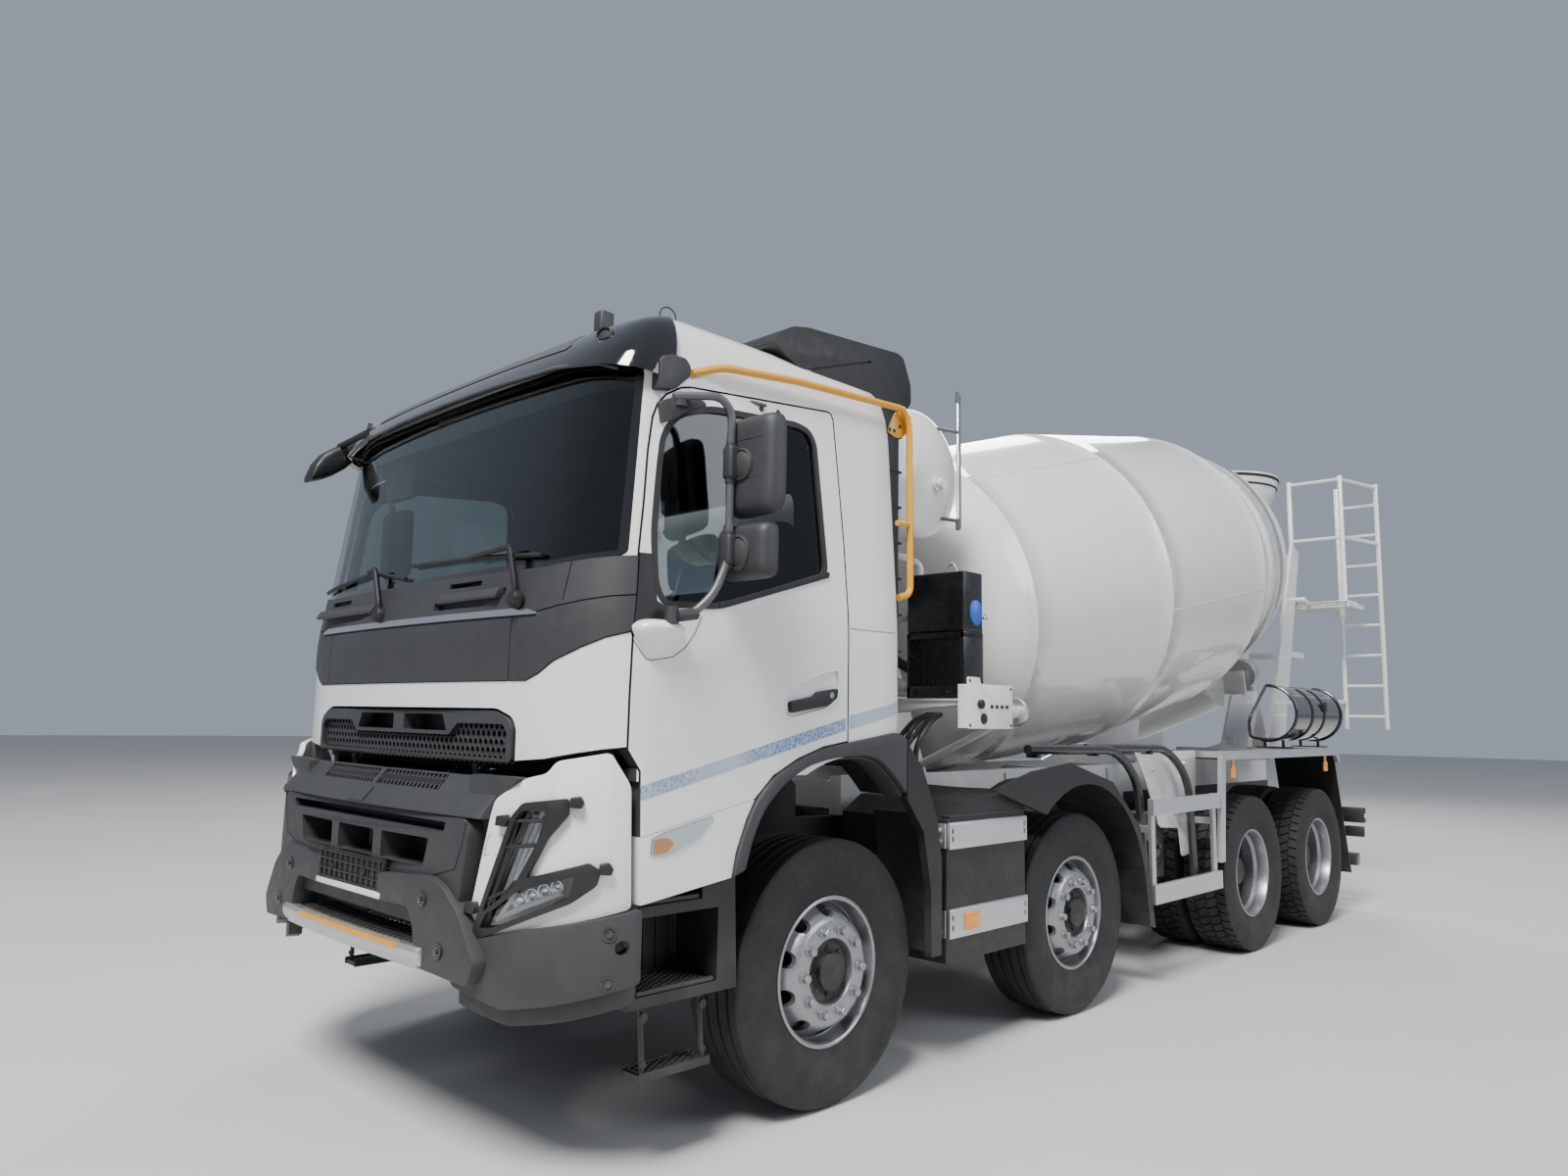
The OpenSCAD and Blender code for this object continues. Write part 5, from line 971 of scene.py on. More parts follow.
HANDLE_LINE = closed_round([(0.372, 1.560), (0.362, 1.640), (0.318, 1.682), (0.140, 1.740), (0.060, 1.752),
                            (0.052, 1.690), (0.060, 1.640), (0.130, 1.592), (0.330, 1.552)], 0.03)
LAMP_POCKET = closed_round([(1.018, 1.074), (1.016, 1.136), (0.960, 1.156), (0.745, 1.200), (0.728, 1.188),
                            (0.800, 1.118), (0.930, 1.070)], 0.012)


def add_doors():
    # The last three are the step panel's seam, the handle's recess and the side lamp's pocket
    cuts = [cab_form(-0.048, LOW - 0.05), prism(WINDOW_LINE, *SIDE_CUT), prism(CORNER_LINE, *OUTER_CUT),
            prism(HANDLE_LINE, 1.236, 1.4, "xz"),
            prism([(1.1, 1.132), (0.48, 1.256), (0.48, 1.2605), (1.1, 1.1365)], 1.239, 1.3, "xz"),
            prism(LAMP_POCKET, 1.236, 1.3, "xz")]
    door = combine(cab_form(0, LOW), [prism(DOOR_LINE, *SIDE_CUT)], "INTERSECT")
    both_sides_cab("door_panel", combine(door, cuts, "DIFFERENCE"), WHITE, "*_door", "door_*")
    for side in ("left", "right"):
        line_inside(bpy.data.objects[f"door_panel_{side}"])
    corner_cuts = [prism(inset(WINDOW_LINE, 0.004), *SIDE_CUT),
                   prism([(1.112, 1.8), (1.2, 1.8), (1.2, 2.2), (1.074, 2.2)], *SIDE_CUT)]
    both_sides_cab("door_corner", cab_skin(0.002, 0.03, prism(inset(CORNER_LINE, -0.002), *OUTER_CUT), corner_cuts),
                   BLACK_PLASTIC, "*_door")
    both_sides_cab("window_seal", cab_skin(0.003, 0.028, prism(inset(WINDOW_LINE, 0.014), *SIDE_CUT),
                                           [prism(inset(WINDOW_LINE, -0.010), *SIDE_CUT)]), SEAL, "*_door")
    both_sides_cab("window_pane", cab_skin(-0.008, 0.005, prism(WINDOW_LINE, *SIDE_CUT)), SIDE_GLASS, "*_door",
                   "door_glass_*")


def add_screen():
    cab_piece("windscreen_pane", cab_skin(-0.003, 0.006, prism(SCREEN_LINE, *SCREEN_CUT)), GLASS, "cab", "windscreen")
    cab_piece("windscreen_border", cab_skin(-0.001, 0.0015, prism(inset(SCREEN_LINE, -0.001), *SCREEN_CUT),
                                            [prism(inset(SCREEN_LINE, -0.022), 0.9, 1.5, "yz")]), GLOSS_BLACK, "cab")
    below_tint = [(-1.3, 1.9), (1.3, 1.9), (1.2, 2.735), (0.7, 2.715), (0.0, 2.705), (-0.7, 2.715), (-1.2, 2.735)]
    cab_piece("windscreen_tint", cab_skin(-0.0095, 0.002, prism(SCREEN_LINE, *SCREEN_CUT),
                                          [prism(below_tint, 0.9, 1.5, "yz")]), DARK_GLASS, "cab")


def add_front_panel():
    cuts = door_gaps()
    half = 0.0025
    for side in (1, -1):
        y = 0.772 * side
        cuts.append(prism([(y - half, 1.60), (y + half, 1.60), (y + half, 1.90), (y - half, 1.90)], 1.2, 1.5, "yz"))
        y = 1.03 * side
        cuts.append(prism([(y - half - 0.01 * side, 1.945), (y + half - 0.01 * side, 1.945), (y + half, 2.12),
                           (y - half, 2.12)], 1.0, 1.5, "yz"))
        line = [(0.90 * side, 1.908), (1.30 * side, 1.975), (1.30 * side, 1.980), (0.90 * side, 1.913)]
        cuts.append(prism(line, *PANEL_CUT))
    # Seam above the bonnet hatch
    cuts.append(prism([(-0.905, 1.896), (0.905, 1.896), (0.905, 1.899), (-0.905, 1.899)], 1.2, 1.5, "yz"))
    # Handholds and the slots over them
    handholds = ((0.21, 0.70), (-0.95, -0.33))
    for y0, y1 in handholds:
        grip = closed_round([(y0, 1.948), (y1 - 0.14, 1.948), (y1, 1.985), (y1, 2.012), (y0 + 0.12, 2.012),
                             (y0, 1.980)], 0.014)
        cuts.append(prism(grip, 1.285, 1.5, "yz"))
        slot = closed_round([(y0 + 0.09, 2.030), (y0 + 0.32, 2.030), (y0 + 0.32, 2.050), (y0 + 0.09, 2.050)], 0.004)
        cuts.append(prism(slot, 1.25, 1.5, "yz"))
    panel = cab_skin(0.005, 0.075, prism(inset(PANEL_LINE, -0.003), *PANEL_CUT), cuts)
    cab_piece("front_panel", panel, GREY_PLASTIC, "cab", "cab_trim")
    # Lips of the handholds
    bm = bmesh.new()
    x = CAB_FRONT - 0.045
    lip = [(x - 0.03, 1.978), (x + 0.035, 1.972), (x + 0.040, 1.980), (x + 0.022, 2.012), (x - 0.03, 2.016)]
    for y0, y1 in handholds:
        add_plate(bm, lip, y0 + 0.03, y1 - 0.02, "xz", 0.004, TRUCK)
    finish_piece("handhold_lips", bm, GREY_PLASTIC, "cab")
    chrome = closed_round([(-0.905, 1.902), (0.905, 1.902), (0.895, 1.912), (0.84, 1.927), (-0.84, 1.927),
                           (-0.895, 1.912)], 0.004)
    cab_piece("chrome_strip", cab_skin(0.012, 0.02, prism(chrome, 1.2, 1.5, "yz")), CHROME, "cab")


def lean_out(mesh):
    """Moves a visor's lower edge forwards, little by little from its top."""
    top, low, amount, back = 3.03, 2.80, 0.05, 0.4
    for vertex in mesh.vertices:
        down = min(1, max(0, (top - vertex.co.z) / (top - low)))
        vertex.co.x += amount * down ** 1.5 * min(1, max(0, (vertex.co.x - at(0.7, 0, 0).x) / back))


def add_visor():
    under = [(-1.215, 2.775), (-1.196, 2.787), (-1.05, 2.812), (-0.83, 2.838), (-0.40, 2.852), (0.0, 2.856),
             (0.40, 2.852), (0.83, 2.838), (1.05, 2.812), (1.196, 2.787), (1.215, 2.775)]
    edge = [(0.73, 3.2), (0.756, 3.003), (0.796, 2.958), (0.786, 2.938), (0.396, 2.950)]
    crown = [*edge, (-0.004, 2.954), *((-y, z) for y, z in reversed(edge))]
    back = prism([(-1.4, 0), (0.86, 0), (0.86, 4), (-1.4, 4)], -1.5, 1.5, "xz")
    top = cab_skin(0.030, 0.028, prism(crown, 0.80, 1.5, "yz"), [back])
    lean_out(top)
    # The visor's top takes the lightened grey, whose colour carries painted light
    cab_piece("visor_top", top, VISOR_GREY_WITH_PAINTED_LIGHT, "cab", "visor")
    low_line = [*under, (1.215, 3.15), (0.745, 3.15), (0.765, 3.00), (0.80, 2.950), (0.79, 2.932), (0.40, 2.944),
                (0.0, 2.948), (-0.40, 2.944), (-0.79, 2.932), (-0.80, 2.950), (-0.765, 3.00), (-0.745, 3.15),
                (-1.215, 3.15)]
    slanted_end = prism([(-1.4, 0), (0.935, 0), (0.935, 2.6), (0.90, 3.15), (0.86, 4), (-1.4, 4)], -1.5, 1.5, "xz")
    low = cab_skin(0.026, 0.026, prism(low_line, 0.85, 1.5, "yz"), [slanted_end, *door_gaps()])
    lean_out(low)
    cab_piece("visor_band", low, GLOSS_BLACK, "cab")
    # Thin lip along the lower edge, in the lightened visor grey that carries painted light
    bm = bmesh.new()
    add_tube(bm, [at(cab_surface(y, z) + 0.062, y, z + 0.002) for y, z in under[1:-1]], 0.007, 8)
    finish_piece("visor_lip", bm, VISOR_GREY_WITH_PAINTED_LIGHT, "cab")
    # Round lamps at both ends
    y, z = 0.99, 2.95
    for side, name in ((1, "left"), (-1, "right")):
        bm = bmesh.new()
        add_lathe(bm, [(0.036, -0.01), (0.036, 0.010), (0.032, 0.013), (0.028, 0.010), (0.027, 0.004), (0.0, 0.006)],
                  32, facing(at(cab_surface(y, z) + 0.036, y * side, z), (0.92, 0.35 * side, 0.16)))
        finish_piece(f"visor_lamp_{name}", bm, BLACK_PLASTIC, "cab")


def cab_surface(y, z):
    """How far forward the cab's form reaches at a place across and up it."""
    ring = cab_ring(z, 0.0)
    front = [(a, b) for a, b in ring if a > NOSE_PIVOT]
    for (x0, y0), (x1, y1) in zip(front, front[1:]):
        if y1 <= abs(y) <= y0:
            return x0 + (x1 - x0) * (y0 - abs(y)) / (y0 - y1) if y0 > y1 else x1
    return front[0][0]


def add_cab():
    add_shell()
    add_doors()
    add_screen()
    add_front_panel()
    add_visor()


add_cab()


# Front: grille, bumper, corner panels and headlamps
BUMPER_BEND = 0.05


def bend_back(mesh, amount=BUMPER_BEND):
    """Bends a piece that was drawn flat across the front, so that its ends lie further back."""
    for vertex in mesh.vertices:
        vertex.co.x -= amount * vertex.co.y ** 2


def plates(rows, bevel=0.006):
    """Plates in one mesh, in truck metres. Each row is (outline, low, high, axes)."""
    bm = bmesh.new()
    for outline, low, high, axes in rows:
        add_plate(bm, outline, low, high, axes, bevel, TRUCK)
    return mesh_of(bm, "plates")


def add_honeycomb(bm, inside, low, high, z_low, z_high, pitch, wall, place):
    """Hexagonal cells over an area; place(a, b, depth) gives where a point of the flat pattern goes."""
    radius = pitch / math.sqrt(3)
    hexagon = [math.radians(60 * k) for k in range(6)]
    row, b = 0, z_low
    while b < z_high:
        a = low + (pitch / 2 if row % 2 else 0)
        while a < high:
            if inside(a, b):
                skin(bm, [[bm.verts.new(place(a + r * math.sin(turn), b + r * math.cos(turn), depth))
                           for turn in hexagon]
                          for r, depth in ((radius * 1.001, 0.0), (radius - wall, 0.0), (radius - wall * 1.3, -0.016))],
                     False)
            a += pitch
        b += pitch * 0.866
        row += 1


def add_grille():
    half, top, bend = 0.815, 1.560, 0.035
    outer = closed_round([(-half, 1.378), (half, 1.378), (half, 1.50), (0.79, 1.533), (0.70, top), (-0.70, top),
                          (-0.79, 1.533), (-half, 1.50)], 0.02)
    mesh_line = [(-0.785, 1.392), (0.785, 1.392), (0.785, 1.485), (0.76, 1.513), (0.46, 1.513), (0.40, 1.468),
                 (-0.40, 1.468), (-0.46, 1.513), (-0.76, 1.513), (-0.785, 1.485)]
    cuts = [prism(closed_round(mesh_line, 0.012), 1.25, 1.4, "yz")]
    for side in (1, -1):
        cuts.append(prism(closed_round([(0.045 * side, 1.482), (0.385 * side, 1.482), (0.35 * side, 1.545),
                                        (0.045 * side, 1.545)], 0.008), 1.25, 1.4, "yz"))
    surround = cut_away(plates([(outer, 1.285, 1.337, "yz")], 0.005), cuts)
    bend_back(surround, bend)
    cab_piece("grille_surround", surround, GREY_PLASTIC, "cab")

    def inside(a, b):
        return 1.386 < b < 1.468 or (0.41 < abs(a) < 0.79 and b < 1.515)

    bm = bmesh.new()
    add_honeycomb(bm, inside, -0.80, 0.80, 1.388, 1.52, 0.034, 0.0062,
                  lambda a, b, d: at(1.318 + d - bend * a * a, a, b))
    thicken(finish_piece("grille_mesh", bm, GREY_PLASTIC, "cab"))
    # Dark radiator core behind
    bm = bmesh.new()
    add_box(bm, at(1.235, -0.80, 1.385), at(1.248, 0.80, 1.555), 0.002)
    for i in range(24):
        z = 1.39 + i * 0.0068
        add_box(bm, at(1.246, -0.78, z), at(1.256, 0.78, z + 0.0022))
    finish_piece("grille_core", bm, BLACK_PLASTIC, "cab")


# Plan of the front corner, from the bumper's end to the step well, and places along it
CORNER_PLAN = [(1.470, 0.55), (1.452, 0.70), (1.432, 0.79), (1.402, 0.88), (1.360, 0.975), (1.302, 1.075),
               (1.243, 1.145), (1.182, 1.195), (1.120, 1.225), (1.075, 1.237), (1.00, 1.243)]
CORNER_STEPS = [0.0]
for (x0, y0), (x1, y1) in zip(CORNER_PLAN, CORNER_PLAN[1:]):
    CORNER_STEPS.append(CORNER_STEPS[-1] + math.hypot(x1 - x0, y1 - y0))


def corner_at(s, z, depth=0.0):
    """A place on the front corner: s along its plan, and depth outwards from it."""
    s = min(max(s, 0.0), CORNER_STEPS[-1] - 1e-5)
    k = max(i for i, step in enumerate(CORNER_STEPS[:-1]) if step <= s)
    t = (s - CORNER_STEPS[k]) / (CORNER_STEPS[k + 1] - CORNER_STEPS[k])

    def normal(i):
        a = Vector(CORNER_PLAN[max(i - 1, 0)])
        b = Vector(CORNER_PLAN[min(i + 1, len(CORNER_PLAN) - 1)])
        return Vector(((b - a).y, -(b - a).x)).normalized()

    p = Vector(CORNER_PLAN[k]).lerp(Vector(CORNER_PLAN[k + 1]), t)
    n = normal(k).lerp(normal(k + 1), t).normalized()
    return at(p.x + n.x * depth, p.y + n.y * depth, z)


def corner_s(y=None, x=None):
    """How far along the corner's plan a place across, or along the truck, lies."""
    axis, value, sign = (1, y, 1) if x is None else (0, x, -1)
    for k in range(len(CORNER_PLAN) - 1):
        a, b = CORNER_PLAN[k][axis] * sign, CORNER_PLAN[k + 1][axis] * sign
        if a <= value * sign <= b:
            return CORNER_STEPS[k] + (CORNER_STEPS[k + 1] - CORNER_STEPS[k]) * (value * sign - a) / (b - a)
    return CORNER_STEPS[-1] if value * sign > b else 0.0


def flat_plate(outline, low, high, bevel=0.0):
    """A plate in the corner's flat pattern: X along the plan, Z up, Y outwards."""
    bm = bmesh.new()
    add_plate(bm, outline, low, high, "xz", bevel)
    return mesh_of(bm, "flat")


def fold(vertices):
    """Takes flat places, along the plan, outwards and up, round the front corner."""
    for vertex in vertices:
        vertex.co = corner_at(vertex.co.x, vertex.co.z, vertex.co.y)


def wrap(mesh):
    """Folds a flat pattern round the front corner."""
    cut_plate(mesh, 0, [k * 0.024 for k in range(1, 36)])
    bm = bmesh.new()
    bm.from_mesh(mesh)
    fold(bm.verts)
    bmesh.ops.recalc_face_normals(bm, faces=bm.faces)
    bm.to_mesh(mesh)
    bm.free()
    return mesh


def ring_wall(outline, thick, near, far):
    """A closed wall round an outline, between two depths."""
    bm = bmesh.new()
    wide = inset(outline, thick)
    loops = [[bm.verts.new((a, depth, b)) for a, b in line] for line, depth in
             ((outline, near), (outline, far), (wide, far), (wide, near))]
    skin(bm, loops + loops[:1], False)
    return mesh_of(bm)


def corner_line(points):
    return [(corner_s(y), z) for y, z in points]


def corner_bar(bm, start, end, steps, depth, radius):
    """A round bar over the front corner, between two places given across and up."""
    (y0, z0), (y1, z1) = start, end
    add_tube(bm, [corner_at(corner_s(y0 + (y1 - y0) * t), z0 + (z1 - z0) * t, depth) for t in steps], radius, 8)


PANEL_EDGE = [(1.198, 1.424), (1.079, 1.395), (1.050, 1.353), (0.982, 1.335), (0.878, 1.263), (0.861, 1.210),
              (0.786, 0.841), (0.800, 0.793)]
GUARD_EDGE = [(0.826, 0.818), (0.862, 0.806), (1.136, 0.937), (1.187, 0.993), (1.194, 1.040), (1.170, 1.066),
              (1.010, 1.012), (1.068, 1.139), (1.122, 1.222), (1.118, 1.275), (0.990, 1.256), (0.952, 1.208)]
UPPER_WINDOW = [(0.868, 0.893), (0.962, 0.968), (0.986, 1.010), (1.040, 1.130), (1.066, 1.242), (0.985, 1.228),
                (0.966, 1.195)]
LOWER_WINDOW = [(0.858, 0.838), (0.898, 0.842), (1.128, 0.952), (1.142, 1.024), (0.978, 0.966), (0.880, 0.888)]


LAMP_HOLE = closed_round(corner_line([(0.845, 0.830), (0.872, 0.822), (1.132, 0.945), (1.160, 1.035), (1.000, 0.985),
                                      (1.058, 1.140), (1.085, 1.250), (0.985, 1.240), (0.955, 1.200)]), 0.01)


def add_corner_panel():
    rear = corner_s(x=1.082)
    line = corner_line(PANEL_EDGE) + [(rear, 0.908), (corner_s(x=1.095), 1.314), (corner_s(x=1.16), 1.419)]
    panel = cut_away(flat_plate(closed_round(line, 0.02), -0.028, 0.0, 0.006), [flat_plate(LAMP_HOLE, -0.1, 0.1)])
    both_sides_cab("corner_panel", wrap(panel), WHITE, "chassis", "corner_panels")


def add_headlamp():
    """Bucket, wall and cover of the lamp, its light strips, and the reflectors of the low one."""
    bucket = flat_plate(inset(LAMP_HOLE, 0.012), -0.085, -0.055, 0.004)
    both_sides_cab("lamp_bucket", wrap(bucket), BLACK_PLASTIC, "chassis", "lamps")
    both_sides_cab("lamp_wall", wrap(ring_wall(LAMP_HOLE, 0.006, -0.080, -0.002)), BLACK_PLASTIC, "chassis")
    both_sides_cab("lamp_cover", wrap(flat_plate(inset(LAMP_HOLE, -0.001), -0.012, -0.007)), LAMP_GLASS, "chassis")
    bm = bmesh.new()
    quarters = (0, 0.25, 0.5, 0.75, 1)
    for start, end in (((0.893, 0.925), (1.005, 1.215)), ((0.915, 0.93), (1.030, 1.225)),
                       ((0.940, 0.950), (1.052, 1.228))):
        corner_bar(bm, start, end, quarters, -0.038, 0.0085)
    corner_bar(bm, (0.880, 0.862), (1.10, 0.962), quarters, -0.03, 0.010)
    corner_bar(bm, (0.888, 0.862), (0.950, 0.952), (0, 0.5, 1), -0.03, 0.008)
    on_both_sides("lamp_strips", bm, LAMP_WHITE, "chassis")
    bm = bmesh.new()
    for y, z, r in ((0.965, 0.925, 0.028), (1.005, 0.945, 0.024), (1.045, 0.962, 0.024), (1.085, 0.978, 0.022)):
        place = corner_at(corner_s(y), z, -0.054)
        add_lathe(bm, [(r, 0.0), (r, 0.022), (r * 0.93, 0.022), (r * 0.75, 0.008), (r * 0.45, 0.002), (0, 0.0)], 24,
                  facing(place, corner_at(corner_s(y), z, 0.0) - place))
    on_both_sides("lamp_reflectors", bm, CHROME, "chassis")


def add_lamp_guard():
    """Guard over the headlamp with its bars and clips."""
    windows = [flat_plate(closed_round(corner_line(line), 0.008), -0.1, 0.1) for line in (UPPER_WINDOW, LOWER_WINDOW)]
    guard = cut_away(flat_plate(closed_round(corner_line(GUARD_EDGE), 0.012), 0.002, 0.024, 0.006), windows)
    both_sides_cab("lamp_guard", wrap(guard), BLACK_PLASTIC, "chassis")
    bm = bmesh.new()
    for start, end in (((0.958, 1.196), (1.056, 1.199)), ((0.932, 1.108), (1.032, 1.118)),
                       ((0.880, 0.935), (0.990, 0.985)), ((0.975, 1.000), (0.940, 0.955)),
                       ((1.010, 1.224), (0.886, 0.915))):
        corner_bar(bm, start, end, (0, 0.33, 0.66, 1), 0.014, 0.0065)
    for y, z in ((0.920, 1.194), (1.138, 1.262), (1.200, 1.046), (0.815, 0.900)):
        s = corner_s(y)
        clip = flat_plate([(s - 0.022, z - 0.016), (s + 0.018, z - 0.02), (s + 0.026, z), (s + 0.014, z + 0.02),
                           (s - 0.018, z + 0.016)], -0.004, 0.03, 0.004)
        fold(clip.vertices)
        bm.from_mesh(clip)
    on_both_sides("lamp_guard_bars", bm, BLACK_PLASTIC, "chassis")
    # Thin lines of the washer cover on the panel
    bm = bmesh.new()
    loop = [(0.845, 1.075), (0.905, 1.079), (0.917, 1.145), (0.861, 1.141), (0.845, 1.075)]
    add_tube(bm, [corner_at(corner_s(y), z, 0.0) for y, z in loop], 0.0012, 5)
    on_both_sides("washer_seam", bm, SEAL, "chassis")


def tilt_room():
    """Room over the bumper for the grille's lower edge while the cab tilts."""
    return prism([(1.18, 1.258), (1.285, 1.260), (1.335, 1.296), (1.372, 1.326), (1.44, 1.370), (1.44, 1.45),
                  (1.18, 1.45)], -1.2, 1.2, "xz")


# Middle of the sloping top's mesh, the way down its slope, and the way out of it
MESH_X, MESH_Z = 1.404, 1.298
SLOPE = Vector((1.484 - 1.370, 0, 1.199 - 1.340)).normalized()
SLOPE_UP = Vector((-SLOPE.z, 0, SLOPE.x))


def mesh_pockets():
    """Cutters for the two mesh windows in the sloping top."""
    pockets = []
    for y0, y1 in ((-0.50, -0.02), (0.02, 0.50)):
        left, right = at(MESH_X, y0, MESH_Z), at(MESH_X, y1, MESH_Z)
        rim = [p + SLOPE * k for p, k in ((left, 0.034), (right, 0.034), (right, -0.034), (left, -0.034))]
        bm = bmesh.new()
        low = [bm.verts.new(p - SLOPE_UP * 0.03) for p in rim]
        high = [bm.verts.new(p + SLOPE_UP * 0.03) for p in rim]
        bm.faces.new(low)
        bm.faces.new(high)
        skin(bm, [low, high], False)
        pockets.append(mesh_of(bm))
    return pockets


def add_bumper_body():
    """Middle with its openings, sloping crown and the cheeks at both ends."""
    face = closed_round([(-0.745, 0.80), (0.745, 0.80), (0.805, 1.150), (0.778, 1.192), (-0.778, 1.192),
                         (-0.805, 1.150)], 0.02)
    crown = closed_round([(1.29, 1.194), (1.482, 1.194), (1.484, 1.199), (1.370, 1.340), (1.285, 1.347)], 0.008)
    cheek = closed_round([(0.70, 0.79), (0.775, 0.79), (0.862, 1.20), (0.880, 1.258), (0.985, 1.338), (0.70, 1.338)],
                         0.02)
    slot = closed_round([(-0.655, 1.138), (0.655, 1.138), (0.665, 1.172), (-0.665, 1.172)], 0.006)
    cuts = [prism(slot, 1.40, 1.55, "yz")]
    for y0, y1, slant0, slant1 in ((-0.56, -0.22, 0.03, 0), (-0.155, 0.155, 0, 0), (0.22, 0.56, 0, 0.03)):
        opening = closed_round([(y0 + slant0, 1.005), (y1 - slant1, 1.005), (y1, 1.108), (y0, 1.108)], 0.012)
        cuts.append(prism(opening, 1.34, 1.55, "yz"))
    top = cut_away(plates([(crown, -0.86, 0.86, "xz")], 0.006), [*mesh_pockets(), tilt_room()])
    cut_plate(top)
    bumper = cut_away(plates([(face, 1.30, 1.487, "yz")], 0.008), cuts)
    left = cut_away(plates([(cheek, 1.30, 1.425, "yz")], 0.01), [tilt_room()])
    for mesh in (bumper, top, left):
        bend_back(mesh)
    cab_piece("bumper_body", bumper, GREY_PLASTIC, "chassis", "bumper")
    cab_piece("bumper_crown", top, GREY_PLASTIC, "chassis")
    both_sides_cab("bumper_cheek", left, GREY_PLASTIC, "chassis")
    # Seam round the opening's bezel
    bm = bmesh.new()
    loop = [(0.792, 1.185), (0.770, 1.10), (0.735, 1.02), (0.56, 0.975), (-0.56, 0.975), (-0.735, 1.02),
            (-0.770, 1.10), (-0.792, 1.185)]
    add_tube(bm, [at(1.4875 - BUMPER_BEND * y * y, y, z) for y, z in subdivide(loop, 8)], 0.002, 6)
    finish_piece("bumper_seams", bm, SEAL, "chassis")


def add_bumper_mesh():
    """Honeycomb in the sloping top, with a dark block behind it as painted shade under the mesh."""
    bm = bmesh.new()
    add_honeycomb(bm, lambda a, b: abs(a) > 0.035, -0.49, 0.49, -0.022, 0.034, 0.030, 0.0055,
                  lambda a, b, d: (at(MESH_X, a, MESH_Z) + SLOPE * -b + SLOPE_UP * (d - 0.003)
                                   - Vector((BUMPER_BEND * a * a, 0, 0))))
    thicken(finish_piece("bumper_mesh", bm, GREY_PLASTIC, "chassis"))
    # Dark block under each mesh window: painted shade for the hollow behind the mesh
    bm = bmesh.new()
    for y0, y1 in ((-0.497, -0.023), (0.023, 0.497)):
        add_tube(bm, [at(MESH_X - BUMPER_BEND * y * y, y, MESH_Z) - SLOPE_UP * 0.024
                      for y in (y0, (y0 + y1) / 2, y1)], 0.032, 4)
    finish_piece("bumper_mesh_painted_shade", bm, SEAL, "chassis")


def add_bumper_inside():
    """Black wall seen through the openings as painted shade for the bumper's inside, louvre bars and the cover of the
    towing eye.
    """
    bm = bmesh.new()
    # Black wall behind the openings: painted shade for the hollow inside the bumper
    add_box(bm, at(1.315, -0.70, 0.98), at(1.345, 0.70, 1.18), 0.004)
    for y in (-0.19, 0.19):
        add_box(bm, at(1.34, y - 0.014, 0.99), at(1.40, y + 0.014, 1.12), 0.004)
    add_tube(bm, [at(1.37, -0.10, 1.02), at(1.37, -0.10, 1.11)], 0.012, 12)
    add_disc(bm, at(1.345, 0.05, 1.03), (1, 0, 0), 0.03, 0.02)
    finish_piece("bumper_inside", bm, BLACK_PLASTIC, "chassis")
    bm = bmesh.new()
    add_box(bm, (-0.065, -0.035, -0.002), (0.065, 0.035, 0.006), 0.003, facing(at(1.460, -0.03, 1.229), SLOPE_UP))
    finish_piece("towing_eye_cover", bm, GREY_PLASTIC, "chassis")


def add_plate_holder():
    """A black tray with ribs, and a plain white strip below."""
    bm = bmesh.new()
    add_box(bm, at(1.482, -0.275, 0.885), at(1.500, 0.285, 1.005), 0.004)
    for i in range(12):
        y = -0.262 + i * 0.0475
        add_box(bm, at(1.499, y, 0.893), at(1.506, y + 0.008, 0.998), 0.002)
    for z in (0.893, 0.925, 0.962, 0.992):
        add_box(bm, at(1.499, -0.268, z), at(1.507, 0.278, z + 0.006), 0.002)
    for y in (-0.13, 0.14):
        add_bolt(bm, at(1.504, y, 0.945), (1, 0, 0), 0.008)
    finish_piece("plate_tray", bm, BLACK_PLASTIC, "chassis")
    bm = bmesh.new()
    add_box(bm, at(1.486, -0.278, 0.865), at(1.512, 0.288, 0.888), 0.004)
    finish_piece("plate_strip", bm, WHITE, "chassis")


def add_cup(bm, place, out, radius):
    """A shallow cup that a bolt's head sits in."""
    add_lathe(bm, [(radius, 0.0), (radius, 0.004), (radius - 0.006, 0.006), (radius - 0.009, 0.002), (0.0, 0.002)], 24,
              facing(place, out))


def add_guard_arms():
    """Arms of the lower guard with their bolts."""
    arm = closed_round([(0.262, 0.962), (0.622, 0.986), (0.700, 0.960), (0.800, 0.885), (0.905, 0.735), (0.870, 0.655),
                        (0.560, 0.672), (0.522, 0.813), (0.486, 0.866), (0.262, 0.862)], 0.022)
    arm = plates([(arm, 1.40, 1.512, "yz")], 0.014)
    bend_back(arm)
    both_sides_cab("bumper_arm", arm, GREY_PLASTIC, "chassis")
    bm = bmesh.new()
    for y, z in ((0.585, 0.905), (0.700, 0.745)):
        add_cup(bm, at(1.512 - BUMPER_BEND * y * y, y, z), (1, 0, 0), 0.026)
        add_bolt(bm, at(1.514 - BUMPER_BEND * y * y, y, z), (1, 0, 0), 0.010)
    on_both_sides("bumper_arm_bolts", bm, BLACK_PAINT, "chassis")


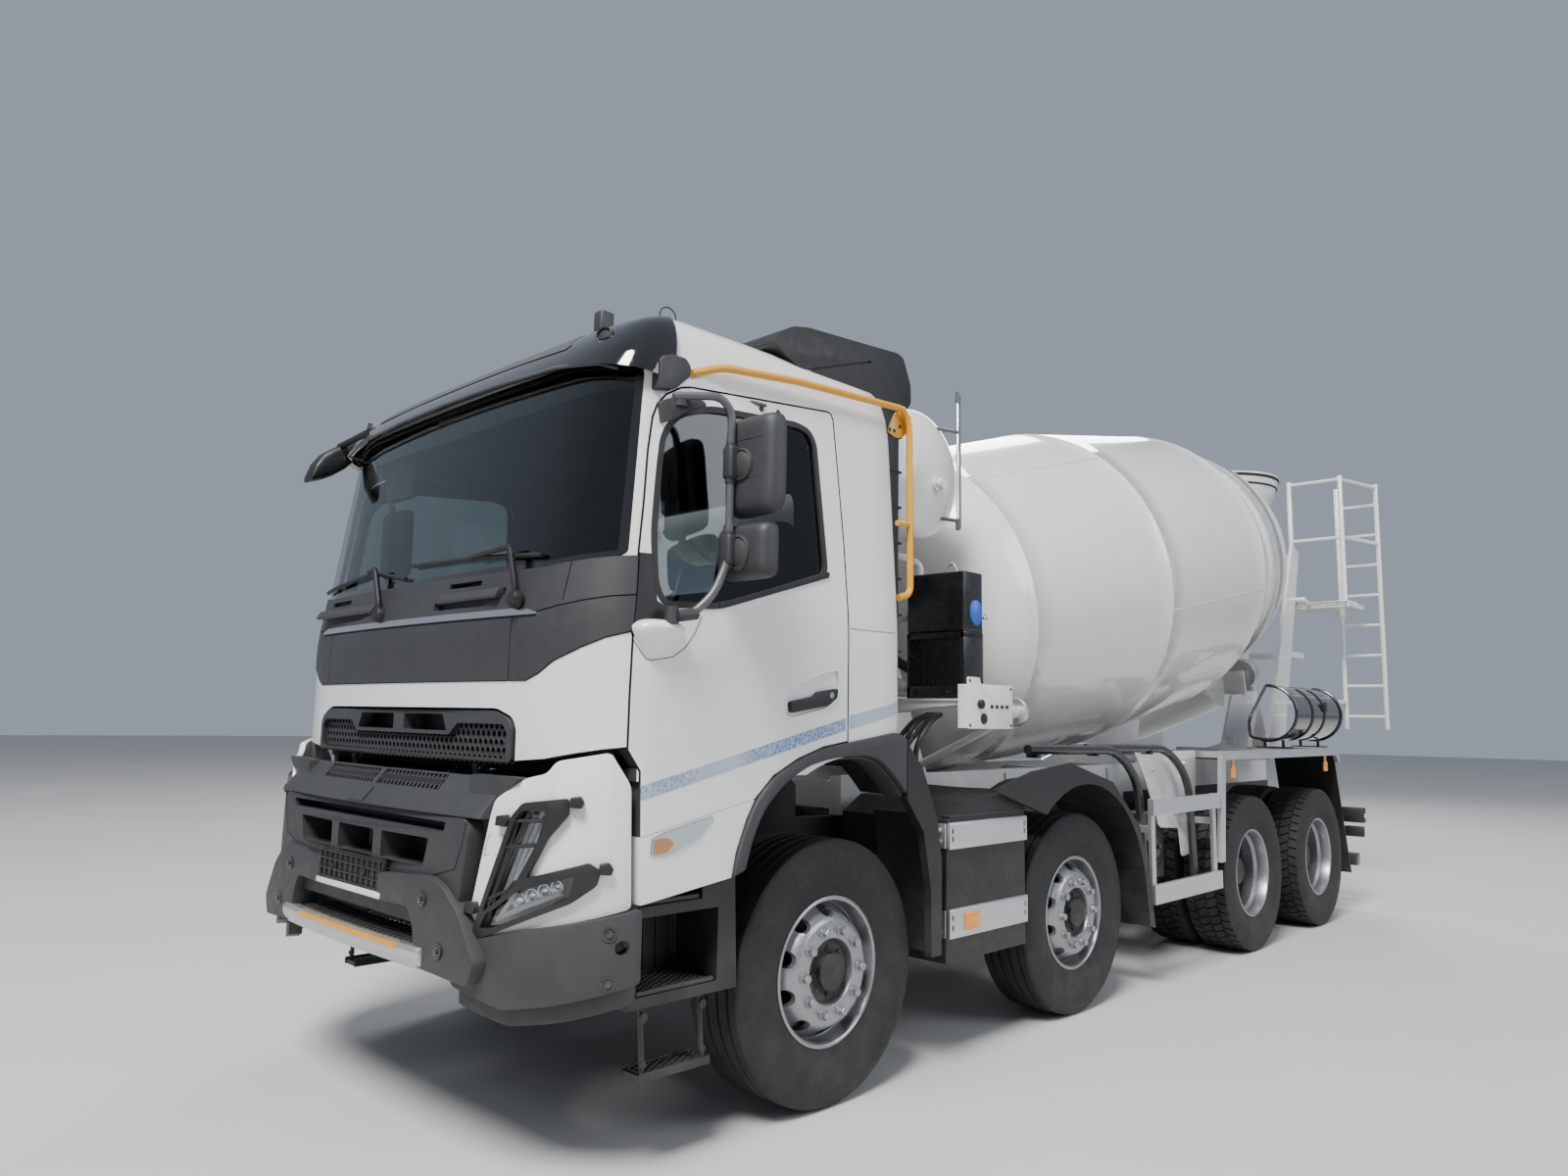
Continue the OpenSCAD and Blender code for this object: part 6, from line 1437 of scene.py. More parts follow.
def add_front_step():
    """Honeycomb tread, silver skid in front, a yellow strip, and the low black panels behind."""
    bm = bmesh.new()
    add_honeycomb(bm, lambda a, b: abs(a) < 0.50, -0.50, 0.50, 0.0, 0.13, 0.038, 0.006,
                  lambda a, b, d: at(1.36 + b - BUMPER_BEND * a * a, a, 0.742 + d))
    add_box(bm, at(1.33, -0.54, 0.700), at(1.50, 0.54, 0.722), 0.004)
    finish_piece("step_tread", bm, GREY_PLASTIC, "chassis")
    skid = [(1.47, 0.735), (1.515, 0.742), (1.530, 0.730), (1.528, 0.700), (1.500, 0.660), (1.46, 0.650)]
    strip = [(1.505, 0.741), (1.5315, 0.733), (1.5335, 0.722), (1.510, 0.742)]
    for name, outline, y0, y1, bevel, paint, replaced in (("step_skid", skid, -0.60, 0.60, 0.006, STEEL, "bumper_step"),
                                                          ("step_strip", strip, -0.40, 0.45, 0.0, YELLOW, None)):
        mesh = plates([(outline, y0, y1, "xz")], bevel)
        cut_plate(mesh)
        bend_back(mesh)
        cab_piece(name, mesh, paint, "chassis", replaced)
    bm = bmesh.new()
    for y0, y1 in ((-0.48, -0.04), (0.0, 0.24), (0.27, 0.47)):
        add_box(bm, at(1.36, y0, 0.765), at(1.40, y1, 0.865), 0.006)
    finish_piece("step_back", bm, BLACK_PLASTIC, "chassis")


def subdivide(points, parts):
    out = []
    for a, b in zip(points, points[1:]):
        out += [tuple(a[i] + (b[i] - a[i]) * k / parts for i in range(len(a))) for k in range(parts)]
    return out + [tuple(points[-1])]


WIDTH_CUTS = [k * 0.1 for k in range(-12, 13)]


def cut_plate(mesh, axis=1, places=WIDTH_CUTS):
    """Adds cuts across a long piece so that it can be bent."""
    bm = bmesh.new()
    bm.from_mesh(mesh)
    way = [int(axis == k) for k in range(3)]
    for place in places:
        bmesh.ops.bisect_plane(bm, geom=bm.verts[:] + bm.edges[:] + bm.faces[:], plane_co=[place * w for w in way],
                               plane_no=way)
    bm.to_mesh(mesh)
    bm.free()


def thicken(piece, thickness=0.002):
    piece.modifiers.new("thick", "SOLIDIFY").thickness = thickness


def add_low_corner():
    start, end = corner_s(0.745), corner_s(x=1.052)
    top = [(start, 0.758), (corner_s(0.81), 0.795), (corner_s(1.0), 0.842), (end, 0.910)]
    bottom = [(end, 0.672), (corner_s(1.1), 0.612), (corner_s(0.95), 0.585), (start, 0.640)]
    shell = flat_plate(closed_round(top + bottom, 0.018), -0.03, 0.022, 0.012)
    bm = bmesh.new()
    for y, z, r in ((0.809, 0.726, 0.020), (1.226, 0.791, 0.024)):
        add_lathe(bm, [(0, -0.1), (r, -0.1), (r, 0.1), (0, 0.1)], 24, facing((corner_s(y), 0, z), (0, 1, 0)))
    both_sides_cab("low_corner", wrap(cut_away(shell, [mesh_of(bm)])), GREY_PLASTIC, "chassis")
    # Chin that turns under
    chin_line = [(start, 0.650), (corner_s(0.95), 0.600), (corner_s(1.1), 0.622), (end, 0.680), (end, 0.600),
                 (corner_s(1.1), 0.548), (corner_s(0.95), 0.525), (start, 0.572)]
    chin = wrap(flat_plate(closed_round(chin_line, 0.012), -0.075, -0.02, 0.01))
    both_sides_cab("low_chin", chin, GREY_PLASTIC, "chassis")
    bm = bmesh.new()
    for x, z in ((1.155, 0.838), (1.155, 0.680)):
        s = corner_s(x=x)
        place, out = corner_at(s, z, 0.022), corner_at(s, z, 0.1) - corner_at(s, z, 0.0)
        add_cup(bm, place, out, 0.024)
        add_bolt(bm, place + out.normalized() * 0.002, out, 0.009)
    on_both_sides("low_corner_bolts", bm, BLACK_PAINT, "chassis")


add_grille()
add_corner_panel()
add_headlamp()
add_lamp_guard()
add_bumper_body()
add_bumper_mesh()
add_bumper_inside()
add_plate_holder()
add_guard_arms()
add_front_step()
add_low_corner()


# Side of the cab: handles, stripe, lamps, mirrors, rail and what stands on the roof
def cab_side(x, z):
    """How far out the cab's form reaches at a place along and up it."""
    ring = cab_ring(z, 0.0)
    for (x0, y0), (x1, y1) in zip(ring, ring[1:]):
        if min(x0, x1) <= x <= max(x0, x1) and y1 > 0.4 and x1 != x0:
            return y0 + (y1 - y0) * (x - x0) / (x1 - x0)
    return ring[8][1]


def stripe_material():
    made = material("stripe", (0.40, 0.45, 0.54), 0.3, coat=0.6, shade=0.05, patch=14)
    tree = made.node_tree
    shader = tree.nodes["Principled BSDF"]
    base = shader.inputs["Base Color"].links[0].from_socket
    place = tree.nodes.new("ShaderNodeTexCoord")
    cells = tree.nodes.new("ShaderNodeTexVoronoi")
    cells.feature = "DISTANCE_TO_EDGE"
    cells.inputs["Scale"].default_value = 46
    link(tree, place.outputs[COORDINATES], cells.inputs["Vector"])
    edge = ramp(tree, cells.outputs["Distance"], 0.02, 0.14)
    patchy = ramp(tree, noise(tree, 1.6, 1), 0.44, 0.56, 0.1, 1.0)
    strength = multiply(tree, edge, patchy)
    link(tree, blend_colour(tree, strength, base, (0.15, 0.23, 0.40)), shader.inputs["Base Color"])
    return made


STRIPE = stripe_material()


def add_door_details():
    grip = closed_round([(0.351, 1.614), (0.345, 1.571), (0.129, 1.604), (0.076, 1.636), (0.072, 1.674), (0.190, 1.658),
                         (0.212, 1.640)], 0.012)
    both_sides_cab("door_grip", plates([(grip, 1.226, 1.256, "xz")], 0.006), BLACK_PLASTIC, "*_door")
    bm = bmesh.new()
    add_disc(bm, at(0.112, 1.254, 1.646), (0, 1, 0), 0.013, 0.004)
    on_both_sides("door_lock", bm, CHROME, "*_door")
    bm = bmesh.new()
    rim = subdivide([*HANDLE_LINE, HANDLE_LINE[0]], 2)
    add_tube(bm, [at(x, 1.2445, z) for x, z in rim], 0.0035, 8)
    on_both_sides("handle_rim", bm, WHITE, "*_door")
    # Reflecting stripes
    front = [(1.062, 1.267), (1.065, 1.315), (0.012, 1.555), (0.012, 1.504)]
    rear = [(-0.011, 1.566), (-0.363, 1.633), (-0.367, 1.583), (-0.012, 1.509)]
    both_sides_cab("stripe_door", cab_skin(0.0012, 0.004, prism(front, *OUTER_CUT)), STRIPE, "*_door")
    both_sides_cab("stripe_cab", cab_skin(0.0012, 0.004, prism(rear, *OUTER_CUT)), STRIPE, "cab")
    # Side lamp in its pocket
    both_sides_cab("side_lamp_back", cab_skin(-0.004, 0.004, prism(LAMP_POCKET, 1.1, 1.3, "xz")), LAMP_WHITE, "*_door")
    both_sides_cab("side_lamp_lens", cab_skin(0.003, 0.003, prism(inset(LAMP_POCKET, -0.002), 1.1, 1.3, "xz")),
                   LAMP_GLASS, "*_door")
    lens = closed_round([(1.001, 1.132), (1.005, 1.081), (0.942, 1.084), (0.912, 1.115), (0.947, 1.135)], 0.01)
    both_sides_cab("side_lamp_bulb", cab_skin(-0.001, 0.003, prism(lens, 1.1, 1.3, "xz")), ORANGE, "*_door")
    # Bar under the window, and two screws above it
    bm = bmesh.new()
    sill = [(0.118, 2.128), (0.110, 2.152), (0.140, 2.150), (0.420, 2.064), (0.735, 1.970), (0.728, 1.950),
            (0.418, 2.042)]
    add_plate(bm, sill, 0, 0.010, "xz", 0.003)
    for vertex in bm.verts:
        depth = vertex.co.y
        vertex.co = at(vertex.co.x, cab_side(vertex.co.x, vertex.co.z) + depth - 0.003, vertex.co.z)
    on_both_sides("window_sill", bm, SEAL, "*_door")
    bm = bmesh.new()
    for x, z in ((0.479, 2.773), (0.383, 2.781)):
        add_disc(bm, at(x, cab_side(x, z) - 0.002, z), (0, 1, 0.08), 0.011, 0.006)
    on_both_sides("window_screws", bm, BLACK_PLASTIC, "*_door")
    # Seam round the mirror's foot
    seam = [(1.120, 1.859), (1.110, 1.812), (1.063, 1.747), (1.040, 1.742), (0.946, 1.758), (0.890, 1.794),
            (0.846, 1.850), (0.815, 1.912)]
    bm = bmesh.new()
    add_tube(bm, [at(x, cab_side(x, z) + 0.0005, z) for x, z in subdivide(seam, 6)], 0.0016, 5)
    on_both_sides("mirror_seam", bm, SEAL, "*_door")


def add_mirror_foot():
    """White cover that the mirror's arm stands on, pointed below and flat on top."""
    rows = [(1.752, 1.044, 1.062, 0.006), (1.766, 1.008, 1.070, 0.018), (1.786, 0.966, 1.082, 0.032),
            (1.812, 0.934, 1.098, 0.048), (1.836, 0.910, 1.113, 0.061), (1.850, 0.902, 1.118, 0.066),
            (1.858, 0.904, 1.117, 0.067), (1.868, 0.914, 1.106, 0.063), (1.878, 0.932, 1.090, 0.050),
            (1.884, 0.955, 1.070, 0.030)]
    sunk = 0.012
    bm = bmesh.new()
    rings = []
    for z, x0, x1, out in rows:
        ring = []
        for a in (math.pi * k / 18 for k in range(19)):
            x = (x0 + x1) / 2 + (x1 - x0) / 2 * math.cos(a)
            y = cab_side(min(x, 1.05), z) - sunk + (out + sunk) * math.sin(a) ** 0.75
            ring.append(bm.verts.new(at(x, y, z)))
        rings.append(ring)
    skin(bm, rings)
    on_both_sides("mirror_foot", bm, WHITE, "*_door", 50)


def signed_power(value, power):
    return math.copysign(abs(value) ** power, value)


def add_head(bm, y, z, half_y, half_z, x_rear, x_front):
    """A mirror's housing: flat at the rear and rounded over in front."""
    depth, sharp = x_front - x_rear, 7
    rings = []
    for t, cut in ((0.0, 0.010), (0.04, 0.002), (0.12, 0.0), (0.45, 0.002), (0.70, 0.008), (0.86, 0.018), (0.95, 0.032),
                   (0.99, 0.055), (1.0, 0.085)):
        power = 2 / (sharp - 18 * cut)
        rings.append([bm.verts.new(at(x_rear + depth * t, y + (half_y - cut) * signed_power(math.cos(a), power),
                                      z + (half_z - cut) * signed_power(math.sin(a), power))) for a in circle(56)])
    skin(bm, rings)


def add_mirror_heads(heads):
    """Housings with their seams and glass. Each row of heads is (y, z, half width, half height)."""
    bm = bmesh.new()
    for head in heads:
        add_head(bm, *head, 0.692, 0.768)
    left, right = on_both_sides("mirror_head", bm, GREY_PLASTIC, "*_door", 40)
    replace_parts(left, "mirrors_left")
    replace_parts(right, "mirrors_right")
    bm = bmesh.new()
    y, z, half_y, half_z = heads[0]
    for level in (2.552, 2.408):
        add_tube(bm, [at(0.7665, y - half_y * 0.9 + 0.04, level), at(0.7685, y, level),
                      at(0.7665, y + half_y * 0.9 - 0.04, level)], 0.0016, 6)
    add_tube(bm, [at(0.7565, y - half_y + 0.012, z - half_z + 0.05),
                  at(0.7565, y - half_y + 0.012, z + half_z - 0.05)], 0.0016, 6)
    on_both_sides("mirror_seams", bm, SEAL, "*_door")
    bm = bmesh.new()
    for y, z, half_y, half_z in heads:
        y0, y1, z0, z1 = y - half_y + 0.012, y + half_y - 0.012, z - half_z + 0.012, z + half_z - 0.012
        add_plate(bm, closed_round([(y0, z0), (y1, z0), (y1, z1), (y0, z1)], 0.03), 0.6905, 0.694, "yz", 0.0, TRUCK)
    on_both_sides("mirror_glass", bm, MIRROR_GLASS, "*_door")


def add_mirrors():
    arm_y, arm_x = HALF_WIDTH + 0.105, 0.786
    heads = ((HALF_WIDTH + 0.170, 2.462, 0.132, 0.186), (HALF_WIDTH + 0.133, 2.148, 0.136, 0.1025))
    bm = bmesh.new()
    add_tube(bm, [at(0.985, HALF_WIDTH + 0.012, 2.694), at(0.93, HALF_WIDTH + 0.050, 2.700),
                  at(arm_x + 0.055, arm_y, 2.706), at(arm_x, arm_y, 2.66), at(arm_x, arm_y, 2.12),
                  at(arm_x + 0.060, arm_y - 0.006, 1.985), at(0.915, HALF_WIDTH + 0.070, 1.912),
                  at(0.985, HALF_WIDTH + 0.062, 1.895)], 0.0155, 16, 0.05)
    on_both_sides("mirror_arm", bm, ARM_GREY, "*_door")
    add_mirror_heads(heads)
    # Domes on the heads, clamps round the arm and its two feet
    bm = bmesh.new()
    for y, z, r in ((heads[0][0] - 0.030, 2.462, 0.062), (heads[1][0] - 0.004, 2.140, 0.066)):
        add_lathe(bm, [(r, -0.02), (r, 0.004), (r * 0.95, 0.010), (r * 0.86, 0.012), (r * 0.80, 0.007),
                       (r * 0.76, 0.008), (r * 0.6, 0.014), (0, 0.017)], 36, facing(at(0.766, y, z), (1, 0, 0)))
    for z, tall in ((2.470, 0.062), (2.150, 0.055)):
        add_box(bm, at(arm_x - 0.03, arm_y - 0.024, z - tall), at(arm_x + 0.024, arm_y + 0.026, z + tall), 0.012,
                segments=3)
        add_tube(bm, [at(arm_x, arm_y, z - tall - 0.012), at(arm_x, arm_y, z + tall + 0.012)], 0.020, 16)
    add_tube(bm, [at(0.905, HALF_WIDTH + 0.074, 1.910), at(0.985, HALF_WIDTH + 0.064, 1.896)], 0.021, 16)
    add_tube(bm, [at(0.996, HALF_WIDTH + 0.050, 1.870), at(0.996, HALF_WIDTH + 0.050, 1.930)], 0.024, 18)
    block = closed_round([(1.007, 2.683), (0.923, 2.704), (0.847, 2.706), (0.832, 2.690), (0.946, 2.634),
                          (0.999, 2.598)], 0.01)
    add_plate(bm, block, 1.19, HALF_WIDTH + 0.020, "xz", 0.008, TRUCK)
    add_tube(bm, [at(0.955, HALF_WIDTH + 0.01, 2.66), at(0.955, HALF_WIDTH + 0.012, 2.706)], 0.030, 18)
    on_both_sides("mirror_clamps", bm, GREY_PLASTIC, "*_door")


def add_front_mirror():
    """Mirror that hangs over the front of the cab's right end."""
    rows = [(1.061, 2.860, 2.934), (1.10, 2.825, 2.925), (1.16, 2.760, 2.898), (1.22, 2.715, 2.860),
            (1.27, 2.688, 2.822), (1.305, 2.676, 2.770), (1.325, 2.670, 2.705)]
    bm = bmesh.new()
    skin(bm, [[bm.verts.new(at(x, -1.150 + 0.052 * signed_power(math.cos(a), 0.5),
                               (z0 + z1) / 2 + (z1 - z0) / 2 * signed_power(math.sin(a), 0.6))) for a in circle(24)]
              for x, z0, z1 in rows])
    add_tube(bm, [at(1.185, -1.14, 2.875), at(1.190, -1.0, 2.878), at(1.205, -0.79, 2.878)], 0.016, 12, 0.03)
    finish_piece("front_mirror", bm, BLACK_PLASTIC, "cab", 50)


def add_rail():
    """Grab rail at the roof's left edge, down the cab's rear corner, with its bracket, plate and bolts."""
    bm = bmesh.new()
    bracket = closed_round([(1.024, 2.722), (1.016, 2.840), (0.975, 2.862), (0.904, 2.864), (0.878, 2.838),
                            (0.881, 2.800), (0.949, 2.735)], 0.012)
    add_plate(bm, bracket, 1.155, 1.222, "xz", 0.012, TRUCK, 3)
    finish_piece("rail_bracket", bm, GREY_PLASTIC, "cab")
    bm = bmesh.new()
    plate = closed_round([(-0.399, 2.962), (-0.515, 2.966), (-0.500, 2.90), (-0.455, 2.852), (-0.400, 2.838),
                          (-0.340, 2.856), (-0.366, 2.913)], 0.014)
    add_plate(bm, plate, 1.170, 1.178, "xz", 0.002, TRUCK)
    finish_piece("rail_plate", bm, YELLOW, "cab")
    bm = bmesh.new()
    for x, z in ((-0.385, 2.868), (-0.352, 2.868), (-0.425, 2.895)):
        add_disc(bm, at(x, 1.177, z), (0, 1, 0), 0.009, 0.003)
    finish_piece("rail_bolts", bm, BLACK_PLASTIC, "cab")
    bm = bmesh.new()
    y = HALF_WIDTH - 0.045
    add_tube(bm, [at(0.860, y, 2.822), at(0.700, y, 2.885), at(0.284, y, 2.932), at(-0.430, y, 2.974),
                  at(-0.470, y, 2.900), at(-0.478, y, 2.118), at(-0.392, y, 2.095)], 0.0158, 16, 0.05)
    add_tube(bm, [at(-0.474, y, 2.44), at(-0.380, y, 2.435)], 0.013, 10)
    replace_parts(finish_piece("grab_rail_tube", bm, YELLOW, "cab"), "grab_rail")


def add_roof():
    """Air intake behind the cab's left side, and small parts on the roof."""
    side = [(0.342, 3.110), (0.300, 3.160), (0.222, 3.212), (0.120, 3.235), (-0.30, 3.268), (-0.50, 3.285),
            (-0.545, 3.27), (-0.600, 3.15), (-0.604, 3.06), (-0.56, 3.013), (0.119, 3.012)]
    form = plates([(closed_round(side, 0.02), 0.702, 1.108, "xz")], 0.026)
    intake = combine(form, [cab_form(0.001)], "DIFFERENCE")
    seam = [(0.16, 3.02), (0.14, 3.028), (-0.30, 3.185), (-0.30, 3.195), (0.17, 3.032)]
    intake = cut_away(intake, [prism(seam, 1.098, 1.2, "xz")])
    cab_piece("intake_head", intake, BLACK_PLASTIC, "cab", "air_intake", 35)
    bm = bmesh.new()
    add_box(bm, at(-0.556, 0.806, 1.702), at(-0.396, 1.086, 3.05), 0.03, segments=3)
    for i in range(7):
        z = 1.86 + i * 0.17
        add_box(bm, at(-0.5595, 0.84, z), at(-0.392, 1.0895, z + 0.012), 0.004)
    finish_piece("intake_duct", bm, BLACK_PLASTIC, "cab")
    bm = bmesh.new()
    for i in range(9):
        z = 3.075 + i * 0.018
        add_box(bm, at(-0.607, 0.76, z), at(-0.585, 1.05, z + 0.008), 0.002)
    finish_piece("intake_slats", bm, BLACK_PLASTIC, "cab")
    bm = bmesh.new()
    add_box(bm, at(0.79, 0.565, 3.09), at(0.88, 0.635, 3.135), 0.008)
    add_box(bm, at(0.80, 0.57, 3.12), at(0.87, 0.63, 3.225), 0.012, segments=3)
    finish_piece("roof_box", bm, GREY_PLASTIC, "cab")
    bm = bmesh.new()
    loop = [at(0.575 + 0.045 * math.cos(a), 0.70, 3.255 + 0.042 * math.sin(a)) for a in
            (math.radians(-80 + 340 * k / 28) for k in range(29))]
    add_tube(bm, loop, 0.0035, 8)
    add_tube(bm, [at(0.583, 0.70, 3.12), at(0.583, 0.70, 3.214)], 0.005, 8)
    finish_piece("roof_loop", bm, BLACK_PLASTIC, "cab")


def add_wipers():
    # Each row is the arm's path from its hub, and the blade's ends and middle
    wipers = (([(1.318, 0.80, 1.955), (1.316, 0.795, 2.01), (1.306, 0.735, 2.145), (1.300, 0.712, 2.160)],
               [(1.262, 0.885, 2.118), (1.306, 0.463, 2.144), (1.313, -0.041, 2.155)]),
              ([(1.335, -0.25, 1.955), (1.334, -0.255, 2.01), (1.316, -0.345, 2.150), (1.312, -0.365, 2.165)],
               [(1.322, -0.08, 2.103), (1.312, -0.424, 2.157), (1.252, -1.008, 2.113)]))
    bm, blades = bmesh.new(), bmesh.new()
    for arm, blade in wipers:
        add_tube(bm, [at(*p) for p in arm], 0.017, 10, 0.03, 0.7)
        hub = at(arm[0][0] - 0.015, *arm[0][1:])
        add_lathe(bm, [(0.034, 0), (0.034, 0.02), (0.026, 0.034), (0.0, 0.036)], 24, facing(hub, (1, 0, 0.25)))
        tip, joint = arm[-1], Vector(blade[1])
        add_tube(bm, [at(*tip), at(*((Vector(tip) + joint) / 2)), at(*joint)], 0.010, 8)
        # The blade lies just in front of the glass
        points = [at(cab_surface(min(abs(y), 1.15), z) + 0.012, y, z) for _, y, z in subdivide(blade, 10)]
        add_tube(blades, points, 0.009, 8)
        add_tube(bm, points[2:-2], 0.0065, 6)
    finish_piece("wiper_arms", bm, BLACK_PLASTIC, "cab")
    finish_piece("wiper_blades", blades, SEAL, "cab")


def add_steering_wheel():
    wheel = Matrix.Translation(at(0.790, 0.600, 2.015)) @ Matrix.Rotation(math.radians(-32), 4, "Y")
    bm = bmesh.new()
    add_tube(bm, [wheel @ Vector((0.215 * math.cos(a), 0.215 * math.sin(a), 0)) for a in circle(48, 1)], 0.0148, 12)
    for a in (90, 210, 330):
        out = Vector((math.cos(math.radians(a)), math.sin(math.radians(a)), 0))
        add_tube(bm, [wheel @ (out * 0.04), wheel @ (out * 0.13 + Vector((0, 0, -0.006))), wheel @ (out * 0.212)],
                 0.014, 10, 0, 0.5)
    add_lathe(bm, [(0.058, -0.012), (0.062, 0.004), (0.052, 0.016), (0.03, 0.020), (0, 0.021)], 32, wheel)
    add_tube(bm, [at(0.96, 0.60, 1.75), wheel @ Vector((0, 0, -0.012))], 0.034, 16)
    finish_piece("steering_wheel", bm, BLACK_PLASTIC, "cab")


def add_inside():
    """What shows behind the glass: sensor housing, mirror, steering wheel and dashboard top."""
    bm = bmesh.new()
    add_box(bm, at(1.095, -0.23, 2.735), at(1.150, 0.07, 2.865), 0.025, segments=3)
    add_box(bm, at(1.14, -0.16, 2.77), at(1.165, 0.00, 2.83), 0.012)
    finish_piece("sensor_housing", bm, BLACK_PLASTIC, "cab")
    bm = bmesh.new()
    add_box(bm, at(1.075, -0.76, 2.54), at(1.11, -0.47, 2.73), 0.03, segments=3)
    add_tube(bm, [at(1.09, -0.61, 2.72), at(1.09, -0.61, 2.80)], 0.010, 8)
    finish_piece("inside_mirror", bm, BLACK_PLASTIC, "cab")
    add_steering_wheel()
    side = closed_round([(0.930, 1.702), (0.900, 1.850), (0.960, 1.922), (1.275, 1.927), (1.285, 1.702)], 0.03)
    board = combine(plates([(side, -1.078, 1.078, "xz")], 0.0), [cab_form(-WALL - 0.001)], "INTERSECT")
    vents = [closed_round([(y0, 1.76), (y1, 1.76), (y1, 1.86), (y0, 1.86)], 0.01)
             for y0, y1 in ((-0.95, -0.55), (-0.30, 0.15))]
    board = cut_away(board, [prism(vent, 0.85, 0.925, "yz") for vent in vents])
    cab_piece("dashboard_top", board, BLACK_PLASTIC, "cab", "dashboard")


add_door_details()
add_mirror_foot()
add_mirrors()
add_front_mirror()
add_rail()
add_roof()
add_wipers()
add_inside()


def add_cushion(bm, matrix, half, channels=()):
    """A crowned pad with its sides pulled in between the corners and sewn channels across its face."""
    made = bmesh.ops.create_cube(bm, size=2)
    edges = list({e for v in made["verts"] for e in v.link_edges})
    before = set(bm.verts) - set(made["verts"])
    bmesh.ops.subdivide_edges(bm, edges=edges, cuts=15, use_grid_fill=True)
    for vertex in set(bm.verts) - before:
        x, y, z = vertex.co
        size = max(abs(x), abs(y))
        corner = size / max(1e-6, (abs(x) ** 6 + abs(y) ** 6) ** (1 / 6))
        x, y = x * corner * (1 - 0.045 * (1 - y * y)), y * corner * (1 - 0.045 * (1 - x * x))
        crown = 0.58 + 0.42 * math.sqrt(max(0, (1 - x ** 4) * (1 - y ** 4)))
        side = 1 - 0.035 * z * z
        sewn = sum(math.exp(-((y - c) / 0.045) ** 2) for c in channels) * (1 - x ** 8) * max(0, z)
        sewn += math.exp(-((max(abs(x), abs(y)) - 0.80) / 0.03) ** 2) * 0.6 * max(0, z)
        vertex.co = matrix @ Vector((x * half[0] * side, y * half[1] * side, (z * crown - 0.15 * sewn) * half[2]))


def add_seats():
    """Two seats: padded cushions and backs on shells and boxed feet."""
    for side, name in ((1, "left"), (-1, "right")):
        y = 0.60 * side
        bm = bmesh.new()
        add_cushion(bm, Matrix.Translation(at(0.205, y, 1.765)), (0.250, 0.245, 0.066), (-0.42, 0.0, 0.42))
        pad = finish_piece(f"seat_pad_{name}", bm, FABRIC, "cab", 80)
        bm = bmesh.new()
        # Local X runs up the back, and local Z towards its face
        up, face = Vector((-0.182, 0, 0.983)), Vector((0.983, 0, 0.182))
        turn = Matrix((up, face.cross(up), face)).transposed().to_4x4()
        add_cushion(bm, Matrix.Translation(at(-0.038, y, 2.145)) @ turn, (0.322, 0.240, 0.050), (-0.42, 0.0, 0.42))
        back = finish_piece(f"seat_back_{name}", bm, FABRIC, "cab", 80)
        for piece in (pad, back):
            finer = piece.modifiers.new("finer", "SUBSURF")
            finer.levels = finer.render_levels = 1
    bm = bmesh.new()
    for side in (1, -1):
        y = 0.60 * side
        shell = closed_round([(-0.012, 1.73), (-0.118, 2.38), (-0.148, 2.38), (-0.048, 1.73)], 0.008)
        add_plate(bm, shell, y - 0.215, y + 0.215, "xz", 0.006, TRUCK)
        add_box(bm, at(-0.02, y - 0.235, 1.655), at(0.44, y + 0.235, 1.705), 0.02, segments=3)
        for k in range(4):
            add_box(bm, at(0.02 + 0.012 * (k % 2), y - 0.17 + 0.010 * (k % 2), 1.425 + 0.056 * k),
                    at(0.34 - 0.012 * (k % 2), y + 0.17 - 0.010 * (k % 2), 1.481 + 0.056 * k), 0.014)
        add_box(bm, at(0.0, y - 0.178, 1.387), at(0.348, y + 0.178, 1.425), 0.008)
        add_box(bm, at(0.10, y + 0.205 * side, 1.70), at(0.20, y + 0.235 * side, 1.76), 0.010)
    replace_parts(finish_piece("seat_frames", bm, BLACK_PLASTIC, "cab"), "seats")


add_seats()


# Under the cab and along the side: flare, steps, battery box, fenders, guards and lamps
FLARE_OUTER = [(0.637, 0.975), (0.617, 1.061), (0.569, 1.171), (0.520, 1.251), (0.430, 1.329), (0.293, 1.392),
               (0.149, 1.435), (-0.069, 1.464), (-0.329, 1.500), (-0.410, 1.451), (-0.492, 1.341)]
FLARE_INNER = [(0.580, 0.995), (0.545, 1.109), (0.482, 1.215), (0.376, 1.304), (0.236, 1.367), (0.087, 1.394),
               (-0.102, 1.401), (-0.202, 1.379), (-0.304, 1.303), (-0.410, 1.203)]
MAT_BLACK = material("matt_black", (0.030, 0.031, 0.034), 0.6, shade=0.08, grain=(900, 0.0005), dust=(0.10, 1.1))


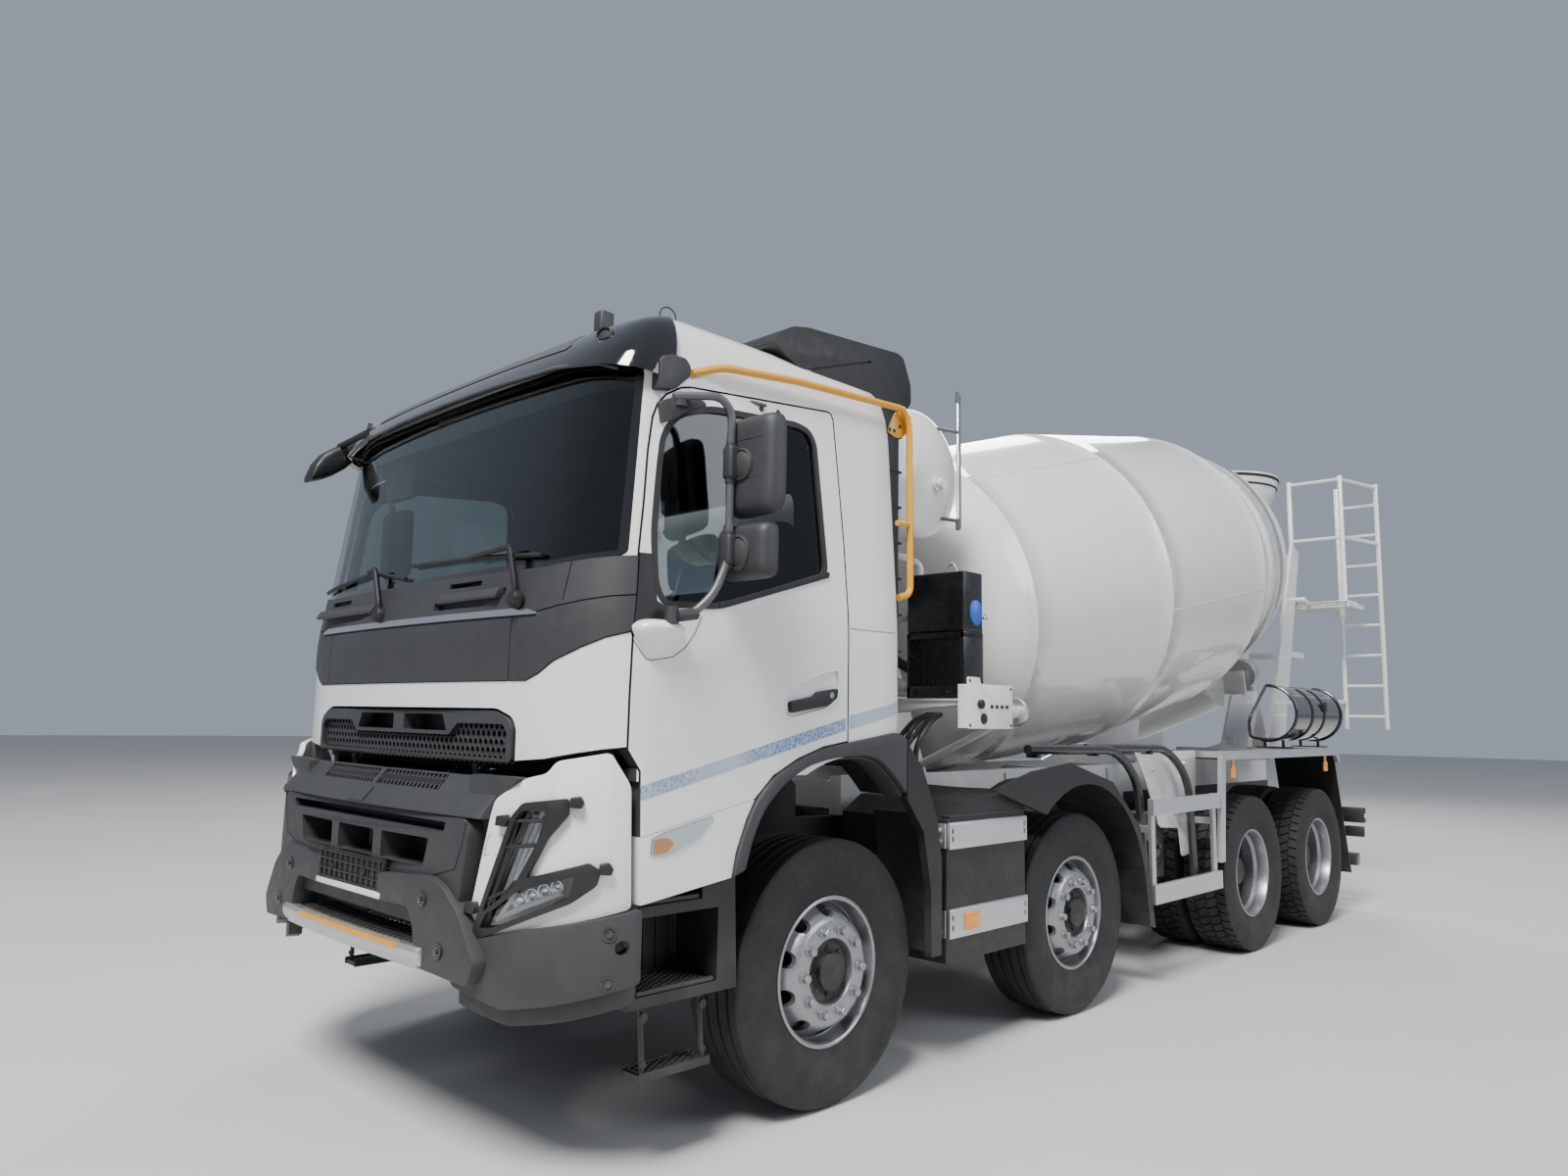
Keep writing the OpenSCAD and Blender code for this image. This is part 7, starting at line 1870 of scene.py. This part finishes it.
def add_flare():
    outline = rounded(FLARE_OUTER, 0.05, 4) + list(reversed(rounded(FLARE_INNER, 0.05, 4)))
    keep = prism([(-0.3755, 0.9), (0.70, 0.9), (0.70, 1.6), (-0.3755, 1.6)], 1.0, 1.4, "xz")
    flare = combine(plates([(outline, 1.222, 1.2635, "xz")], 0.009), [keep], "INTERSECT")
    both_sides_cab("wheel_flare", flare, MAT_BLACK, "cab", None, 40)
    lip = rounded(FLARE_INNER, 0.05, 4)
    inner = [(x * 0.985, z - 0.012) for x, z in lip]
    strip = combine(plates([(lip + list(reversed(inner)), 1.130, 1.236, "xz")], 0.003), [keep], "INTERSECT")
    both_sides_cab("wheel_flare_lip", strip, MAT_BLACK, "cab", None, 40)
    # Liner over the wheel, and the dark wall at its inner side
    over = rounded(FLARE_INNER[1:], 0.05, 4)
    under = [(x * 0.99, z - 0.006) for x, z in over]
    liner = combine(plates([(over + list(reversed(under)), 0.60, 1.140, "xz")], 0.0), [keep], "INTERSECT")
    both_sides_cab("arch_liner", liner, BLACK_PLASTIC, "cab", None, 40)
    wall = [(0.50, 1.10), (0.50, 1.20), (0.38, 1.30), (0.23, 1.36), (0.08, 1.385), (-0.10, 1.39), (-0.20, 1.37),
            (-0.30, 1.30), (-0.37, 1.23), (-0.37, 1.02), (0.50, 1.02)]
    both_sides_cab("arch_wall", plates([(wall, 0.596, 0.602, "xz")], 0.0), BLACK_PLASTIC, "cab")


def add_studs(bm, low, high, tall):
    """Raised studs in shifted rows on a level tread."""
    step, radius = 0.026, 0.0075
    row, x = 0, low[0]
    while x <= high[0]:
        y = low[1] + (step / 2 if row % 2 else 0)
        while y <= high[1]:
            add_lathe(bm, [(radius, 0), (radius * 0.7, tall), (0, tall)], 6, Matrix.Translation(at(x, y, low[2])))
            y += step
        x += step * 0.866
        row += 1


def add_steps():
    bm = bmesh.new()
    x1, y1 = 1.005, 1.170
    for x0, y0, z in ((0.650, 0.955, 0.600), (0.730, 0.915, 0.900), (0.770, 0.945, 1.160)):
        add_box(bm, at(x0, y0, z + 0.0005), at(x1, y1, z + 0.008), 0.003)
        add_box(bm, at(x0, y1 - 0.012, z + 0.001), at(x1, y1 + 0.006, z + 0.018), 0.005)
        add_studs(bm, (x0 + 0.02, y0 + 0.015, z + 0.008), (x1 - 0.02, y1 - 0.03), 0.004)
    on_both_sides("step_treads", bm, GREY_PLASTIC, "chassis")
    bm = bmesh.new()
    add_studs(bm, (0.680, 1.075, 0.335), (0.955, 1.160), 0.005)
    add_box(bm, at(0.656, 1.163, 0.313), at(0.974, 1.173, 0.345), 0.004)
    add_box(bm, at(0.656, 1.057, 0.313), at(0.974, 1.066, 0.345), 0.004)
    for x in (0.680, 0.950):
        add_disc(bm, at(x, 1.146, 0.520), (0, 1, 0), 0.018, 0.008)
        add_disc(bm, at(x, 1.150, 0.365), (0, 1, 0), 0.014, 0.008)
    on_both_sides("hanging_step", bm, BLACK_PLASTIC, "chassis")
    # Ribs at the back of the wells
    bm = bmesh.new()
    for k in range(6):
        x = 0.665 + k * 0.062
        add_box(bm, at(x, 0.940, 0.62), at(x + 0.012, 0.948, 0.855), 0.002)
    on_both_sides("well_ribs", bm, BLACK_PLASTIC, "chassis")
    for node in ("step_wells", "battery_box", "fuel_tank"):
        soften(node, 0.006)


def add_battery_box():
    face, rear, front = 1.2145, -1.4285, -0.7612
    straps = ((0.5595, 0.6905), (0.9595, 1.0805))
    bm, ends, holes = bmesh.new(), bmesh.new(), []
    for z0, z1 in straps:
        add_box(bm, at(rear, 1.196, z0), at(front, face + 0.001, z1), 0.0025)
        for x in (front - 0.030, rear + 0.020):
            for z in (z0 + 0.034, z1 - 0.052):
                hole = closed_round([(x, z), (x + 0.012, z), (x + 0.012, z + 0.026), (x, z + 0.026)], 0.004, 3)
                holes.append(prism(hole, 1.207, 1.3, "xz"))
        add_box(ends, at(front + 0.0005, 1.125, z0 + 0.004), at(front + 0.013, 1.198, z1 - 0.004), 0.003)
        for z in (z0 + 0.035, z1 - 0.035):
            add_bolt(ends, at(front + 0.012, 1.165, z), (1, 0, 0), 0.011)
    cab_piece("battery_straps", cut_away(mesh_of(bm, "straps"), holes), ALUMINIUM, "chassis")
    finish_piece("battery_strap_ends", ends, STEEL, "chassis")
    bm = bmesh.new()
    add_box(bm, at(-0.990, face, 0.588), at(-0.880, face + 0.012, 0.666), 0.005)
    finish_piece("side_marker_box", bm, ORANGE, "chassis")
    bm = bmesh.new()
    lid = [(-1.432, 1.104), (-0.777, 1.104), (-0.777, 1.112), (-1.432, 1.112)]
    add_plate(bm, lid, 1.15, 1.2045, "xz", 0.002, TRUCK)
    add_box(bm, at(-1.425, 1.198, 0.745), at(-0.770, 1.203, 0.750), 0.001)
    finish_piece("battery_lid_edge", bm, GREY_PLASTIC, "chassis")


def add_air_tank(bm, x, z, r, y0, y1):
    """A tank with dished ends across the truck, with two bands, a valve and its bracket."""
    long = y1 - y0
    matrix = facing(at(x, y0, z), (0, 1, 0))
    add_lathe(bm, [(0, 0), (r * 0.55, 0.008), (r * 0.85, 0.028), (r, 0.065), (r, long - 0.065),
                   (r * 0.85, long - 0.028), (r * 0.55, long - 0.008), (0, long)], 32, matrix)
    for place in (0.12, long - 0.12):
        add_lathe(bm, [(r, place - 0.02), (r + 0.004, place - 0.02), (r + 0.004, place + 0.02), (r, place + 0.02)],
                  32, matrix)
    add_disc(bm, at(x + 0.02, y1 - 0.004, z + 0.03), (0, 1, 0), 0.016, 0.018)
    add_box(bm, at(x - 0.03, 0.425, z + r - 0.04), at(x + 0.03, y0 + 0.1, z + r + 0.006), 0.004)


def add_skirt():
    plate = [(-2.98, 1.372), (-3.885, 1.372), (-3.815, 0.70), (-3.62, 0.68), (-3.585, 0.87), (-3.30, 0.89),
             (-3.13, 1.18)]
    bm = bmesh.new()
    add_plate(bm, closed_round(plate, 0.03), 1.040, 1.048, "xz", 0.002, TRUCK)
    on_both_sides("skirt_plate", bm, MIXER, "chassis")
    bm = bmesh.new()
    for x, z in ((-3.70, 1.29), (-3.70, 1.20), (-3.22, 1.26)):
        add_bolt(bm, at(x, 1.048, z), (0, 1, 0), 0.010)
    on_both_sides("skirt_bolts", bm, STEEL, "chassis")
    bm = bmesh.new()
    for path in ([(-1.60, 1.12, 1.405), (-2.60, 1.12, 1.392), (-2.868, 1.12, 1.20), (-2.915, 1.12, 0.60)],
                 [(-2.26, 1.10, 1.405), (-3.32, 1.10, 1.392), (-3.585, 1.12, 1.20), (-3.640, 1.12, 0.56)]):
        add_tube(bm, [at(*p) for p in path], 0.026, 16, 0.16)
    for x in (-1.70, -2.36, -3.05):
        add_box(bm, at(x - 0.02, 1.06, 1.36), at(x + 0.02, 1.13, 1.385), 0.004)
    on_both_sides("guard_tubes", bm, BLACK_PAINT, "chassis")
    # Air tanks and a filter box behind the guards
    bm = bmesh.new()
    add_air_tank(bm, -3.36, 0.735, 0.120, 0.50, 1.02)
    add_air_tank(bm, -3.07, 0.705, 0.105, 0.55, 1.05)
    add_box(bm, at(-3.16, 0.80, 0.83), at(-2.96, 1.10, 1.00), 0.02)
    add_box(bm, at(-3.10, 0.425, 0.90), at(-3.02, 0.81, 0.95), 0.004)
    on_both_sides("air_tanks", bm, BLACK_PAINT, "chassis")


def add_rear_lamps():
    # Boxes of each piece: low corner, high corner, bevel
    for name, paint, boxes in (
            ("tail_lamp_body", BLACK_PLASTIC, (((-6.955, 1.000, 0.720), (-6.885, 1.239, 0.850), 0.010),
                                               ((-6.905, 0.52, 0.762), (-6.885, 1.10, 0.800), 0.003),
                                               ((-6.930, 1.08, 0.60), (-6.885, 1.232, 0.690), 0.008))),
            ("tail_lamp_red", RED, (((-6.960, 1.010, 0.732), (-6.954, 1.115, 0.838), 0.004),)),
            ("tail_lamp_orange", ORANGE, (((-6.960, 1.118, 0.732), (-6.954, 1.180, 0.838), 0.004),)),
            ("tail_lamp_white", LAMP_WHITE, (((-6.960, 1.183, 0.732), (-6.954, 1.230, 0.838), 0.004),
                                             ((-6.935, 1.2385, 0.765), (-6.905, 1.2405, 0.800), 0.002)))):
        bm = bmesh.new()
        for low, high, bevel in boxes:
            add_box(bm, at(*low), at(*high), bevel)
        on_both_sides(name, bm, paint, "chassis")
    bm = bmesh.new()
    add_box(bm, at(-6.924, -1.184, 0.358), at(-6.836, 1.184, 0.462), 0.008)
    finish_piece("underrun_bar", bm, BLACK_PAINT, "chassis")
    bm = bmesh.new()
    for x in (-4.075, -5.985):
        add_box(bm, at(x - 0.032, 1.214, 1.190), at(x + 0.032, 1.234, 1.268), 0.006)
        add_box(bm, at(x - 0.020, 1.218, 1.255), at(x + 0.020, 1.228, 1.322), 0.003)
    on_both_sides("fender_markers", bm, ORANGE, "chassis")
    for node in ("fenders", "guards", "frame", "axles", "engine"):
        soften(node, 0.003)


add_flare()
add_steps()
add_battery_box()
add_skirt()
add_rear_lamps()


# Mixer equipment: water tank, oil cooler, control panel, chutes, hopper, ladder
TANK_X, TANK_Z, TANK_RADIUS = -0.98, 2.82, 0.34


def add_water_tank():
    """Tank across the truck with dished ends, two bead rings and its saddles."""
    x, z, r, y0, y1 = TANK_X, TANK_Z, TANK_RADIUS, -0.95, 0.95
    ends = [(r * math.sin(math.radians(a)), 0.11 * (1 - math.cos(math.radians(a)))) for a in range(0, 91, 6)]
    ring = [(r, 0.30), (r + 0.002, 0.302), (r + 0.002, 0.312), (r, 0.314)]
    half = ends + ring
    bm = bmesh.new()
    add_lathe(bm, half + [(a, y1 - y0 - b) for a, b in reversed(half)], 72, facing(at(x, y0, z), (0, 1, 0)))
    finish_piece("water_tank_shell", bm, MIXER, "chassis")
    bm = bmesh.new()
    for side in (1, -1):
        saddle = closed_round([(x - 0.228, z - 0.200), (x + 0.198, z - 0.200), (x + 0.058, 2.00), (x + 0.018, 1.385),
                               (x - 0.058, 1.385), (x - 0.058, 2.00)], 0.02)
        low, high = sorted((0.332 * side, 0.354 * side))
        add_plate(bm, saddle, low, high, "xz", 0.003, TRUCK)
        low, high = sorted((0.310 * side, 0.376 * side))
        band = arc((x, z), r + 0.001, 200, 340, 20) + arc((x, z), r + 0.010, 340, 200, 20)
        add_plate(bm, band, low, high, "xz", 0.0, TRUCK)
        add_box(bm, at(x - 0.060, low, 1.372), at(x + 0.020, high, 1.392), 0.004)
    feet = finish_piece("water_tank_saddles", bm, MIXER, "chassis")
    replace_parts(feet, "water_tank")


def add_tank_fittings():
    """Sight tube with its ends and stays, end flange, filler neck, lifting eyes and the pipe below."""
    x, y = -1.23, 0.94
    bm = bmesh.new()
    add_tube(bm, [at(x, y, 2.60), at(x, y, 3.26)], 0.0085, 12)
    finish_piece("sight_tube", bm, LAMP_GLASS, "chassis")
    bm = bmesh.new()
    for z0, z1 in ((2.55, 2.61), (3.24, 3.30)):
        add_tube(bm, [at(x, y, z0), at(x, y, z1)], 0.0135, 12)
    for level in (2.60, 3.08):
        add_tube(bm, [at(-1.10, 0.90, level), at(x, y, level)], 0.0095, 10)
    add_tube(bm, [at(-1.243, 0.945, 2.56), at(-1.243, 0.945, 3.29)], 0.006, 8)
    finish_piece("tank_fittings", bm, ARM_GREY, "chassis")
    bm = bmesh.new()
    x, z = TANK_X - 0.05, TANK_Z - 0.06
    add_tube(bm, [at(x, 0.935, z), at(x, 0.965, z)], 0.042, 24)
    add_tube(bm, [at(x, 0.948, z), at(x, 0.998, z)], 0.029, 20)
    for a in circle(6):
        add_bolt(bm, at(x + 0.034 * math.cos(a), 0.965, z + 0.034 * math.sin(a)), (0, 1, 0), 0.005)
    x, z = TANK_X, TANK_Z + TANK_RADIUS - 0.01
    add_lathe(bm, [(0.10, -0.03), (0.10, 0.035), (0.115, 0.037), (0.115, 0.055), (0.09, 0.068), (0, 0.07)], 32,
              Matrix.Translation(at(x, 0.25, z)))
    for y in (-0.62, 0.62):
        add_tube(bm, [at(x + 0.035 * math.cos(a), y, z + 0.055 * math.sin(a)) for a in HALF_TURN], 0.009, 10)
    add_tube(bm, [at(x + 0.05, 0.70, TANK_Z - 0.31), at(x + 0.05, 0.70, 2.42), at(x - 0.10, 0.80, 2.36),
                  at(x - 0.10, 0.80, 2.30)], 0.022, 14, 0.06)
    finish_piece("tank_top_parts", bm, MIXER, "chassis")


def add_oil_cooler():
    """Plain case over a finned core between side plates, with its foot."""
    x0, x1, y0, y1 = -1.140, -0.975, 0.800, 1.150
    bm = bmesh.new()
    add_box(bm, at(x0, y0, 1.992), at(x1, y1, 2.290), 0.008, segments=3)
    add_box(bm, at(x0 + 0.006, y0 + 0.006, 1.70), at(x1 - 0.012, y1 - 0.006, 1.996), 0.004)
    fins = 22
    for k in range(fins):
        y = y0 + 0.014 + (y1 - y0 - 0.028) * k / (fins - 1)
        add_box(bm, at(x1 - 0.014, y - 0.0028, 1.722), at(x1 - 0.002, y + 0.0028, 1.978), 0.001)
    for y in (y0, y1 - 0.022):
        add_box(bm, at(x0, y, 1.66), at(x1, y + 0.022, 1.990), 0.003)
    add_box(bm, at(x0, y0, 1.958), at(x1, y1, 1.988), 0.003)
    add_box(bm, at(x0, y0, 1.662), at(x1, y1, 1.722), 0.004)
    for y in (y0 + 0.05, y1 - 0.10):
        add_bolt(bm, at(x1, y, 1.69), (1, 0, 0), 0.009)
    body = finish_piece("oil_cooler_body", bm, BLACK_PAINT, "chassis")
    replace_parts(body, "oil_cooler")


def add_cooler_fittings():
    """Lifting eye on top, valve of the cap, pressure gauge at the foot, cap, hose and arms."""
    bm = bmesh.new()
    add_tube(bm, [at(-1.06, 1.02 + 0.030 * math.cos(a), 2.290 + 0.055 * math.sin(a)) for a in HALF_TURN], 0.0075, 10)
    add_tube(bm, [at(-1.112, 1.150, 2.07), at(-1.116, 1.182, 2.068)], 0.014, 16)
    add_tube(bm, [at(-1.116, 1.178, 2.068), at(-1.136, 1.178, 2.060)], 0.008, 10)
    add_lathe(bm, [(0, -0.004), (0.038, 0), (0.038, 0.020), (0.034, 0.024), (0.031, 0.018), (0, 0.018)], 32,
              facing(at(-1.045, 1.150, 1.715), (0.3, 1, 0)))
    add_tube(bm, [at(-1.045, 1.158, 1.680), at(-1.045, 1.158, 1.645)], 0.009, 10)
    finish_piece("cooler_fittings", bm, STEEL, "chassis")
    bm = bmesh.new()
    add_lathe(bm, [(0, 0), (0.030, 0.0), (0.052, 0.004), (0.055, 0.02), (0.052, 0.05), (0.040, 0.062), (0.0, 0.066)],
              28, facing(at(-1.072, 1.132, 2.085), (0.1, 1, 0)) @ Matrix.Diagonal((0.80, 1.20, 0.62, 1)))
    finish_piece("blue_cap", bm, BLUE, "chassis")
    # Corrugated hose down the rear edge
    bm = bmesh.new()
    for k in range(22):
        add_lathe(bm, [(0.026, 0), (0.031, 0.003), (0.031, 0.006), (0.026, 0.009)], 18,
                  Matrix.Translation(at(-1.165, 1.10, 1.74 + k * 0.0115)))
    add_tube(bm, [at(-1.165, 1.10, 1.68), at(-1.165, 1.10, 2.03), at(-1.12, 1.10, 2.06)], 0.0265, 18, 0.03)
    add_tube(bm, [at(-1.12, 1.10, 1.70), at(-1.165, 1.10, 1.70)], 0.030, 18)
    finish_piece("cooler_hose", bm, BLACK_PLASTIC, "chassis")
    # Tapered arms from the saddle's leg that carry the cooler
    bm = bmesh.new()
    arm = [(0.354, 1.658), (1.142, 1.658), (1.142, 1.632), (0.354, 1.560)]
    for x in (-1.132, -1.006):
        add_plate(bm, arm, x, x + 0.014, "yz", 0.002, TRUCK)
    add_box(bm, at(-1.132, 0.352, 1.649), at(-0.980, 1.142, 1.660), 0.002)
    add_box(bm, at(-1.132, 0.350, 1.545), at(-0.980, 0.364, 1.668), 0.002)
    finish_piece("cooler_arms", bm, MIXER, "chassis")


def corrugated(bm, points, radius, count):
    """A hose with ribs along points."""
    path = round_path(points, 0.12, 8)
    add_tube(bm, path, radius * 0.93, 16)
    lengths = [0.0]
    for a, b in zip(path, path[1:]):
        lengths.append(lengths[-1] + (b - a).length)
    for k in range(count):
        target = lengths[-1] * (k + 0.5) / count
        i = max(j for j, v in enumerate(lengths[:-1]) if v <= target)
        t = (target - lengths[i]) / max(1e-6, lengths[i + 1] - lengths[i])
        place, way = path[i].lerp(path[i + 1], t), path[i + 1] - path[i]
        add_lathe(bm, [(radius * 0.92, -0.004), (radius, -0.002), (radius, 0.002), (radius * 0.92, 0.004)], 16,
                  facing(place, way))


def add_hoses():
    bm = bmesh.new()
    corrugated(bm, [at(-1.05, 0.80, 2.09), at(-1.02, 0.70, 2.085), at(-0.98, 0.655, 1.96), at(-0.98, 0.66, 1.80),
                    at(-1.00, 0.73, 1.73), at(-1.03, 0.80, 1.715)], 0.026, 34)
    add_tube(bm, [at(-1.04, 0.80, 1.690), at(-1.00, 0.60, 1.690)], 0.022, 14)
    finish_piece("white_hose", bm, HOSE_WHITE, "chassis")
    bm = bmesh.new()
    for k, (y, bulge) in enumerate(((1.02, 0.02), (0.98, 0.05), (0.94, 0.01), (0.90, 0.04))):
        add_tube(bm, [at(-0.96 - 0.02 * k, y, 1.58), at(-0.80 - bulge, y + 0.04, 1.545),
                      at(-0.745 + bulge, y + 0.02, 1.42), at(-0.80, y - 0.02, 1.27), at(-0.90, y - 0.05, 1.19)],
                 0.013, 10, 0.07)
    add_tube(bm, [at(-1.03, 0.80, 1.80), at(-0.99, 0.70, 1.86), at(-0.97, 0.60, 1.98), at(-1.0, 0.50, 2.10)],
             0.026, 14, 0.08)
    finish_piece("black_hoses", bm, BLACK_PLASTIC, "chassis")


def add_control_panel():
    bm = bmesh.new()
    face = closed_round([(-1.312, 1.514), (-0.918, 1.514), (-0.918, 1.762), (-1.02, 1.762), (-1.03, 1.730),
                         (-1.312, 1.730)], 0.008)
    add_plate(bm, face, HALF_WIDTH - 0.0405, HALF_WIDTH - 0.034, "xz", 0.0015, TRUCK)
    finish_piece("control_face", bm, WHITE, "chassis")
    bm = bmesh.new()
    y = HALF_WIDTH - 0.034
    for x, z in ((-1.295, 1.530), (-0.935, 1.530), (-1.295, 1.712), (-0.935, 1.745)):
        add_disc(bm, at(x, y, z), (0, 1, 0), 0.007, 0.003)
    add_disc(bm, at(-1.02, y, 1.632), (0, 1, 0), 0.022, 0.018)
    add_box(bm, at(-1.006, y + 0.001, 1.622), at(-0.998, y + 0.026, 1.642), 0.003)
    add_lathe(bm, [(0.026, 0), (0.026, 0.006), (0.018, 0.008), (0, 0.008)], 28,
              facing(at(-1.05, y, 1.562), (0, 1, 0)))
    for k in range(4):
        add_disc(bm, at(-1.12 - 0.045 * k, y, 1.622), (0, 1, 0), 0.009, 0.008)
    finish_piece("control_knobs", bm, BLACK_PLASTIC, "chassis")
    bm = bmesh.new()
    pipe_y = HALF_WIDTH - 0.175
    matrix = facing(at(-1.575, pipe_y, 1.5995), (-1, 0, -0.05))
    add_lathe(bm, [(0.030, -0.02), (0.070, -0.02), (0.074, -0.016), (0.074, 0.004), (0.070, 0.008), (0.034, 0.008),
                   (0.030, 0.004), (0.030, -0.01), (0, -0.01)], 40, matrix)
    finish_piece("pipe_flange", bm, STEEL, "chassis")
    bm = bmesh.new()
    for k in range(8):
        a = 2 * math.pi * k / 8
        add_bolt(bm, matrix @ Vector((0.054 * math.cos(a), 0.054 * math.sin(a), 0.008)), (-1, 0, -0.05), 0.007)
    finish_piece("flange_bolts", bm, BLACK_PAINT, "chassis")


def add_spare_chute():
    """Black half pipe on its edge over the rear fender, with beads, straps, feet and a bent handle."""
    x0, x1, cy, cz, r = -6.45, -5.35, 1.010, 1.650, 0.215
    angles = [math.radians(92 - 197 * k / 44) for k in range(45)]

    def around(radius, turn=0.0):
        return [(cy + radius * math.cos(a + turn), cz + radius * math.sin(a + turn)) for a in angles]

    bm = bmesh.new()
    add_plate(bm, around(r) + list(reversed(around(r - 0.007))), x0, x1, "yz", 0.0, TRUCK)
    shell = finish_piece("spare_chute", bm, GLOSS_BLACK, "chassis")
    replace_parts(shell, "extension_chute")
    bm = bmesh.new()
    for x in (x0 + 0.012, x1 - 0.012):
        add_tube(bm, [at(x, y, z) for y, z in around(r + 0.002)], 0.0125, 10)
    edge_top, edge_low = around(r - 0.003)[0], around(r - 0.003)[-1]
    for y, z in (edge_top, edge_low):
        add_tube(bm, [at(x0 + 0.01, y, z), at(x1 - 0.01, y, z)], 0.010, 10)
    # Handle in front: up from the low edge and back to the high one
    add_tube(bm, [at(x1 - 0.01, edge_low[0], edge_low[1]), at(x1 + 0.16, 0.93, 1.46), at(x1 + 0.17, 0.93, 1.60),
                  at(x1 - 0.01, edge_top[0], edge_top[1])], 0.011, 12, 0.05)
    # Feet on the fender's top
    for x in (-6.32, -5.50):
        for y in (0.93, 1.07):
            add_tube(bm, [at(x, y, 1.440), at(x, y, 1.378)], 0.012, 10)
        add_box(bm, at(x - 0.03, 0.86, 1.374), at(x + 0.03, 1.14, 1.384), 0.002)
    finish_piece("spare_chute_beads", bm, BLACK_PAINT, "chassis")
    bm = bmesh.new()
    for x in (-5.74, -6.02):
        wide = around(r + 0.006)[6:40] + list(reversed(around(r)[6:40]))
        add_plate(bm, wide, x - 0.018, x + 0.018, "yz", 0.0, TRUCK)
    add_box(bm, at(-6.045, cy + r + 0.001, cz + 0.02), at(-5.995, cy + r + 0.016, cz + 0.10), 0.005)
    finish_piece("spare_chute_straps", bm, BLACK_PLASTIC, "chassis")


def add_hopper_and_ladder():
    """Rubber rims of the hopper, grating of the platform, and softened edges of the CAD pieces there."""
    low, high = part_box("hopper")
    bm = bmesh.new()
    mid = low.x + 0.580
    for radius, thick, sides, down in ((0.556, 0.0225, 12, 0.022), (0.548, 0.010, 8, 0.10)):
        add_tube(bm, [Vector((mid + radius * math.cos(a), radius * math.sin(a), high.z - down))
                      for a in circle(64, 1)], thick, sides)
    finish_piece("hopper_rim", bm, RUBBER, "chassis")
    bm = bmesh.new()
    x0, x1, y0, y1, z = at(-7.455, 0, 0).x, at(-7.105, 0, 0).x, 0.61, 1.12, 2.6902
    for k in range(12):
        x = x0 + 0.012 + k * 0.0285
        add_box(bm, (x, y0, z), (x + 0.006, y1, 2.703), 0.001)
    for k in range(7):
        y = 0.625 + k * 0.08
        add_box(bm, (x0, y, z), (x1, y + 0.006, 2.700), 0.001)
    finish_piece("platform_grating", bm, STEEL, "chassis")
    for node in ("ladder", "hopper", "rear_pedestal", "front_pedestal", "subframe", "chute", "chute_swivel",
                 "roller_left", "roller_right"):
        soften(node, 0.004)


add_water_tank()
add_tank_fittings()
add_oil_cooler()
add_cooler_fittings()
add_hoses()
add_control_panel()
add_spare_chute()
add_hopper_and_ladder()


# Camera, floor and soft light
CAMERA_PLACE = at(3.3212, 4.1084, 1.5567)
CAMERA_YAW = math.radians(-135.664)
CAMERA_PITCH = math.radians(6.979)
CAMERA_ROLL = math.radians(0.969)
LENS = 24.108


def add_camera():
    data = bpy.data.cameras.new("camera")
    data.sensor_width = 36
    data.lens = LENS
    camera = bpy.data.objects.new("camera", data)
    forward = Vector((math.cos(CAMERA_YAW) * math.cos(CAMERA_PITCH), math.sin(CAMERA_YAW) * math.cos(CAMERA_PITCH),
                      math.sin(CAMERA_PITCH)))
    level = forward.cross(Vector((0, 0, 1))).normalized()
    upright = level.cross(forward)
    right = level * math.cos(CAMERA_ROLL) + upright * math.sin(CAMERA_ROLL)
    up = upright * math.cos(CAMERA_ROLL) - level * math.sin(CAMERA_ROLL)
    turn = Matrix((right, up, -forward)).transposed()
    camera.matrix_world = Matrix.Translation(CAMERA_PLACE) @ turn.to_4x4()
    bpy.context.scene.collection.objects.link(camera)
    bpy.context.scene.camera = camera


def add_light(name, place, aim, size, power, colour=(1, 1, 1)):
    data = bpy.data.lights.new(name, "AREA")
    data.shape = "DISK"
    data.size = size
    data.energy = power
    data.color = colour
    lamp = bpy.data.objects.new(name, data)
    lamp.location = place
    lamp.rotation_euler = (aim - place).to_track_quat("-Z", "Y").to_euler()
    bpy.context.scene.collection.objects.link(lamp)


def add_stage():
    bm = bmesh.new()
    bmesh.ops.create_circle(bm, cap_ends=True, segments=96, radius=60)
    mesh = bpy.data.meshes.new("floor")
    bm.to_mesh(mesh)
    bm.free()
    floor = bpy.data.objects.new("floor", mesh)
    floor.location = (0, 0, cad_box[0].z)
    mesh.materials.append(material("floor", (0.52, 0.515, 0.5), 0.9, shade=0.03, patch=0.4))
    bpy.context.scene.collection.objects.link(floor)
    world = bpy.data.worlds.new("studio")
    bpy.context.scene.world = world
    world.use_nodes = True
    sky = world.node_tree.nodes["Background"]
    sky.inputs["Color"].default_value = (0.60, 0.68, 0.80, 1)
    sky.inputs["Strength"].default_value = 0.52
    target = Vector((0, 0, 1.8))
    add_light("key", Vector((13, 5, 17)), target, 7, 7400, (1, 0.975, 0.94))
    add_light("fill", Vector((-4, 15, 9)), target, 10, 1100, (0.90, 0.94, 1))
    add_light("back", Vector((-12, -8, 10)), target, 8, 1600)


add_camera()
add_stage()
